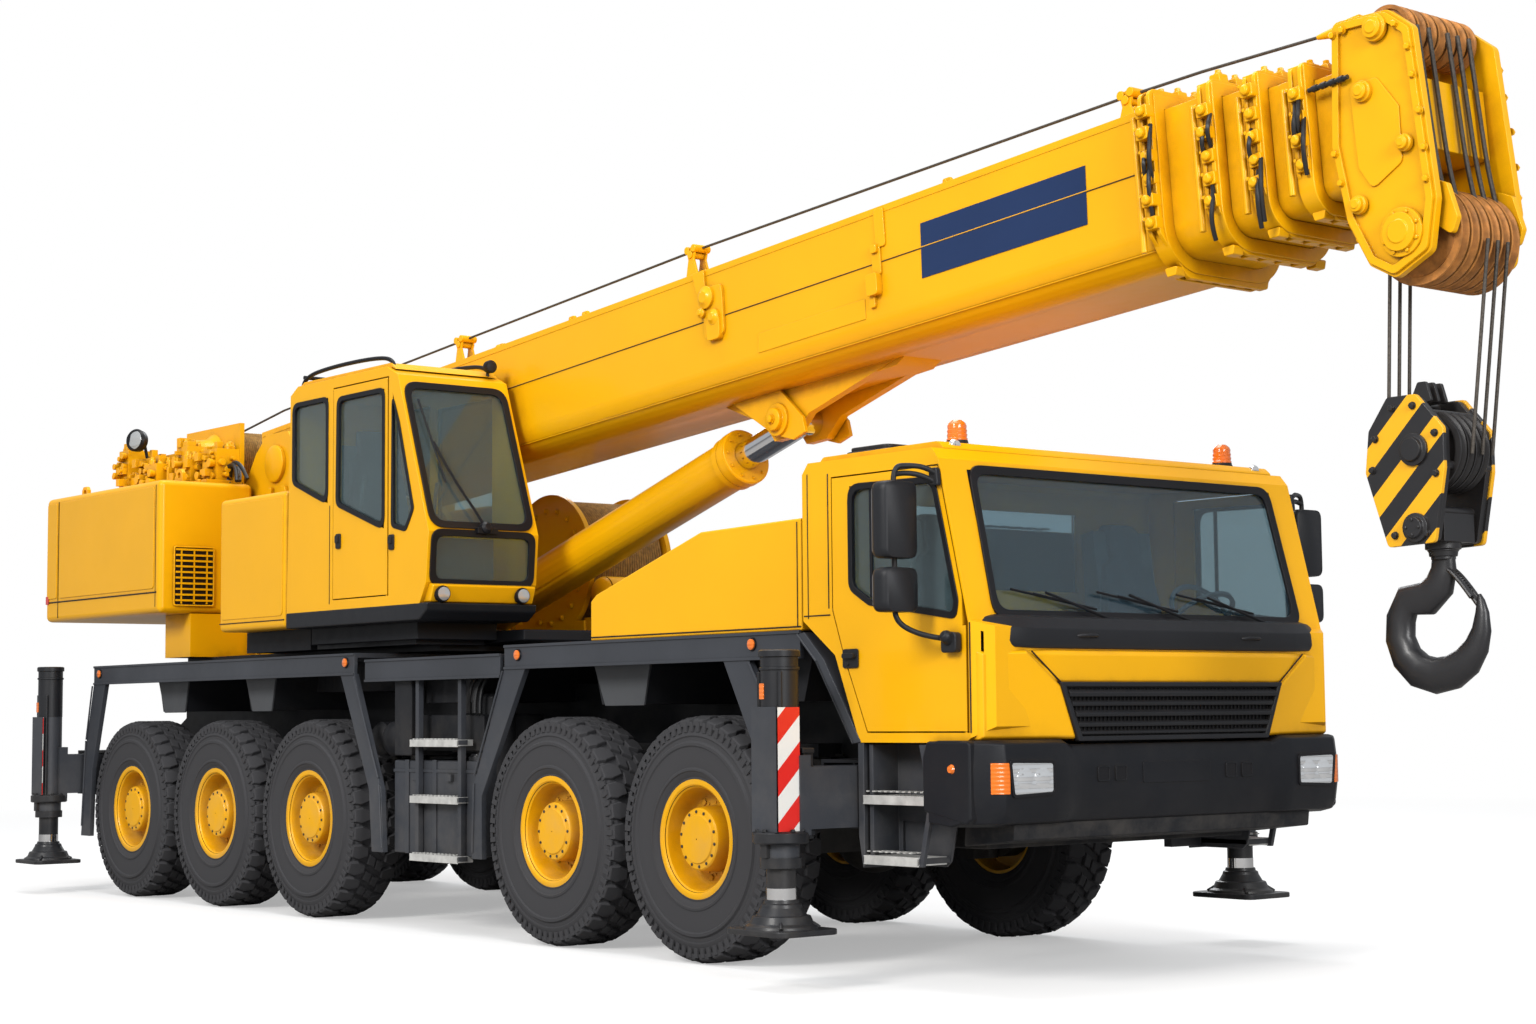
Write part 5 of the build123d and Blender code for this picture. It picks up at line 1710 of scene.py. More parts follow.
            holes.prism(rounded(rect((y - 38, y + 38), (1048, 1116)), 10), 2405, 2416, View.FRONT)
        piece("bumper_holes", holes, GASKET, self.body)
        rims = Form()
        for y in (-560, -430, 430, 560):
            square = rect((y - 44, y + 44), (1042, 1122))
            rims.ring(rounded(square, 12), rounded(grown(square, -8), 9), 2408, 2419, View.FRONT)
        rims.prism(rounded(rect((-262, 262), (1028, 1138)), 12), 2408, 2417, View.FRONT)
        piece("bumper_rims", rims, BUMPER, self.body, ease=3)
        for side in (-1, 1):
            tag = "right" if side < 0 else "left"
            outline = [(side * y, z) for y, z in ((962, 1000), (1236, 990), (1256, 1152), (962, 1146))]
            bowl = Form().prism(rounded(outline, 18), 2440, 2452, View.FRONT)
            piece(f"head_lamp_{tag}", bowl, CLEAR, self.body, ease=5)
            frame_band = Form().ring(
                rounded(grown(outline, 14), 22), rounded(outline, 18), 2436, 2456, View.FRONT
            )
            piece(f"head_lamp_rim_{tag}", frame_band, GASKET, self.body, ease=2)
            eyes = Form()
            for y in (1040, 1165):
                eyes.turned((2446, side * y, 1072), (2458, side * y, 1072), [(0, 56), (0.6, 54), (1, 30)], 32)
            piece(f"head_lamp_eyes_{tag}", eyes, CLEAR, self.body)
            flank = Form().loft([
                [(2449 - 150 * max(0.0, (abs(y) - 1270) / 155) ** 1.8, side * y, z) for z in (996, 1150)]
                + [(2425 - 150 * max(0.0, (abs(y) - 1270) / 155) ** 1.8, side * y, z) for z in (1150, 996)]
                for y in (1262, 1290, 1320, 1350)
            ])
            piece(f"indicator_{tag}", flank, ORANGE, self.body, ease=3)
            small = Form().turned(
                (2200, side * 1428, 1120), (2200, side * 1440, 1120), [(0, 24), (1, 18)], 20
            )
            piece(f"bumper_marker_{tag}", small, ORANGE, self.body)

    def lamps(self) -> None:
        """Two roof beacons and the small roof lamps."""
        for side in (-1, 1):
            tag = "right" if side < 0 else "left"
            y = side * 1046
            foot = Form().turned(
                (1877, y, 2782), (1877, y, 2818), [(0, 66), (0.4, 66), (0.7, 58), (1, 56)], 36
            )
            piece(f"beacon_foot_{tag}", foot, PLASTIC, self.body)
            dome = Form().turned(
                (1877, y, 2816), (1877, y, 2925),
                [
                    (0, 54), (0.1, 56), (0.16, 51), (0.3, 54), (0.36, 50), (0.5, 53), (0.56, 49), (0.72, 51),
                    (0.86, 45), (1, 26)
                ],
                36,
            )
            piece(f"beacon_dome_{tag}", dome, ORANGE, self.body)
            small = Form().turned(
                (1985, side * 1180, 2771), (2012, side * 1180, 2763), [(0, 40), (0.8, 36), (1, 20)], 24
            )
            small.box((1975, 2001), (side * 1180 - 52, side * 1180 + 52), (2758, 2784))
            piece(f"roof_lamp_{tag}", small, CLEAR, self.body, ease=4)

    def seats(self) -> None:
        """Dashboard, steering wheel and cloth seats seen through the glass."""
        dress(TRIM, "drive_cab_interior")
        for seat_y in (-720, 720):
            tag = "passenger" if seat_y < 0 else "driver"
            back = []
            for share, half, thick in (
                (0.0, 215, 90), (0.15, 232, 100), (0.4, 222, 96), (0.68, 190, 84), (0.74, 120, 70),
                (0.8, 130, 76),
                (0.95, 128, 72), (1.0, 96, 50),
            ):
                x, z = 1420 - 90 * share, 1720 + 760 * share
                back.append([
                    (x + thick, seat_y - half, z), (x + thick, seat_y + half, z),
                    (x + thick * 0.3, seat_y + half + 8, z),
                    (x - 40, seat_y + half * 0.9, z), (x - 40, seat_y - half * 0.9, z),
                    (x + thick * 0.3, seat_y - half - 8, z),
                ])
            piece(f"seat_back_{tag}", Form().loft(back), SEAT, self.body, ease=16, smooth=70, steps=3)
            base = Form().prism(
                rounded(
                    [(1400, seat_y - 250), (1940, seat_y - 245), (1940, seat_y + 245), (1400, seat_y + 250)],
                    60
                ),
                1712, 1765, View.TOP,
            )
            piece(f"seat_base_{tag}", base, SEAT, self.body, ease=18, steps=3)
        wheel = []
        for k in range(33):
            t = 2 * math.pi * k / 32
            wheel.append(
                (
                    1975 - 0.64 * 225 * math.sin(t) * 0.6, 720 + 225 * math.cos(t),
                    1925 + 0.77 * 225 * math.sin(t)
                )
            )
        piece("steering_rim", runs([wheel], 15, TRIM, 12, soft=False), TRIM, self.body)
        deck = Form()
        deck.prism([(2050, 1795), (2180, 1862), (2262, 1840), (2262, 1700), (2050, 1700)], -1280, 1280)
        deck.prism(rounded([(2010, 1790), (2120, 1905), (2190, 1890), (2190, 1790)], 20), 470, 960)
        piece("dash_top", deck, TRIM, self.body, ease=14, steps=3)

    def build(self) -> None:
        """Dress the cab from shell to bumper."""
        self.shell()
        self.panels()
        self.grille()
        self.glass()
        self.doors()
        self.bumper()
        self.lamps()
        self.seats()


@dataclass
class EngineCover:
    """The sloped yellow cover behind the driver's cab."""

    body: str = "carrier"

    def build(self) -> None:
        """Ease the cover's edges and add its seams and grille."""
        piece("hood_skin", Form().node("engine_cover"), YELLOW, self.body, ["engine_cover"], ease=34, steps=4)
        seams = Form()
        for side in (-1, 1):
            y = side * (HALF_WIDTH + 2)
            seams.bar((-985, y, 1872), (980, y, 1872), 4, sides=8)
            seams.bar((955, y, 1870), (955, y, 2440), 3, sides=8)
        piece("hood_seams", seams, GASKET, self.body)
        vents = slats(12, (945, -700, 2474), (0, 110, 0), (70, 60, 10), PLASTIC)
        piece("hood_vents", vents, PLASTIC, self.body)


# ---------------------------------------------------------------- upper machine
@dataclass
class UpperMachine:
    """What turns on the slewing ring: platform, counterweight, housings and winches."""

    body: str = "superstructure"
    valves: tuple[tuple[float, ...], ...] = (
        (-8780, 740, 95, 110, 420), (-8480, 700, 110, 90, 330), (-8170, 770, 120, 120, 250),
        (-7850, 680, 100, 75, 380), (-7540, 760, 110, 120, 230), (-7240, 700, 120, 100, 300),
    )
    drum_motors: tuple[tuple[float, ...], ...] = ((-3380, 2290, 640, 120), (-3110, 2220, 600, 90))

    def fittings(
        self, shape: Form, rng: random.Random, spot: Flat, half: Flat, high: float, side: int
    ) -> None:
        """Stubs, plugs and small blocks on one valve block's top and outer face.

        Args:
            shape: the form they are added to.
            rng: the seeded source of their sizes.
            spot: the block's middle.
            half: its half length and half width.
            high: its height over the counterweight.
            side: -1 for the right, 1 for the left.
        """
        x, y = spot
        top = 3310 + high
        for k in range(9):
            size, reach = rng.uniform(16, 40), rng.uniform(20, 80)
            a, b = rng.uniform(-half[0], half[0]) * 0.8, rng.uniform(-half[1], half[1]) * 0.8
            if k % 3:
                shape.turned(
                    (x + a, y + b, top - 6), (x + a, y + b, top + reach),
                    [(0, size), (0.55, size), (0.6, size * 0.7), (1, size * 0.6)], 12,
                )
            else:
                shape.box((x + a - size, x + a + size), (y + b - size, y + b + size), (top - 6, top + reach))
        out = y + side * half[1]
        for k in range(14):
            size, reach = rng.uniform(16, 38), rng.uniform(20, 85)
            a, z = rng.uniform(-half[0], half[0]) * 0.9, rng.uniform(3345, top - 30)
            low, far = span(out - side * 6, out + side * reach)
            if k % 3 == 0:
                shape.box((x + a - size, x + a + size), (low, far), (z - size, z + size))
            else:
                shape.turned(
                    (x + a, low, z), (x + a, far, z), [(0, size), (0.5, size * 0.9), (1, size * 0.8)], 12
                )
        for k in range(6):
            size, reach = rng.uniform(16, 34), rng.uniform(20, 60)
            b, z = rng.uniform(-half[1], half[1]) * 0.8, rng.uniform(3345, top - 30)
            shape.bar((x + half[0] - 6, y + b, z), (x + half[0] + reach, y + b, z), size, sides=12)

    def platform(self) -> None:
        """Platform plates, their stiffeners, ring bolts and the boom's pivot plates."""
        platform = Form().node("slew_platform")
        # The platform's faces wholly below 2062 mm, under the housings, are split off and take the dark grey
        # finish.
        low = platform.part_below(2062)
        piece("platform_skin", platform, YELLOW, self.body, ["slew_platform"], ease=8, steps=3)
        piece("platform_low", low, FRAME_GREY, self.body, ease=5)
        ring = Form()
        ring.turned((-5300, 0, 1800), (-5300, 0, 1868), [(0, 858), (0.2, 872), (0.8, 872), (1, 858)], 96)
        piece("slew_ring_cover", ring, FRAME_GREY, "carrier")
        bolts = Bolts()
        bolts.circle((-5300, 0, 1905), (0, 0, 1), 740, 44, 34)
        for side in (-1, 1):
            bolts.circle((PIVOT[0], side * 541, PIVOT[1]), (0, side, 0), 60, 6, 24)
            bolts.row((-7200, side * 531, 2100), (-5300, side * 531, 2000), 10, (0, side, 0), 26)
        piece("platform_bolts", bolts.mesh(YELLOW), YELLOW, self.body)
        rings = Form()
        for side in (-1, 1):
            low, high = span(side * 528, side * 575)
            rings.turned(
                (PIVOT[0], low, PIVOT[1]), (PIVOT[0], high, PIVOT[1]),
                [(0, 150), (0.7, 150), (1, 120)] if side > 0 else [(0, 120), (0.3, 150), (1, 150)], 40
            )
            rings.prism(
                [(-6900, 1905), (-6860, 1905), (-6640, 3260), (-6700, 3260)],
                *span(side * 528, side * 560)
            )
            rings.prism(
                [(-5960, 1905), (-5900, 1905), (-6420, 3260), (-6480, 3260)],
                *span(side * 528, side * 560)
            )
        piece("pivot_plates", rings, YELLOW, self.body, ease=6)
        sill = Form()
        sill.prism([(-4835, 2052), (-2985, 2052), (-2895, 2110), (-2880, 2165), (-4835, 2165)], -1379, -505)
        piece("cab_sill", sill, PLASTIC, self.body, ease=12, steps=3)
        under = Form()
        under.box((-4780, -3300), (-1200, -560), (1935, 2055))
        under.box((-4600, -3500), (560, 1150), (1912, 1990))
        piece("sill_bearers", under, FRAME_GREY, self.body, ease=6)
        foot = Form()
        foot.prism([(-3560, 1905), (-2960, 1925), (-2960, 2000), (-3560, 2000)], -560, 640)
        foot.box((-3900, -3300), (-420, 420), (1905, 1990))
        piece("ram_bearer", foot, FRAME_GREY, self.body, ease=10)

    def counterweight(self) -> None:
        """Rounded counterweight with its seams, vent, reflectors and lifting eyes."""
        piece(
            "counterweight_skin", Form().node("counterweight"), YELLOW, self.body, ["counterweight"], ease=46,
            steps=5
        )
        side_trim = Form()
        for side in (-1, 1):
            y = side * (HALF_WIDTH + 1)
            side_trim.bar((-9120, y, 2415), (-6990, y, 2415), 6, sides=8)
            side_trim.bar((-8905, y, 2280), (-8905, y, 3270), 4, sides=8)
            side_trim.bar((-7010, y, 2300), (-7010, y, 3270), 3, sides=8)
        for z in (2420, 2440):
            side_trim.bar((-9171, -1330, z), (-9171, 1330, z), 5, sides=8)
        piece("counterweight_seams", side_trim, GASKET, self.body)
        raised = Form()
        for side in (-1, 1):
            y = span(side * (HALF_WIDTH - 4), side * (HALF_WIDTH + 7))
            raised.prism(rounded(rect((-8880, -7035), (2445, 3262)), 40), *y)
            raised.prism(rounded(rect((-9130, -8930), (2445, 3262)), 30), *y)
        raised.prism(rounded(rect((-1330, 1330), (2460, 3262)), 60), -9177, -9160, View.FRONT)
        piece("counterweight_panels", raised, YELLOW, self.body, ease=5, steps=3)
        vent = rect((-1247, -918), (2318, 2772))
        vent_back = Form().prism(rounded(vent, 14), -6938, -6932, View.FRONT)
        piece("vent_field", vent_back, GASKET, self.body)
        whole = Form()
        whole.add(slats(10, (-6928, -1082, 2352), (0, 0, 45), (12, 322, 15), YELLOW))
        whole.add(slats(3, (-6929, -1192, 2545), (0, 110, 0), (10, 12, 440), YELLOW))
        piece("vent_slats", whole, YELLOW, self.body)
        rim = Form().ring(rounded(grown(vent, 12), 20), rounded(vent, 14), -6938, -6922, View.FRONT)
        piece("vent_rim", rim, YELLOW, self.body, ease=5)
        red = Form()
        for side in (-1, 1):
            y = span(side * (HALF_WIDTH + 1), side * (HALF_WIDTH + 8))
            red.prism(rounded(rect((-9150, -9095), (2400, 2470)), 8), *y)
            red.prism(rect((side * 1180 - 60, side * 1180 + 60), (2330, 2390)), -9180, -9172, View.FRONT)
        piece("tail_reflectors", red, RED, self.body, ease=3)
        eyes = Form()
        for x in (-8980, -7150):
            for y in (-1100, 1100):
                eyes.ring(
                    [
                        (x - 60, 3290), (x + 60, 3290), (x + 60, 3390), (x + 30, 3420), (x - 30, 3420),
                        (x - 60, 3390)
                    ],
                    [
                        (x - 22, 3350), (x + 22, 3350), (x + 26, 3375), (x + 12, 3392), (x - 12, 3392),
                        (x - 26, 3375)
                    ],
                    y - 16, y + 16,
                )
        piece("lifting_eyes", eyes, YELLOW, self.body, ease=4)

    def housings(self) -> None:
        """Side housings with rounded edges and door lines."""
        piece(
            "housing_skin", Form().node("side_housings"), YELLOW, self.body, ["side_housings"], ease=38,
            steps=5
        )
        lines = Form()
        for side in (-1, 1):
            y = side * (HALF_WIDTH + 1)
            lines.bar((-5885, y, 2120), (-4870, y, 2120), 4, sides=8)
        piece("housing_lines", lines, GASKET, self.body)
        raised = Form()
        for side in (-1, 1):
            raised.prism(
                rounded(rect((-5860, -4890), (2150, 3020)), 50),
                *span(side * (HALF_WIDTH - 4), side * (HALF_WIDTH + 5)),
            )
        piece("housing_panels", raised, YELLOW, self.body, ease=4)

    def winches(self) -> None:
        """Rope drums, motors, valves, brackets, hoses and the work lamp on the tail."""
        piece("winch_frames", Form().node("winches"), YELLOW, self.body, ["winches"], ease=9, steps=3)
        turns = Form()
        for k in range(36):
            y = -345 + k * 19.7
            turns.turned((-8000, y - 10, 3620), (-8000, y + 10, 3620), [(0, 232), (0.5, 241), (1, 232)], 40)
        for k in range(30):
            y = 438 + k * 21.3
            turns.turned((-4050, y - 11, 2510), (-4050, y + 11, 2510), [(0, 488), (0.5, 498), (1, 488)], 48)
        piece("rope_turns", turns, DRUM_ROPE, self.body, smooth=50)
        rng = random.Random(7)
        lumps = Form()
        for x, y, long, wide, high in self.valves:
            for side in (-1, 1):
                self.fittings(lumps, rng, (x, side * y), (long, wide), high, side)
        for side in (-1, 1):
            for k in range(48):
                x, y = -8860 + 36 * k, side * rng.uniform(560, 860)
                size, tall = rng.uniform(16, 42), rng.uniform(50, 230)
                lumps.box((x - size, x + size), (y - size, y + size), (3340, 3350 + tall))
                lumps.bar(
                    (x, y, 3340 + tall), (x, y, 3340 + tall + rng.uniform(30, 90)), size * 0.6, sides=10
                )
        lumps.turned(
            (-8000, -560, 3620), (-8000, -400, 3620), [(0, 110), (0.2, 150), (0.7, 165), (1, 210)], 32
        )
        lumps.turned((-8000, 400, 3620), (-8000, 620, 3620), [(0, 210), (0.3, 160), (0.8, 150), (1, 100)], 32)
        for side in (-1, 1):
            low, high = span(side * 345, side * 366)
            lumps.turned((-8000, low, 3620), (-8000, high, 3620), [(0, 262), (1, 262)], 48)
        piece("tail_machinery", lumps, YELLOW, self.body, ease=4)
        bolts = Bolts()
        for side in (-1, 1):
            bolts.circle((-8000, side * 402, 3620), (0, side, 0), 120, 8, 26)
            for k in range(16):
                bolts.at((-8850 + 120 * k, side * rng.uniform(580, 1120), 3312), (0, 0, 1), 36, 26)
        bolts.circle((-4050, 378, 2510), (0, -1, 0), 420, 18, 34)
        bolts.circle((-4050, 1122, 2510), (0, 1, 0), 420, 18, 34)
        piece("winch_bolts", bolts.mesh(YELLOW), YELLOW, self.body)
        hoses = []
        for side in (-1, 1):
            for k in range(26):
                x, y = -8300 + 46 * k, side * rng.uniform(560, 800)
                reach, z = rng.uniform(160, 380), rng.uniform(3345, 3420)
                top = z + rng.uniform(40, 210)
                hoses.append([
                    (x, y, z - 30), (x + reach * 0.2, y + rng.uniform(-40, 60), top),
                    (x + reach * 0.7, y + rng.uniform(-60, 60), top - rng.uniform(0, 60)),
                    (x + reach, y, z - 30),
                ])
        for k in range(6):
            hoses.append([
                (-4700, -380 + 30 * k, 1980), (-4500, -400 + 30 * k, 2180 + 20 * k),
                (-4100, -420 + 30 * k, 2060),
                (-3600, -400 + 26 * k, 1990),
            ])
        piece("machine_hoses", runs(hoses, 17, HOSE), HOSE, self.body)
        lamp = Form()
        lamp.turned(
            (-8490, -830, 3785), (-8450, -910, 3793), [(0, 62), (0.2, 92), (0.75, 98), (0.8, 98), (1, 84)], 36
        )
        lamp.bar((-8490, -800, 3785), (-8490, -760, 3600), 14, sides=10)
        piece("work_lamp_shell", lamp, GASKET, self.body)
        lens = Form().turned((-8451, -907, 3792), (-8448, -916, 3793), [(0, 80), (1, 60)], 36)
        piece("work_lamp_lens", lens, DARK_LENS, self.body)
        side_works = Form()
        for x, z, far, radius in self.drum_motors:
            side_works.turned(
                (x, 330, z), (x, 400, z),
                [(0, radius * 0.4), (0.3, radius * 0.7), (0.6, radius * 0.9), (1, radius)], 28,
            )
            side_works.turned(
                (x, far - 2, z), (x, far + 46, z),
                [(0, radius * 0.9), (0.4, radius * 0.8), (1, radius * 0.4)], 28,
            )
        piece("drum_motors", side_works, YELLOW, self.body, ease=4)

    def build(self) -> None:
        """Dress the upper machine."""
        self.platform()
        self.counterweight()
        self.housings()
        self.winches()


@dataclass
class OperatorCab:
    """The operator's cab with its seals, wiper, lamps, rail and seat."""

    body: str = "superstructure"
    outer: float = -1375.0
    inner: float = -500.0

    def screen(self, y: float, z: float, proud: float = 0.0) -> Point:
        """A place on the front glass at a height, and how far it stands off."""
        (x0, z0), (x1, z1) = ((-2870, 2640), (-3270, 3730)) if z > 2640 else ((-2900, 2300), (-2870, 2640))
        return (x0 + (z - z0) / (z1 - z0) * (x1 - x0) + proud, y, z)

    def build(self) -> None:
        """Dress the cab."""
        piece(
            "op_cab_skin", Form().node("op_cab_shell"), YELLOW, self.body, ["op_cab_shell"], ease=26, steps=4
        )
        piece("op_door_skin", Form().node("op_cab_door"), YELLOW, "op_cab_door", ["op_cab_door"], ease=5)
        dress(DOOR_GLASS, "op_cab_glass", "op_door_glass")
        dress(TRIM, "op_cab_interior")
        face = (self.outer - 7, self.outer + 16)
        door = [(-4090, 3650), (-4100, 2900), (-3450, 2690), (-3450, 3650)]
        rear = [(-4740, 3670), (-4740, 3100), (-4235, 2920), (-4235, 3670)]
        front = [(-3340, 3610), (-3340, 2700), (-3160, 2660), (-3060, 2800), (-3250, 3400)]
        window("op_door_seal", door, face, "op_cab_door", 60, 34)
        window("op_rear_seal", rear, face, self.body, 60, 34)
        window("op_front_seal", front, face, self.body, 40, 30)
        window("op_far_rear_seal", rear, (self.inner - 16, self.inner + 6), self.body, 60, 34)
        window(
            "op_far_seal", rect((-4150, -3400), (2750, 3640)),
            (self.inner - 16, self.inner + 6), self.body, 60, 30
        )
        for name, low, high, radius in (("upper", 2700, 3650, 85), ("lower", 2310, 2620, 60)):
            outer = rounded(rect((-1352, -528), (low - 36, high + 36)), radius + 24, 7)
            inner = rounded(rect((-1306, -574), (low + 12, high - 12)), radius, 7)
            seal = Form()
            rows = []
            for outline, proud in ((outer, -12), (outer, 13), (inner, 8), (inner, -12)):
                rows.append([seal.mesh.verts.new(place(*self.screen(y, z, proud))) for y, z in outline])
            for row in range(4):
                above = (row + 1) % 4
                for k in range(len(outer)):
                    j = (k + 1) % len(outer)
                    seal.mesh.faces.new((rows[row][k], rows[row][j], rows[above][j], rows[above][k]))
            piece(f"op_screen_seal_{name}", seal, GASKET, self.body, ease=3)
        arm = [
            [
                self.screen(-940, 2672, 30), self.screen(-985, 2760, 42), self.screen(-1130, 3020, 36),
                self.screen(-1215, 3260, 26)
            ]
        ]
        piece("op_wiper_arm", runs(arm, 10, GASKET, 8), GASKET, self.body)
        parts = Form()
        parts.bar(self.screen(-1265, 3560, 18), self.screen(-1175, 2980, 18), 8, sides=8)
        start = self.screen(-940, 2665, 16)
        parts.turned(start, (start[0] + 50, start[1], start[2] + 14), [(0, 46), (0.7, 42), (1, 24)], 24)
        parts.box((start[0] - 10, start[0] + 30), (-1010, -850), (2632, 2672))
        piece("op_wiper", parts, GASKET, self.body, ease=3)
        handles = Form()
        y = self.outer
        for x, z, body_gap in ((-4070, 2640, 0), (-3340, 2590, 0)):
            handles.prism(rounded(rect((x - 32, x + 32), (z - 52, z + 52)), 14), y - 12, y + 2)
            handles.prism(rounded(rect((x - 18, x + 18), (z - 12, z + 38)), 8), y - 26, y - 10)
        piece("op_handles", handles, PLASTIC, self.body, ease=3)
        roof = Form()
        roof.prism(
            rounded([(-4760, 3770), (-3400, 3795), (-3330, 3770), (-3420, 3828), (-4640, 3828)], 12),
            self.outer + 30, self.inner - 30
        )
        piece("op_roof", roof, YELLOW, self.body, ease=16, steps=3)
        rail = [
            [(-4700, -1320, 3800), (-4690, -1320, 3870), (-4300, -1320, 3900), (-3700, -1320, 3895),
             (-3420, -1320, 3860), (-3410, -1320, 3800)],
            [(-4700, -560, 3800), (-4690, -560, 3870), (-4300, -560, 3900), (-3700, -560, 3895),
             (-3420, -560, 3860), (-3410, -560, 3800)],
            [(-4690, -1320, 3870), (-4690, -560, 3870)],
        ]
        piece("op_roof_rails", runs(rail, 15, GASKET, 10), GASKET, self.body)
        for tag, x, yy, z, size in (
            ("low_right", -2868, -1270, 2222, 52), ("low_left", -2868, -640, 2222, 52),
            ("roof_left", -3330, -600, 3850, 44),
        ):
            shell = Form().turned(
                (x - 40, yy, z), (x + 26, yy, z),
                [(0, size * 0.6), (0.3, size), (0.85, size * 1.06), (1, size * 0.96)], 32
            )
            shell.bar((x - 30, yy, z - size * 0.9), (x - 30, yy, z - size * 1.5), 12, sides=10)
            piece(f"op_lamp_{tag}", shell, GASKET, self.body)
            lens = Form().turned(
                (x + 20, yy, z), (x + 32, yy, z), [(0, size * 0.9), (0.7, size * 0.86), (1, size * 0.5)], 32
            )
            piece(f"op_lens_{tag}", lens, PLASTIC if tag.startswith("roof") else DARK_LENS, self.body)
        seams = Form()
        seams.bar((-4200, y - 1, 2205), (-4200, y - 1, 2900), 3, sides=8)
        piece("op_cab_lines", seams, GASKET, self.body)
        apron = Form()
        rows = []
        for yy in (-1345, -1200, -937, -680, -530):
            rows.append(
                [
                    (-2985, yy, 2168), (-2900, yy, 2168), (-2862, yy, 2262), (-2858, yy, 2282),
                    (-2905, yy, 2296), (-2985, yy, 2290)
                ]
            )
        piece("op_apron", apron.loft(rows), YELLOW, self.body, ease=10, steps=3)
        middle = (self.outer + self.inner) / 2
        back = []
        for share, half, thick in (
            (0.0, 225, 100), (0.3, 235, 110), (0.7, 200, 90), (0.76, 130, 70), (1.0, 110, 60)
        ):
            x, z = -4320 - 90 * share, 2690 + 780 * share
            back.append([
                (x + thick, middle - half, z), (x + thick, middle + half, z),
                (x - 30, middle + half * 0.9, z),
                (x - 30, middle - half * 0.9, z),
            ])
        piece("op_seat_back", Form().loft(back), SEAT, self.body, ease=18, smooth=70, steps=3)
        base = Form().prism(
            rounded(
                [(-4380, middle - 255), (-3850, middle - 250), (-3850, middle + 250), (-4380, middle + 255)],
                60
            ),
            2672, 2735, View.TOP,
        )
        base.box((-4250, -3980), (middle - 330, middle - 260), (2690, 2860))
        base.box((-4250, -3980), (middle + 260, middle + 330), (2690, 2860))
        piece("op_seat_base", base, SEAT, self.body, ease=18, steps=3)
        sticks = runs(
            [
                [
                    (-4010, middle + d, 2850), (-3990, middle + d, 2990), (-3960, middle + d, 3080)
                ] for d in (-295, 295)
            ],
            14, TRIM,
        )
        piece("op_levers", sticks, TRIM, self.body)


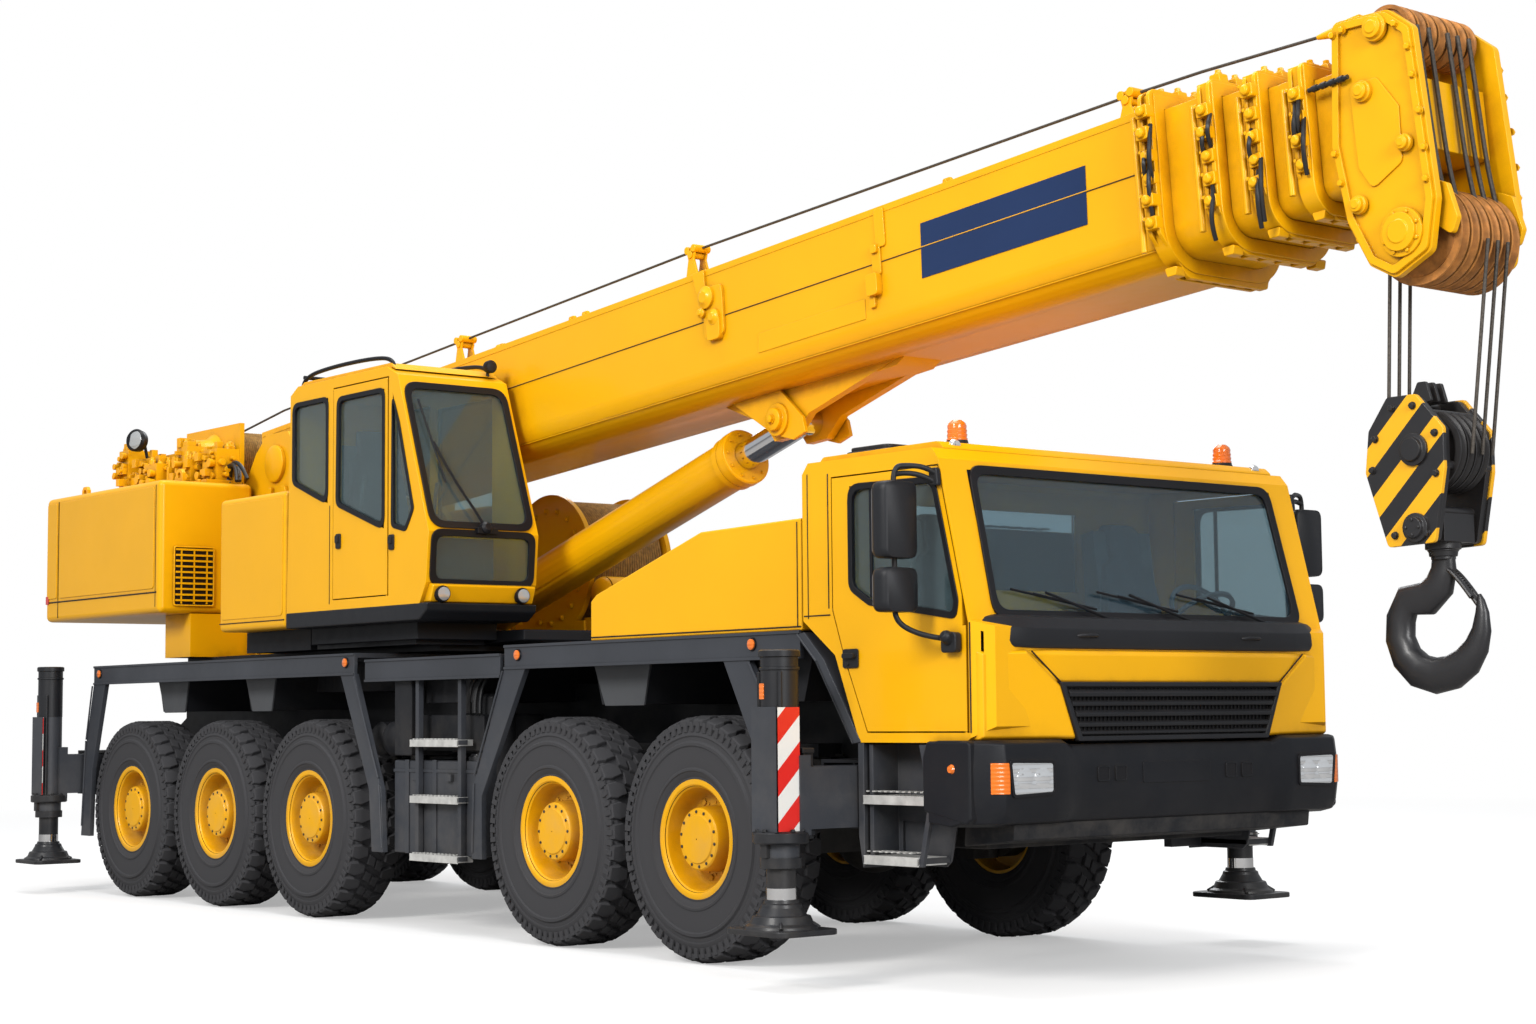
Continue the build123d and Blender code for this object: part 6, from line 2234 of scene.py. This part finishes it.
# ---------------------------------------------------------------- boom and hook
@dataclass
class Boom:
    """The telescopic boom: base, nested sections with their collars, head, rope, lugs and hoses."""

    half: float = 420.0
    top: float = 340.0
    bottom: float = -500.0
    fronts: tuple[float, ...] = (9430.0, 9790.0, 10060.0, 10320.0, 10600.0)
    step: float = 30.0
    seam: float = 14.0
    rope_y: float = -150.0
    rope_path: tuple[Flat, ...] = ((2276.0, 585.0), (5143.0, 600.0), (9007.0, 546.0))

    def section_body(self, number: int) -> str:
        """The body that carries a section, 0 for the base."""
        return "boom_base" if number == 0 else f"boom_section_{number}"

    def skins(self) -> None:
        """Base and sections with eased edges, and the weld lines along the base."""
        piece("boom_skin", Form().node("boom_base"), YELLOW, "boom_base", ["boom_base"], ease=9, steps=3)
        for number in range(1, 5):
            name = f"boom_section_{number}"
            piece(f"{name}_skin", Form().node(name), YELLOW, name, [name], ease=6)
        seams = Form()
        for side in (-1, 1):
            y = side * (self.half + 1)
            for up, thick in ((self.seam, 4), (300, 3)):
                seams.bar(boom_point(-430, y, up), boom_point(9320, y, up), thick, sides=8)
            low = boom_point(-430, side * 392, -412), boom_point(9320, side * 392, -412)
            seams.bar(*low, 4, sides=8)
        piece("boom_weld_lines", seams, YELLOW, "boom_base")
        shade = Form()
        for side in (-1, 1):
            y = side * (self.half + 2)
            shade.bar(boom_point(-430, y, self.seam - 6), boom_point(9320, y, self.seam - 6), 3, sides=6)
        piece("boom_weld_shade", shade, IRON, "boom_base")

    def sign(self) -> None:
        """The plain dark-blue plates near the boom's front, left blank."""
        plates = Form()
        for side in (-1, 1):
            outline = [(7560, -168), (8862, -168), (8878, 152), (7576, 152)]
            plates.prism(outline, *span(side * (self.half + 1), side * (self.half + 4)), View.BOOM)
        piece("boom_sign", plates, SIGN, "boom_base", ease=1)

    def pad(
        self, shape: Form, along: float, up: float, long: float, tall: float, thick: float, side: int
    ) -> None:
        """A flat boss with rounded corners on the base's side.

        Args:
            shape: the form it is added to.
            along: its middle along the boom.
            up: its middle up from the pivot line.
            long: its length.
            tall: its height.
            thick: how far it stands out.
            side: -1 for the right, 1 for the left.
        """
        a, t = long / 2, tall / 2
        outline = rounded(rect((along - a, along + a), (up - t, up + t)), min(a, t) * 0.5)
        shape.prism(outline, *span(side * (self.half - 2), side * (self.half + thick)), View.BOOM)

    def lugs(self) -> None:
        """Bosses, brackets and rope guides along the base."""
        shape, bolts = Form(), Bolts()
        for side in (-1, 1):
            y = side * (self.half + 36)
            self.pad(shape, 5640, 50, 200, 330, 22, side)
            self.pad(shape, 5650, -60, 130, 150, 40, side)
            for (along, up), size in (((5590, 150), 74), ((5660, 10), 52), ((5540, 60), 34)):
                a, b = boom_point(
                    along, side * (self.half + 10), up
                ), boom_point(along, side * (self.half + 62), up)
                shape.turned(a, b, [(0, size), (0.6, size), (0.75, size * 0.7), (1, size * 0.5)], 24)
            shape.prism(
                [(5440, 338), (5560, 338), (5570, 200), (5520, 120), (5470, 220)],
                *span(side * (self.half - 2), side * (self.half + 18)), View.BOOM,
            )
            for along, up, long, tall, thick in (
                (7232, 210, 84, 230, 12), (7190, 20, 74, 170, 14), (7170, -120, 96, 130, 48),
                (7190, 90, 50, 50, 34),
                (7140, -215, 46, 70, 20),
            ):
                self.pad(shape, along, up, long, tall, thick, side)
            shape.prism(
                [(6060, -178), (7062, -178), (7058, -300), (6048, -300)],
                *span(side * (self.half - 2), side * (self.half + 6)), View.BOOM,
            )
            shape.prism(
                [
                    (5640, -300), (5800, -330), (6160, -700), (6180, -800), (6060, -830), (5880, -770),
                    (5480, -500)
                ],
                *span(side * 168, side * 196), View.BOOM,
            )
            a, b = boom_point(5926, side * 192, -680), boom_point(5926, side * 250, -680)
            shape.turned(a, b, [(0, 104), (0.35, 104), (0.4, 72), (0.9, 72), (1, 62)], 36)
            bolts.at(boom_point(5926, side * 250, -680), (0, side, 0), 52, 26)
        shape.prism(
            [(5440, -498), (7080, -498), (7000, -540), (6280, -560), (5700, -560)], -150, 150, View.BOOM,
        )
        for along in (2700, 5150, 8950):
            shape.prism(
                [(along - 150, 336), (along + 150, 336), (along + 120, 366), (along - 120, 366)], -150, 150,
                View.BOOM,
            )
            for side in (-1, 1):
                shape.prism(
                    [(along - 70, 340), (along + 70, 340), (along + 34, 470), (along - 34, 470)],
                    *span(side * 110, side * 124), View.BOOM,
                )
                shape.turned(
                    boom_point(along, side * 122, 420), boom_point(along, side * 150, 420),
                    [(0, 44), (0.7, 44), (1, 28)], 24,
                )
        for along, up in self.rope_path:
            self.guide(shape, along, up)
        for along in (1100, 1300, 3900, 4060, 7700):
            self.top_lug(shape, along, 345, -300)
            self.top_lug(shape, along, 345, 300)
        piece("boom_lugs", shape, YELLOW, "boom_base", ease=6)
        piece("boom_bolts", bolts.mesh(YELLOW), YELLOW, "boom_base")

    def guide(self, shape: Form, along: float, up: float) -> None:
        """A tall rope guide on the boom's top: two cheeks, a foot and the roller under the rope.

        Args:
            shape: the form it is added to.
            along: its place along the boom.
            up: the rope's height over the pivot line.
        """
        foot = rect((along - 110, along + 110), (self.top - 4, self.top + 16))
        shape.prism(foot, self.rope_y - 80, self.rope_y + 80, View.BOOM)
        cheek = [
            (along - 84, self.top), (along + 84, self.top), (along + 30, up - 70), (along + 56, up + 4),
            (along + 20, up + 18),
            (along - 46, up + 2), (along - 30, up - 70),
        ]
        for low, high in ((-56, -40), (40, 56)):
            shape.prism(cheek, self.rope_y + low, self.rope_y + high, View.BOOM)
        for back, over in ((0, -38), (-30, -6), (40, -2)):
            a, b = boom_point(
                along + back, self.rope_y - 66, up + over
            ), boom_point(along + back, self.rope_y + 66, up + over)
            shape.bar(a, b, 26 if over < 0 else 11, sides=16)

    def top_lug(self, shape: Form, along: float, up: float, y: float) -> None:
        """A small eared lug on the boom's top."""
        shape.prism(
            rounded(
                [(along - 50, up - 8), (along + 50, up - 8), (along + 30, up + 60), (along - 30, up + 60)], 14
            ),
            y - 12, y + 12, View.BOOM,
        )
        shape.turned(
            boom_point(along, y - 26, up + 30), boom_point(along, y + 26, up + 30), [(0, 16), (1, 16)], 16
        )

    def collars(self) -> None:
        """The thick collars with their pads, pins and bolts at each section's front."""
        for number, front in enumerate(self.fronts[:-1]):
            inset = number * self.step
            half, top, low = self.half - inset, self.top - inset, self.bottom + inset
            rim = 44 if number == 0 else 30
            shape, bolts = Form(), Bolts()
            rng = random.Random(40 + number)
            for back, wide, out in ((-96, 26, rim + 26), (-34, 26, rim + 30)):
                corners = [
                    (-half - out, top + out), (half + out, top + out), (half + out, low + 150),
                    (half - 120, low - out), (120 - half, low - out), (-half - out, low + 150),
                ]
                outer = rounded(corners, 60, 5)
                inner = rounded(grown(corners, -(out + 4)), 40, 5)
                self.hoop(shape, outer, inner, front + back, front + back + wide)
            for side in (-1, 1):
                for up in range(int(low + 200), int(top - 30), 118):
                    y = side * (half + rim + 14)
                    thick = rng.uniform(26, 60)
                    shape.prism(
                        rounded(rect((front - 84, front - 6), (up - 34, up + 34)), 12),
                        *span(side * (half + 20), y + side * thick), View.BOOM,
                    )
                    shape.turned(
                        boom_point(front - 44, y + side * (thick - 4), up),
                        boom_point(front - 44, y + side * (thick + 26), up),
                        [(0, 27), (0.7, 27), (1, 16)], 18,
                    )
                    bolts.at(boom_point(front - 74, y + side * thick, up + 24), (0, side, 0), 20, 14)
                shape.bar(
                    boom_point(front - 120, side * (half + rim + 34), low + 60),
                    boom_point(front - 120, side * (half + rim + 34), top - 60), 17, sides=14,
                )
            for y in range(-int(half) + 70, int(half) - 40, 130):
                high = rng.uniform(26, 74)
                shape.prism(
                    rounded(
                        [
                            (front - 90, top + 18), (front - 4, top + 18), (front - 14, top + 40 + high),
                            (front - 80, top + 40 + high)
                        ],
                        12
                    ),
                    y - 34, y + 34, View.BOOM,
                )
                bolts.at(
                    boom_point(front - 47, y, top + 40 + high),
                    (-math.sin(BOOM_ANGLE), 0, math.cos(BOOM_ANGLE)), 34, 26
                )
                shape.prism(
                    rounded(
                        [
                            (front - 92, low - 16), (front - 6, low - 16), (front - 20, low - 64),
                            (front - 78, low - 64)
                        ],
                        12
                    ),
                    y - 40, y + 40, View.BOOM,
                )
            piece(f"collar_{number}", shape, YELLOW, self.section_body(number), ease=5)
            piece(f"collar_bolts_{number}", bolts.mesh(YELLOW), YELLOW, self.section_body(number))
            hoses = []
            for side in (-1, 1):
                y = side * (half + rim + 58)
                for k in range(3):
                    start = rng.uniform(low + 260, top - 60)
                    drop = rng.uniform(120, 330)
                    hoses.append([
                        boom_point(front - 60 + 22 * k, y - side * 30, start),
                        boom_point(front - 34 + 22 * k, y + side * rng.uniform(6, 26), start - drop * 0.3),
                        boom_point(front - 50 + 22 * k, y + side * rng.uniform(6, 26), start - drop * 0.7),
                        boom_point(front - 70 + 22 * k, y - side * 30, start - drop),
                    ])
            piece(f"collar_hoses_{number}", runs(hoses, 12, HOSE), HOSE, self.section_body(number))

    def hoop(
        self, shape: Form, outer: Sequence[Flat], inner: Sequence[Flat], low: float, high: float
    ) -> None:
        """A band round the boom between two places along it."""
        count = len(outer)
        rows = [
            [shape.mesh.verts.new(place(*boom_point(along, y, up))) for y, up in outline]
            for outline, along in ((outer, low), (outer, high), (inner, high), (inner, low))
        ]
        for row in range(4):
            above = (row + 1) % 4
            for k in range(count):
                j = (k + 1) % count
                shape.mesh.faces.new((rows[row][k], rows[row][j], rows[above][j], rows[above][k]))

    def chain(self) -> None:
        """The black extension chain on each side of the nested collars."""
        for side in (-1, 1):
            body = self.section_body(4)
            shape = Form()
            y = side * 372
            for k in range(9):
                along = 10350 + 26 * k
                a, b = boom_point(along - 15, y, 150), boom_point(along + 15, y, 152)
                shape.bar(a, b, 17 if k % 2 else 12, sides=12)
            piece(f"extension_chain_{'right' if side < 0 else 'left'}", shape, HOSE, body)

    def head(self) -> None:
        """Cheek plates, pins, sheaves, guards and bolts at the boom's end."""
        body = "boom_section_4"
        inner = self.half - 4 * self.step
        plates = Form()
        outline = [
            (10485, 452), (10812, 420), (10945, 300), (10985, -543), (10925, -785), (10715, -872),
            (10575, -780),
            (10470, -544), (10420, -159),
        ]
        hollow = [(10560, 120), (10720, 110), (10830, -60), (10820, -330), (10640, -420), (10570, -300)]
        for side in (-1, 1):
            low, high = span(side * (inner + 2), side * (inner + 44))
            plates.prism(rounded(outline, 50, 4), low, high, View.BOOM)
            face = span(side * (inner + 42), side * (inner + 62))
            rim = rounded(grown(outline, -14), 46, 4)
            plates_inner = rounded(grown(outline, -52), 36, 4)
            self.flat_ring(plates, rim, plates_inner, *face)
            plates.prism(rounded(hollow, 40), *span(side * (inner + 42), side * (inner + 54)), View.BOOM)
            for (along, up), size in (
                ((10787, -668), 118), ((10745, 345), 66), ((10640, 60), 52), ((10560, -480), 46),
                ((10850, -250), 42)
            ):
                a, b = boom_point(along, side * (inner + 50), up), boom_point(along, side * (inner + 104), up)
                plates.turned(
                    a, b,
                    [
                        (0, size), (0.45, size), (0.5, size * 0.78), (0.85, size * 0.78), (0.9, size * 0.5),
                        (1, size * 0.46)
                    ],
                    36
                )
        piece("head_plates", plates, YELLOW, body, ease=6)
        bolts = Bolts()
        for side in (-1, 1):
            y = side * (inner + 74)
            bolts.circle(boom_point(10787, y, -668), (0, side, 0), 98, 8, 22)
            for along, up in (
                (10500, 380), (10560, 390), (10860, 330), (10920, 200), (10930, 60), (10950, -120),
                (10955, -300), (10950, -450), (10450, -200), (10470, -350)
            ):
                bolts.at(boom_point(along, side * (inner + 60), up), (0, side, 0), 32, 22)
        piece("head_bolts", bolts.mesh(YELLOW), YELLOW, body)
        sheaves = Form()
        for (along, up), radius, places in (
            ((10787, -668), 240, (-200, -120, -40, 40, 120, 200)),
            ((10745, 345), 128, (-240, -160, -80, 0, 80, 160, 240)),
        ):
            for y in places:
                a, b = boom_point(along, y - 33, up), boom_point(along, y + 33, up)
                sheaves.turned(
                    a, b,
                    [(0, radius * 0.3), (0, radius * 0.42), (0.18, radius * 0.44), (0.2, radius * 0.8),
                     (0.02, radius * 0.84),
                     (0.0, radius * 0.99), (0.14, radius), (0.36, radius - 24), (0.64, radius - 24),
                     (0.86, radius),
                     (1, radius * 0.99), (0.98, radius * 0.84), (0.8, radius * 0.8), (0.82, radius * 0.44),
                     (1, radius * 0.42), (1, radius * 0.3)],
                    56, closed=False,
                )
        piece("head_sheaves", sheaves, SHEAVE, body, ["boom_head"])
        box = Form()
        box.prism(rect((10590, 10850), (70, -250)), -inner, inner, View.BOOM)
        box.prism(rect((10846, 10864), (96, -250)), -inner, inner, View.BOOM)
        box.prism([(10500, 300), (10600, 340), (10600, -420), (10440, -420)], -inner, inner, View.BOOM)
        for along, up in ((10560, 420), (10640, -800), (10500, -620)):
            box.bar(boom_point(along, -inner, up), boom_point(along, inner, up), 26, sides=18)
        box.bar(boom_point(10787, -inner - 30, -668), boom_point(10787, inner + 30, -668), 62)
        box.bar(boom_point(10745, -inner - 30, 345), boom_point(10745, inner + 30, 345), 50)
        piece("head_box", box, YELLOW, body, ease=5)
        ropes = [
            [
                boom_point(10876, y, 345), boom_point(10884, y + 10, 60), boom_point(10902, y + 16, -400),
                boom_point(10940, y + 20, -600)
            ]
            for y in (-210, -120, 30, 110, 200)
        ]
        piece("head_ropes", runs(ropes, 12, ROPE, 8), ROPE, body)
        tip = Form()
        for y in (-260, 260):
            tip.prism(
                rounded([(10905, -420), (11000, -470), (11040, -640), (11000, -720), (10900, -640)], 24),
                y - 18, y + 18, View.BOOM,
            )
        piece("head_lugs", tip, YELLOW, body, ease=5)

    def flat_ring(
        self, shape: Form, outer: Sequence[Flat], inner: Sequence[Flat], low: float, high: float
    ) -> None:
        """A raised border on a side plate, drawn in the boom's own view."""
        shape.ring(outer, inner, low, high, View.BOOM)

    def rope(self) -> None:
        """The hoist rope along the boom's top, from the tail winch over the guides to the head."""
        y = self.rope_y
        start, last = boom_point(-560, y, 566), boom_point(9500, y, 530)
        top = [start, *(boom_point(along, y, up) for along, up in self.rope_path), last]
        piece("rope_tail", runs([[(-7950, y, 3862), start]], 9, ROPE, 8, soft=False), ROPE, "superstructure")
        piece("rope_top", runs([top], 9, ROPE, 8, soft=False), ROPE, "boom_base")
        end = [last, boom_point(10420, y, 474)]
        piece("rope_front", runs([end], 9, ROPE, 8, soft=False), ROPE, "boom_section_4")
        socket = Form()
        socket.turned(
            boom_point(10250, y, 484), boom_point(10440, y, 473), [(0, 12), (0.5, 26), (0.8, 30), (1, 30)], 16
        )
        socket.prism([(10420, 430), (10520, 420), (10540, 510), (10420, 505)], y - 44, y + 44, View.BOOM)
        piece("rope_socket", socket, YELLOW, "boom_section_4", ease=4)

    def lift(self) -> None:
        """The lift cylinder: painted barrel with its collars, and the bright rod."""
        piece(
            "lift_skin", Form().node("lift_barrel"), YELLOW, "lift_barrel", ["lift_barrel"], ease=8, steps=3
        )
        foot, head = Vector((-4600, 0, 2060)), Vector(boom_point(5926, 0, -680))
        unit = (head - foot).normalized()
        collar = Form()
        for low, high, radius in ((3400, 3455, 182), (3470, 3538, 188), (160, 230, 176)):
            collar.turned(
                tuple(foot + unit * low), tuple(foot + unit * high),
                [(0, 160), (0.08, radius), (0.92, radius), (1, 160)], 48,
            )
        piece("lift_collars", collar, YELLOW, "lift_barrel")
        bolts = Bolts()
        bolts.circle(tuple(foot + unit * 3540), tuple(unit), 150, 10, 18)
        piece("lift_bolts", bolts.mesh(YELLOW), YELLOW, "lift_barrel")
        dress(CHROME, "lift_rod")

    def build(self) -> None:
        """Dress the boom."""
        self.skins()
        self.sign()
        self.lugs()
        self.collars()
        self.chain()
        self.head()
        self.rope()
        self.lift()


@dataclass
class Hook:
    """The hook block with its hazard plates, sheaves and forged hook, and the rope falls above it."""

    x: float = 4120.0
    sheave_z: float = 2620.0

    def falls(self) -> None:
        """The rope falls as twisted wire."""
        dress(ROPE, "rope_falls")

    def block(self) -> None:
        """Side plates, guards, sheaves, pins and bolts."""
        outline = [
            (self.x + dx, z) for dx, z in (
                (-150, 2885), (15, 2885), (165, 2715), (165, 2520), (100, 2175), (-165, 2165), (-285, 2530),
                (-262, 2730),
            )
        ]
        plate = Form()
        plate.prism(rounded(outline, 26, 4), -204, -178)
        piece("block_plate_right", plate, WARNING, "hook_block", ["hook_block"], ease=4)
        far = Form()
        far.prism(rounded(outline, 26, 4), 178, 204)
        piece("block_plate_left", far, WARNING, "hook_block", ease=4)
        guts = Form()
        for side in (-1, 1):
            guts.prism(rounded(grown(outline, -10), 26, 4), *span(side * 140, side * 178))
        for dx, z, r in (
            (-110, 2850, 22), (60, 2790, 22), (-240, 2560, 22), (140, 2540, 22), (-60, 2330, 24),
            (60, 2330, 24)
        ):
            guts.bar((self.x + dx, -180, z), (self.x + dx, 180, z), r, sides=16)
        guts.bar((self.x, -214, 2250), (self.x, 214, 2250), 62)
        guts.box((self.x - 95, self.x + 95), (-120, 120), (2185, 2320))
        guts.turned((self.x, 0, 2190), (self.x, 0, 2120), [(0, 85), (0.5, 85), (0.6, 70), (1, 66)], 28)
        for y in (-60, 0, 60):
            guts.prism(
                rounded(
                    [(self.x - 120, 2860), (self.x + 10, 2860), (self.x - 20, 2960), (self.x - 70, 2960)], 14
                ), y - 9, y + 9,
            )
        piece("block_frame", guts, STEEL, "hook_block", ease=4)
        wheels = Form()
        for y in (-90, -30, 30, 90):
            wheels.turned(
                (self.x, y - 25, self.sheave_z), (self.x, y + 25, self.sheave_z),
                [(0, 60), (0, 90), (0.2, 92), (0.2, 160), (0, 168), (0, 198), (0.12, 200), (0.36, 180),
                 (0.64, 180), (0.88, 200), (1, 198), (1, 168), (0.8, 160), (0.8, 92), (1, 90), (1, 60)],
                48, closed=False,
            )
        piece("block_sheaves", wheels, STEEL, "hook_block")
        caps = Form()
        for side in (-1, 1):
            for z, r in ((2250, 70), (self.sheave_z, 78)):
                a, b = (self.x, side * 200, z), (self.x, side * 240, z)
                caps.turned(a, b, [(0, r), (0.5, r), (0.55, r * 0.75), (1, r * 0.7)], 32)
        piece("block_caps", caps, STEEL, "hook_block", ease=3)
        bolts = Bolts()
        for side in (-1, 1):
            for dx, z in (
                (-120, 2830), (0, 2830), (120, 2690), (-220, 2690), (-240, 2540), (120, 2500), (-120, 2220),
                (60, 2220)
            ):
                bolts.at((self.x + dx, side * 204, z), (0, side, 0), 30, 20)
            bolts.circle((self.x, side * 238, 2250), (0, side, 0), 36, 4, 16)
        piece("block_bolts", bolts.mesh(STEEL), STEEL, "hook_block")

    def forged(self) -> None:
        """The forged hook: a tapering bow swept round its mouth, with its safety latch."""
        middle = (self.x - 60.0, 1765.0)
        spine = [
            (self.x, 2130, 58, 58), (self.x, 2060, 66, 66), (self.x - 25, 1985, 78, 78),
            (self.x - 95, 1925, 84, 84),
        ]
        for degrees, radius, thick, deep in (
            (140, 222, 80, 82), (165, 222, 76, 88), (190, 224, 76, 94), (215, 226, 80, 98),
            (240, 226, 86, 100),
            (265, 222, 88, 98), (290, 218, 84, 92), (315, 220, 76, 82), (338, 228, 62, 68),
            (358, 240, 48, 56),
            (16, 256, 34, 42), (28, 272, 20, 28), (34, 282, 8, 12),
        ):
            a = math.radians(degrees)
            spine.append(
                (middle[0] + 20 + radius * math.cos(a), middle[1] + 10 + radius * math.sin(a), thick, deep)
            )
        sections = []
        for k, (x, z, thick, deep) in enumerate(spine):
            before, after = spine[max(0, k - 1)], spine[min(len(spine) - 1, k + 1)]
            run = Vector((after[0] - before[0], after[1] - before[1])).normalized()
            across = Vector((-run.y, run.x))
            ring = []
            for step in range(18):
                t = 2 * math.pi * step / 18
                reach = math.cos(t) * thick
                squash = math.copysign(abs(math.sin(t)) ** 0.85, math.sin(t)) * deep * 0.62
                ring.append((x + across.x * reach, squash, z + across.y * reach))
            sections.append(ring)
        piece("forged_hook", Form().loft(sections), STEEL, "hook", ["hook"], smooth=60)
        details = Form()
        details.turned(
            (self.x, 0, 2185), (self.x, 0, 2105), [(0, 50), (0.1, 74), (0.5, 74), (0.6, 58), (1, 58)], 28
        )
        piece("hook_nut", details, STEEL, "hook", ease=3)
        latch = [
            [
                (self.x + 40, 0, 2055), (self.x + 90, 0, 2010), (self.x + 150, 0, 1930),
                (self.x + 185, 0, 1885)
            ],
            [(self.x + 30, -22, 2060), (self.x + 75, -22, 2040), (self.x + 165, -22, 1920)],
            [(self.x + 30, 22, 2060), (self.x + 75, 22, 2040), (self.x + 165, 22, 1920)],
        ]
        piece("hook_latch", runs(latch, 13, STEEL, 10), STEEL, "hook")
        spring = []
        for k in range(60):
            t = k / 59
            a = t * 2 * math.pi * 8
            x, z = self.x + 62 + 80 * t, 2040 - 90 * t
            spring.append((x + 14 * math.cos(a) * 0.7, 14 * math.sin(a), z + 14 * math.cos(a) * 0.7))
        piece("hook_spring", runs([spring], 4, STEEL, 6), STEEL, "hook")

    def build(self) -> None:
        """Dress block and hook."""
        self.falls()
        self.block()
        self.forged()


# ---------------------------------------------------------------- studio
@dataclass
class Studio:
    """A pale floor, soft lamps and the camera."""

    eye: Point = (11201.5, -9886.2, 1393.0)
    azimuth: float = 50.958
    elevation: float = -4.7305
    roll: float = -0.534
    focal: float = 57.76

    def floor(self) -> None:
        """A wide pale floor that runs into the background."""
        mesh = bpy.data.meshes.new("studio_floor")
        reach = 220.0
        mesh.from_pydata(
            [(-reach, -reach, 0), (reach, -reach, 0), (reach, reach, 0), (-reach, reach, 0)], [],
            [(0, 1, 2, 3)]
        )
        graph = Graph("studio_floor")
        seen = graph.add("LightPath").outputs["Is Camera Ray"]
        tone = graph.mix(seen, (0.34, 0.33, 0.32), (0.97, 0.97, 0.97))
        plain = graph.add("BsdfDiffuse", Color=tone)
        white = graph.add("Emission", Color=(1.0, 1.0, 1.0, 1.0), Strength=1.0)
        away = graph.add("VectorMath", {"operation": "LENGTH"}, in0=graph.place()).outputs["Value"]
        share = graph.math("MULTIPLY_ADD", graph.ramp(away, 8.0, 26.0), 0.62, 0.38)
        far = graph.math("MULTIPLY", share, seen)
        both = graph.add("MixShader", in0=far, in1=plain.outputs[0], in2=white.outputs[0])
        mesh.materials.append(graph.finish(both.outputs[0]))
        floor = bpy.data.objects.new("studio_floor", mesh)
        bpy.context.scene.collection.objects.link(floor)

    def world(self) -> None:
        """Even pale light from all round, white where it is looked at."""
        world = bpy.data.worlds.new("studio")
        bpy.context.scene.world = world
        world.use_nodes = True
        nodes, links = world.node_tree.nodes, world.node_tree.links
        nodes.clear()
        out = nodes.new("ShaderNodeOutputWorld")
        soft, seen = nodes.new("ShaderNodeBackground"), nodes.new("ShaderNodeBackground")
        soft.inputs[0].default_value, soft.inputs[1].default_value = (0.95, 0.97, 1.0, 1), 0.52
        seen.inputs[0].default_value, seen.inputs[1].default_value = (1, 1, 1, 1), 1.0
        path = nodes.new("ShaderNodeLightPath")
        either = nodes.new("ShaderNodeMath")
        either.operation = "MAXIMUM"
        links.new(path.outputs["Is Camera Ray"], either.inputs[0])
        links.new(path.outputs["Is Transmission Ray"], either.inputs[1])
        mix = nodes.new("ShaderNodeMixShader")
        links.new(either.outputs[0], mix.inputs[0])
        links.new(soft.outputs[0], mix.inputs[1])
        links.new(seen.outputs[0], mix.inputs[2])
        links.new(mix.outputs[0], out.inputs[0])

    def lamp(
        self, name: str, eye: Point, aim: Point, power: float, size: float, tone: Colour = (1, 1, 1)
    ) -> None:
        """A square soft lamp.

        Args:
            name: its name.
            eye: where it stands, in metres.
            aim: what it looks at, in metres.
            power: its power in watts.
            size: the length of its side in metres.
            tone: its colour.
        """
        data = bpy.data.lights.new(name, "AREA")
        data.energy, data.size, data.color = power, size, tone
        thing = bpy.data.objects.new(name, data)
        thing.location = eye
        thing.rotation_euler = (Vector(aim) - Vector(eye)).to_track_quat("-Z", "Y").to_euler()
        bpy.context.scene.collection.objects.link(thing)

    def camera(self) -> None:
        """The camera at its place, aimed by its two angles and its roll."""
        a, e = math.radians(self.azimuth), math.radians(self.elevation)
        back = Vector((math.sin(a) * math.cos(e), -math.cos(a) * math.cos(e), math.sin(e)))
        right = (-back).cross(Vector((0, 0, 1))).normalized()
        up = right.cross(-back)
        c, s = math.cos(math.radians(self.roll)), math.sin(math.radians(self.roll))
        right, up = right * c + up * s, up * c - right * s
        turn = Matrix((right, up, back)).transposed().to_4x4()
        data = bpy.data.cameras.new("camera")
        data.lens, data.sensor_width = self.focal, 36.0
        data.clip_start, data.clip_end = 0.1, 500.0
        thing = bpy.data.objects.new("camera", data)
        thing.matrix_world = Matrix.Translation(place(*self.eye)) @ turn
        bpy.context.scene.collection.objects.link(thing)
        bpy.context.scene.camera = thing

    def build(self) -> None:
        """Set the scene."""
        self.floor()
        self.world()
        self.lamp("key", (7, -23, 15), (-1, 0, 2), 5300, 8.0, (1.0, 0.98, 0.95))
        self.lamp("front", (24, -6, 9), (3, 0, 2), 3000, 8.0)
        self.lamp("top", (-2, 0, 20), (-1, 0, 0), 2300, 12.0)
        self.lamp("back", (-16, 16, 12), (-2, 0, 2), 1200, 9.0, (0.95, 0.97, 1.0))
        bpy.context.scene.view_settings.view_transform = "Standard"
        self.camera()


def main() -> None:
    """Dress every sub-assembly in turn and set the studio."""
    logging.basicConfig(level=logging.INFO, format="%(name)s: %(message)s")
    for assembly in (
        Wheels(), Chassis(), DriverCab(), EngineCover(), UpperMachine(), OperatorCab(), Boom(), Hook(),
        Studio(),
    ):
        LOG.info("building %s", type(assembly).__name__)
        assembly.build()


if __name__ == "__main__":
    main()
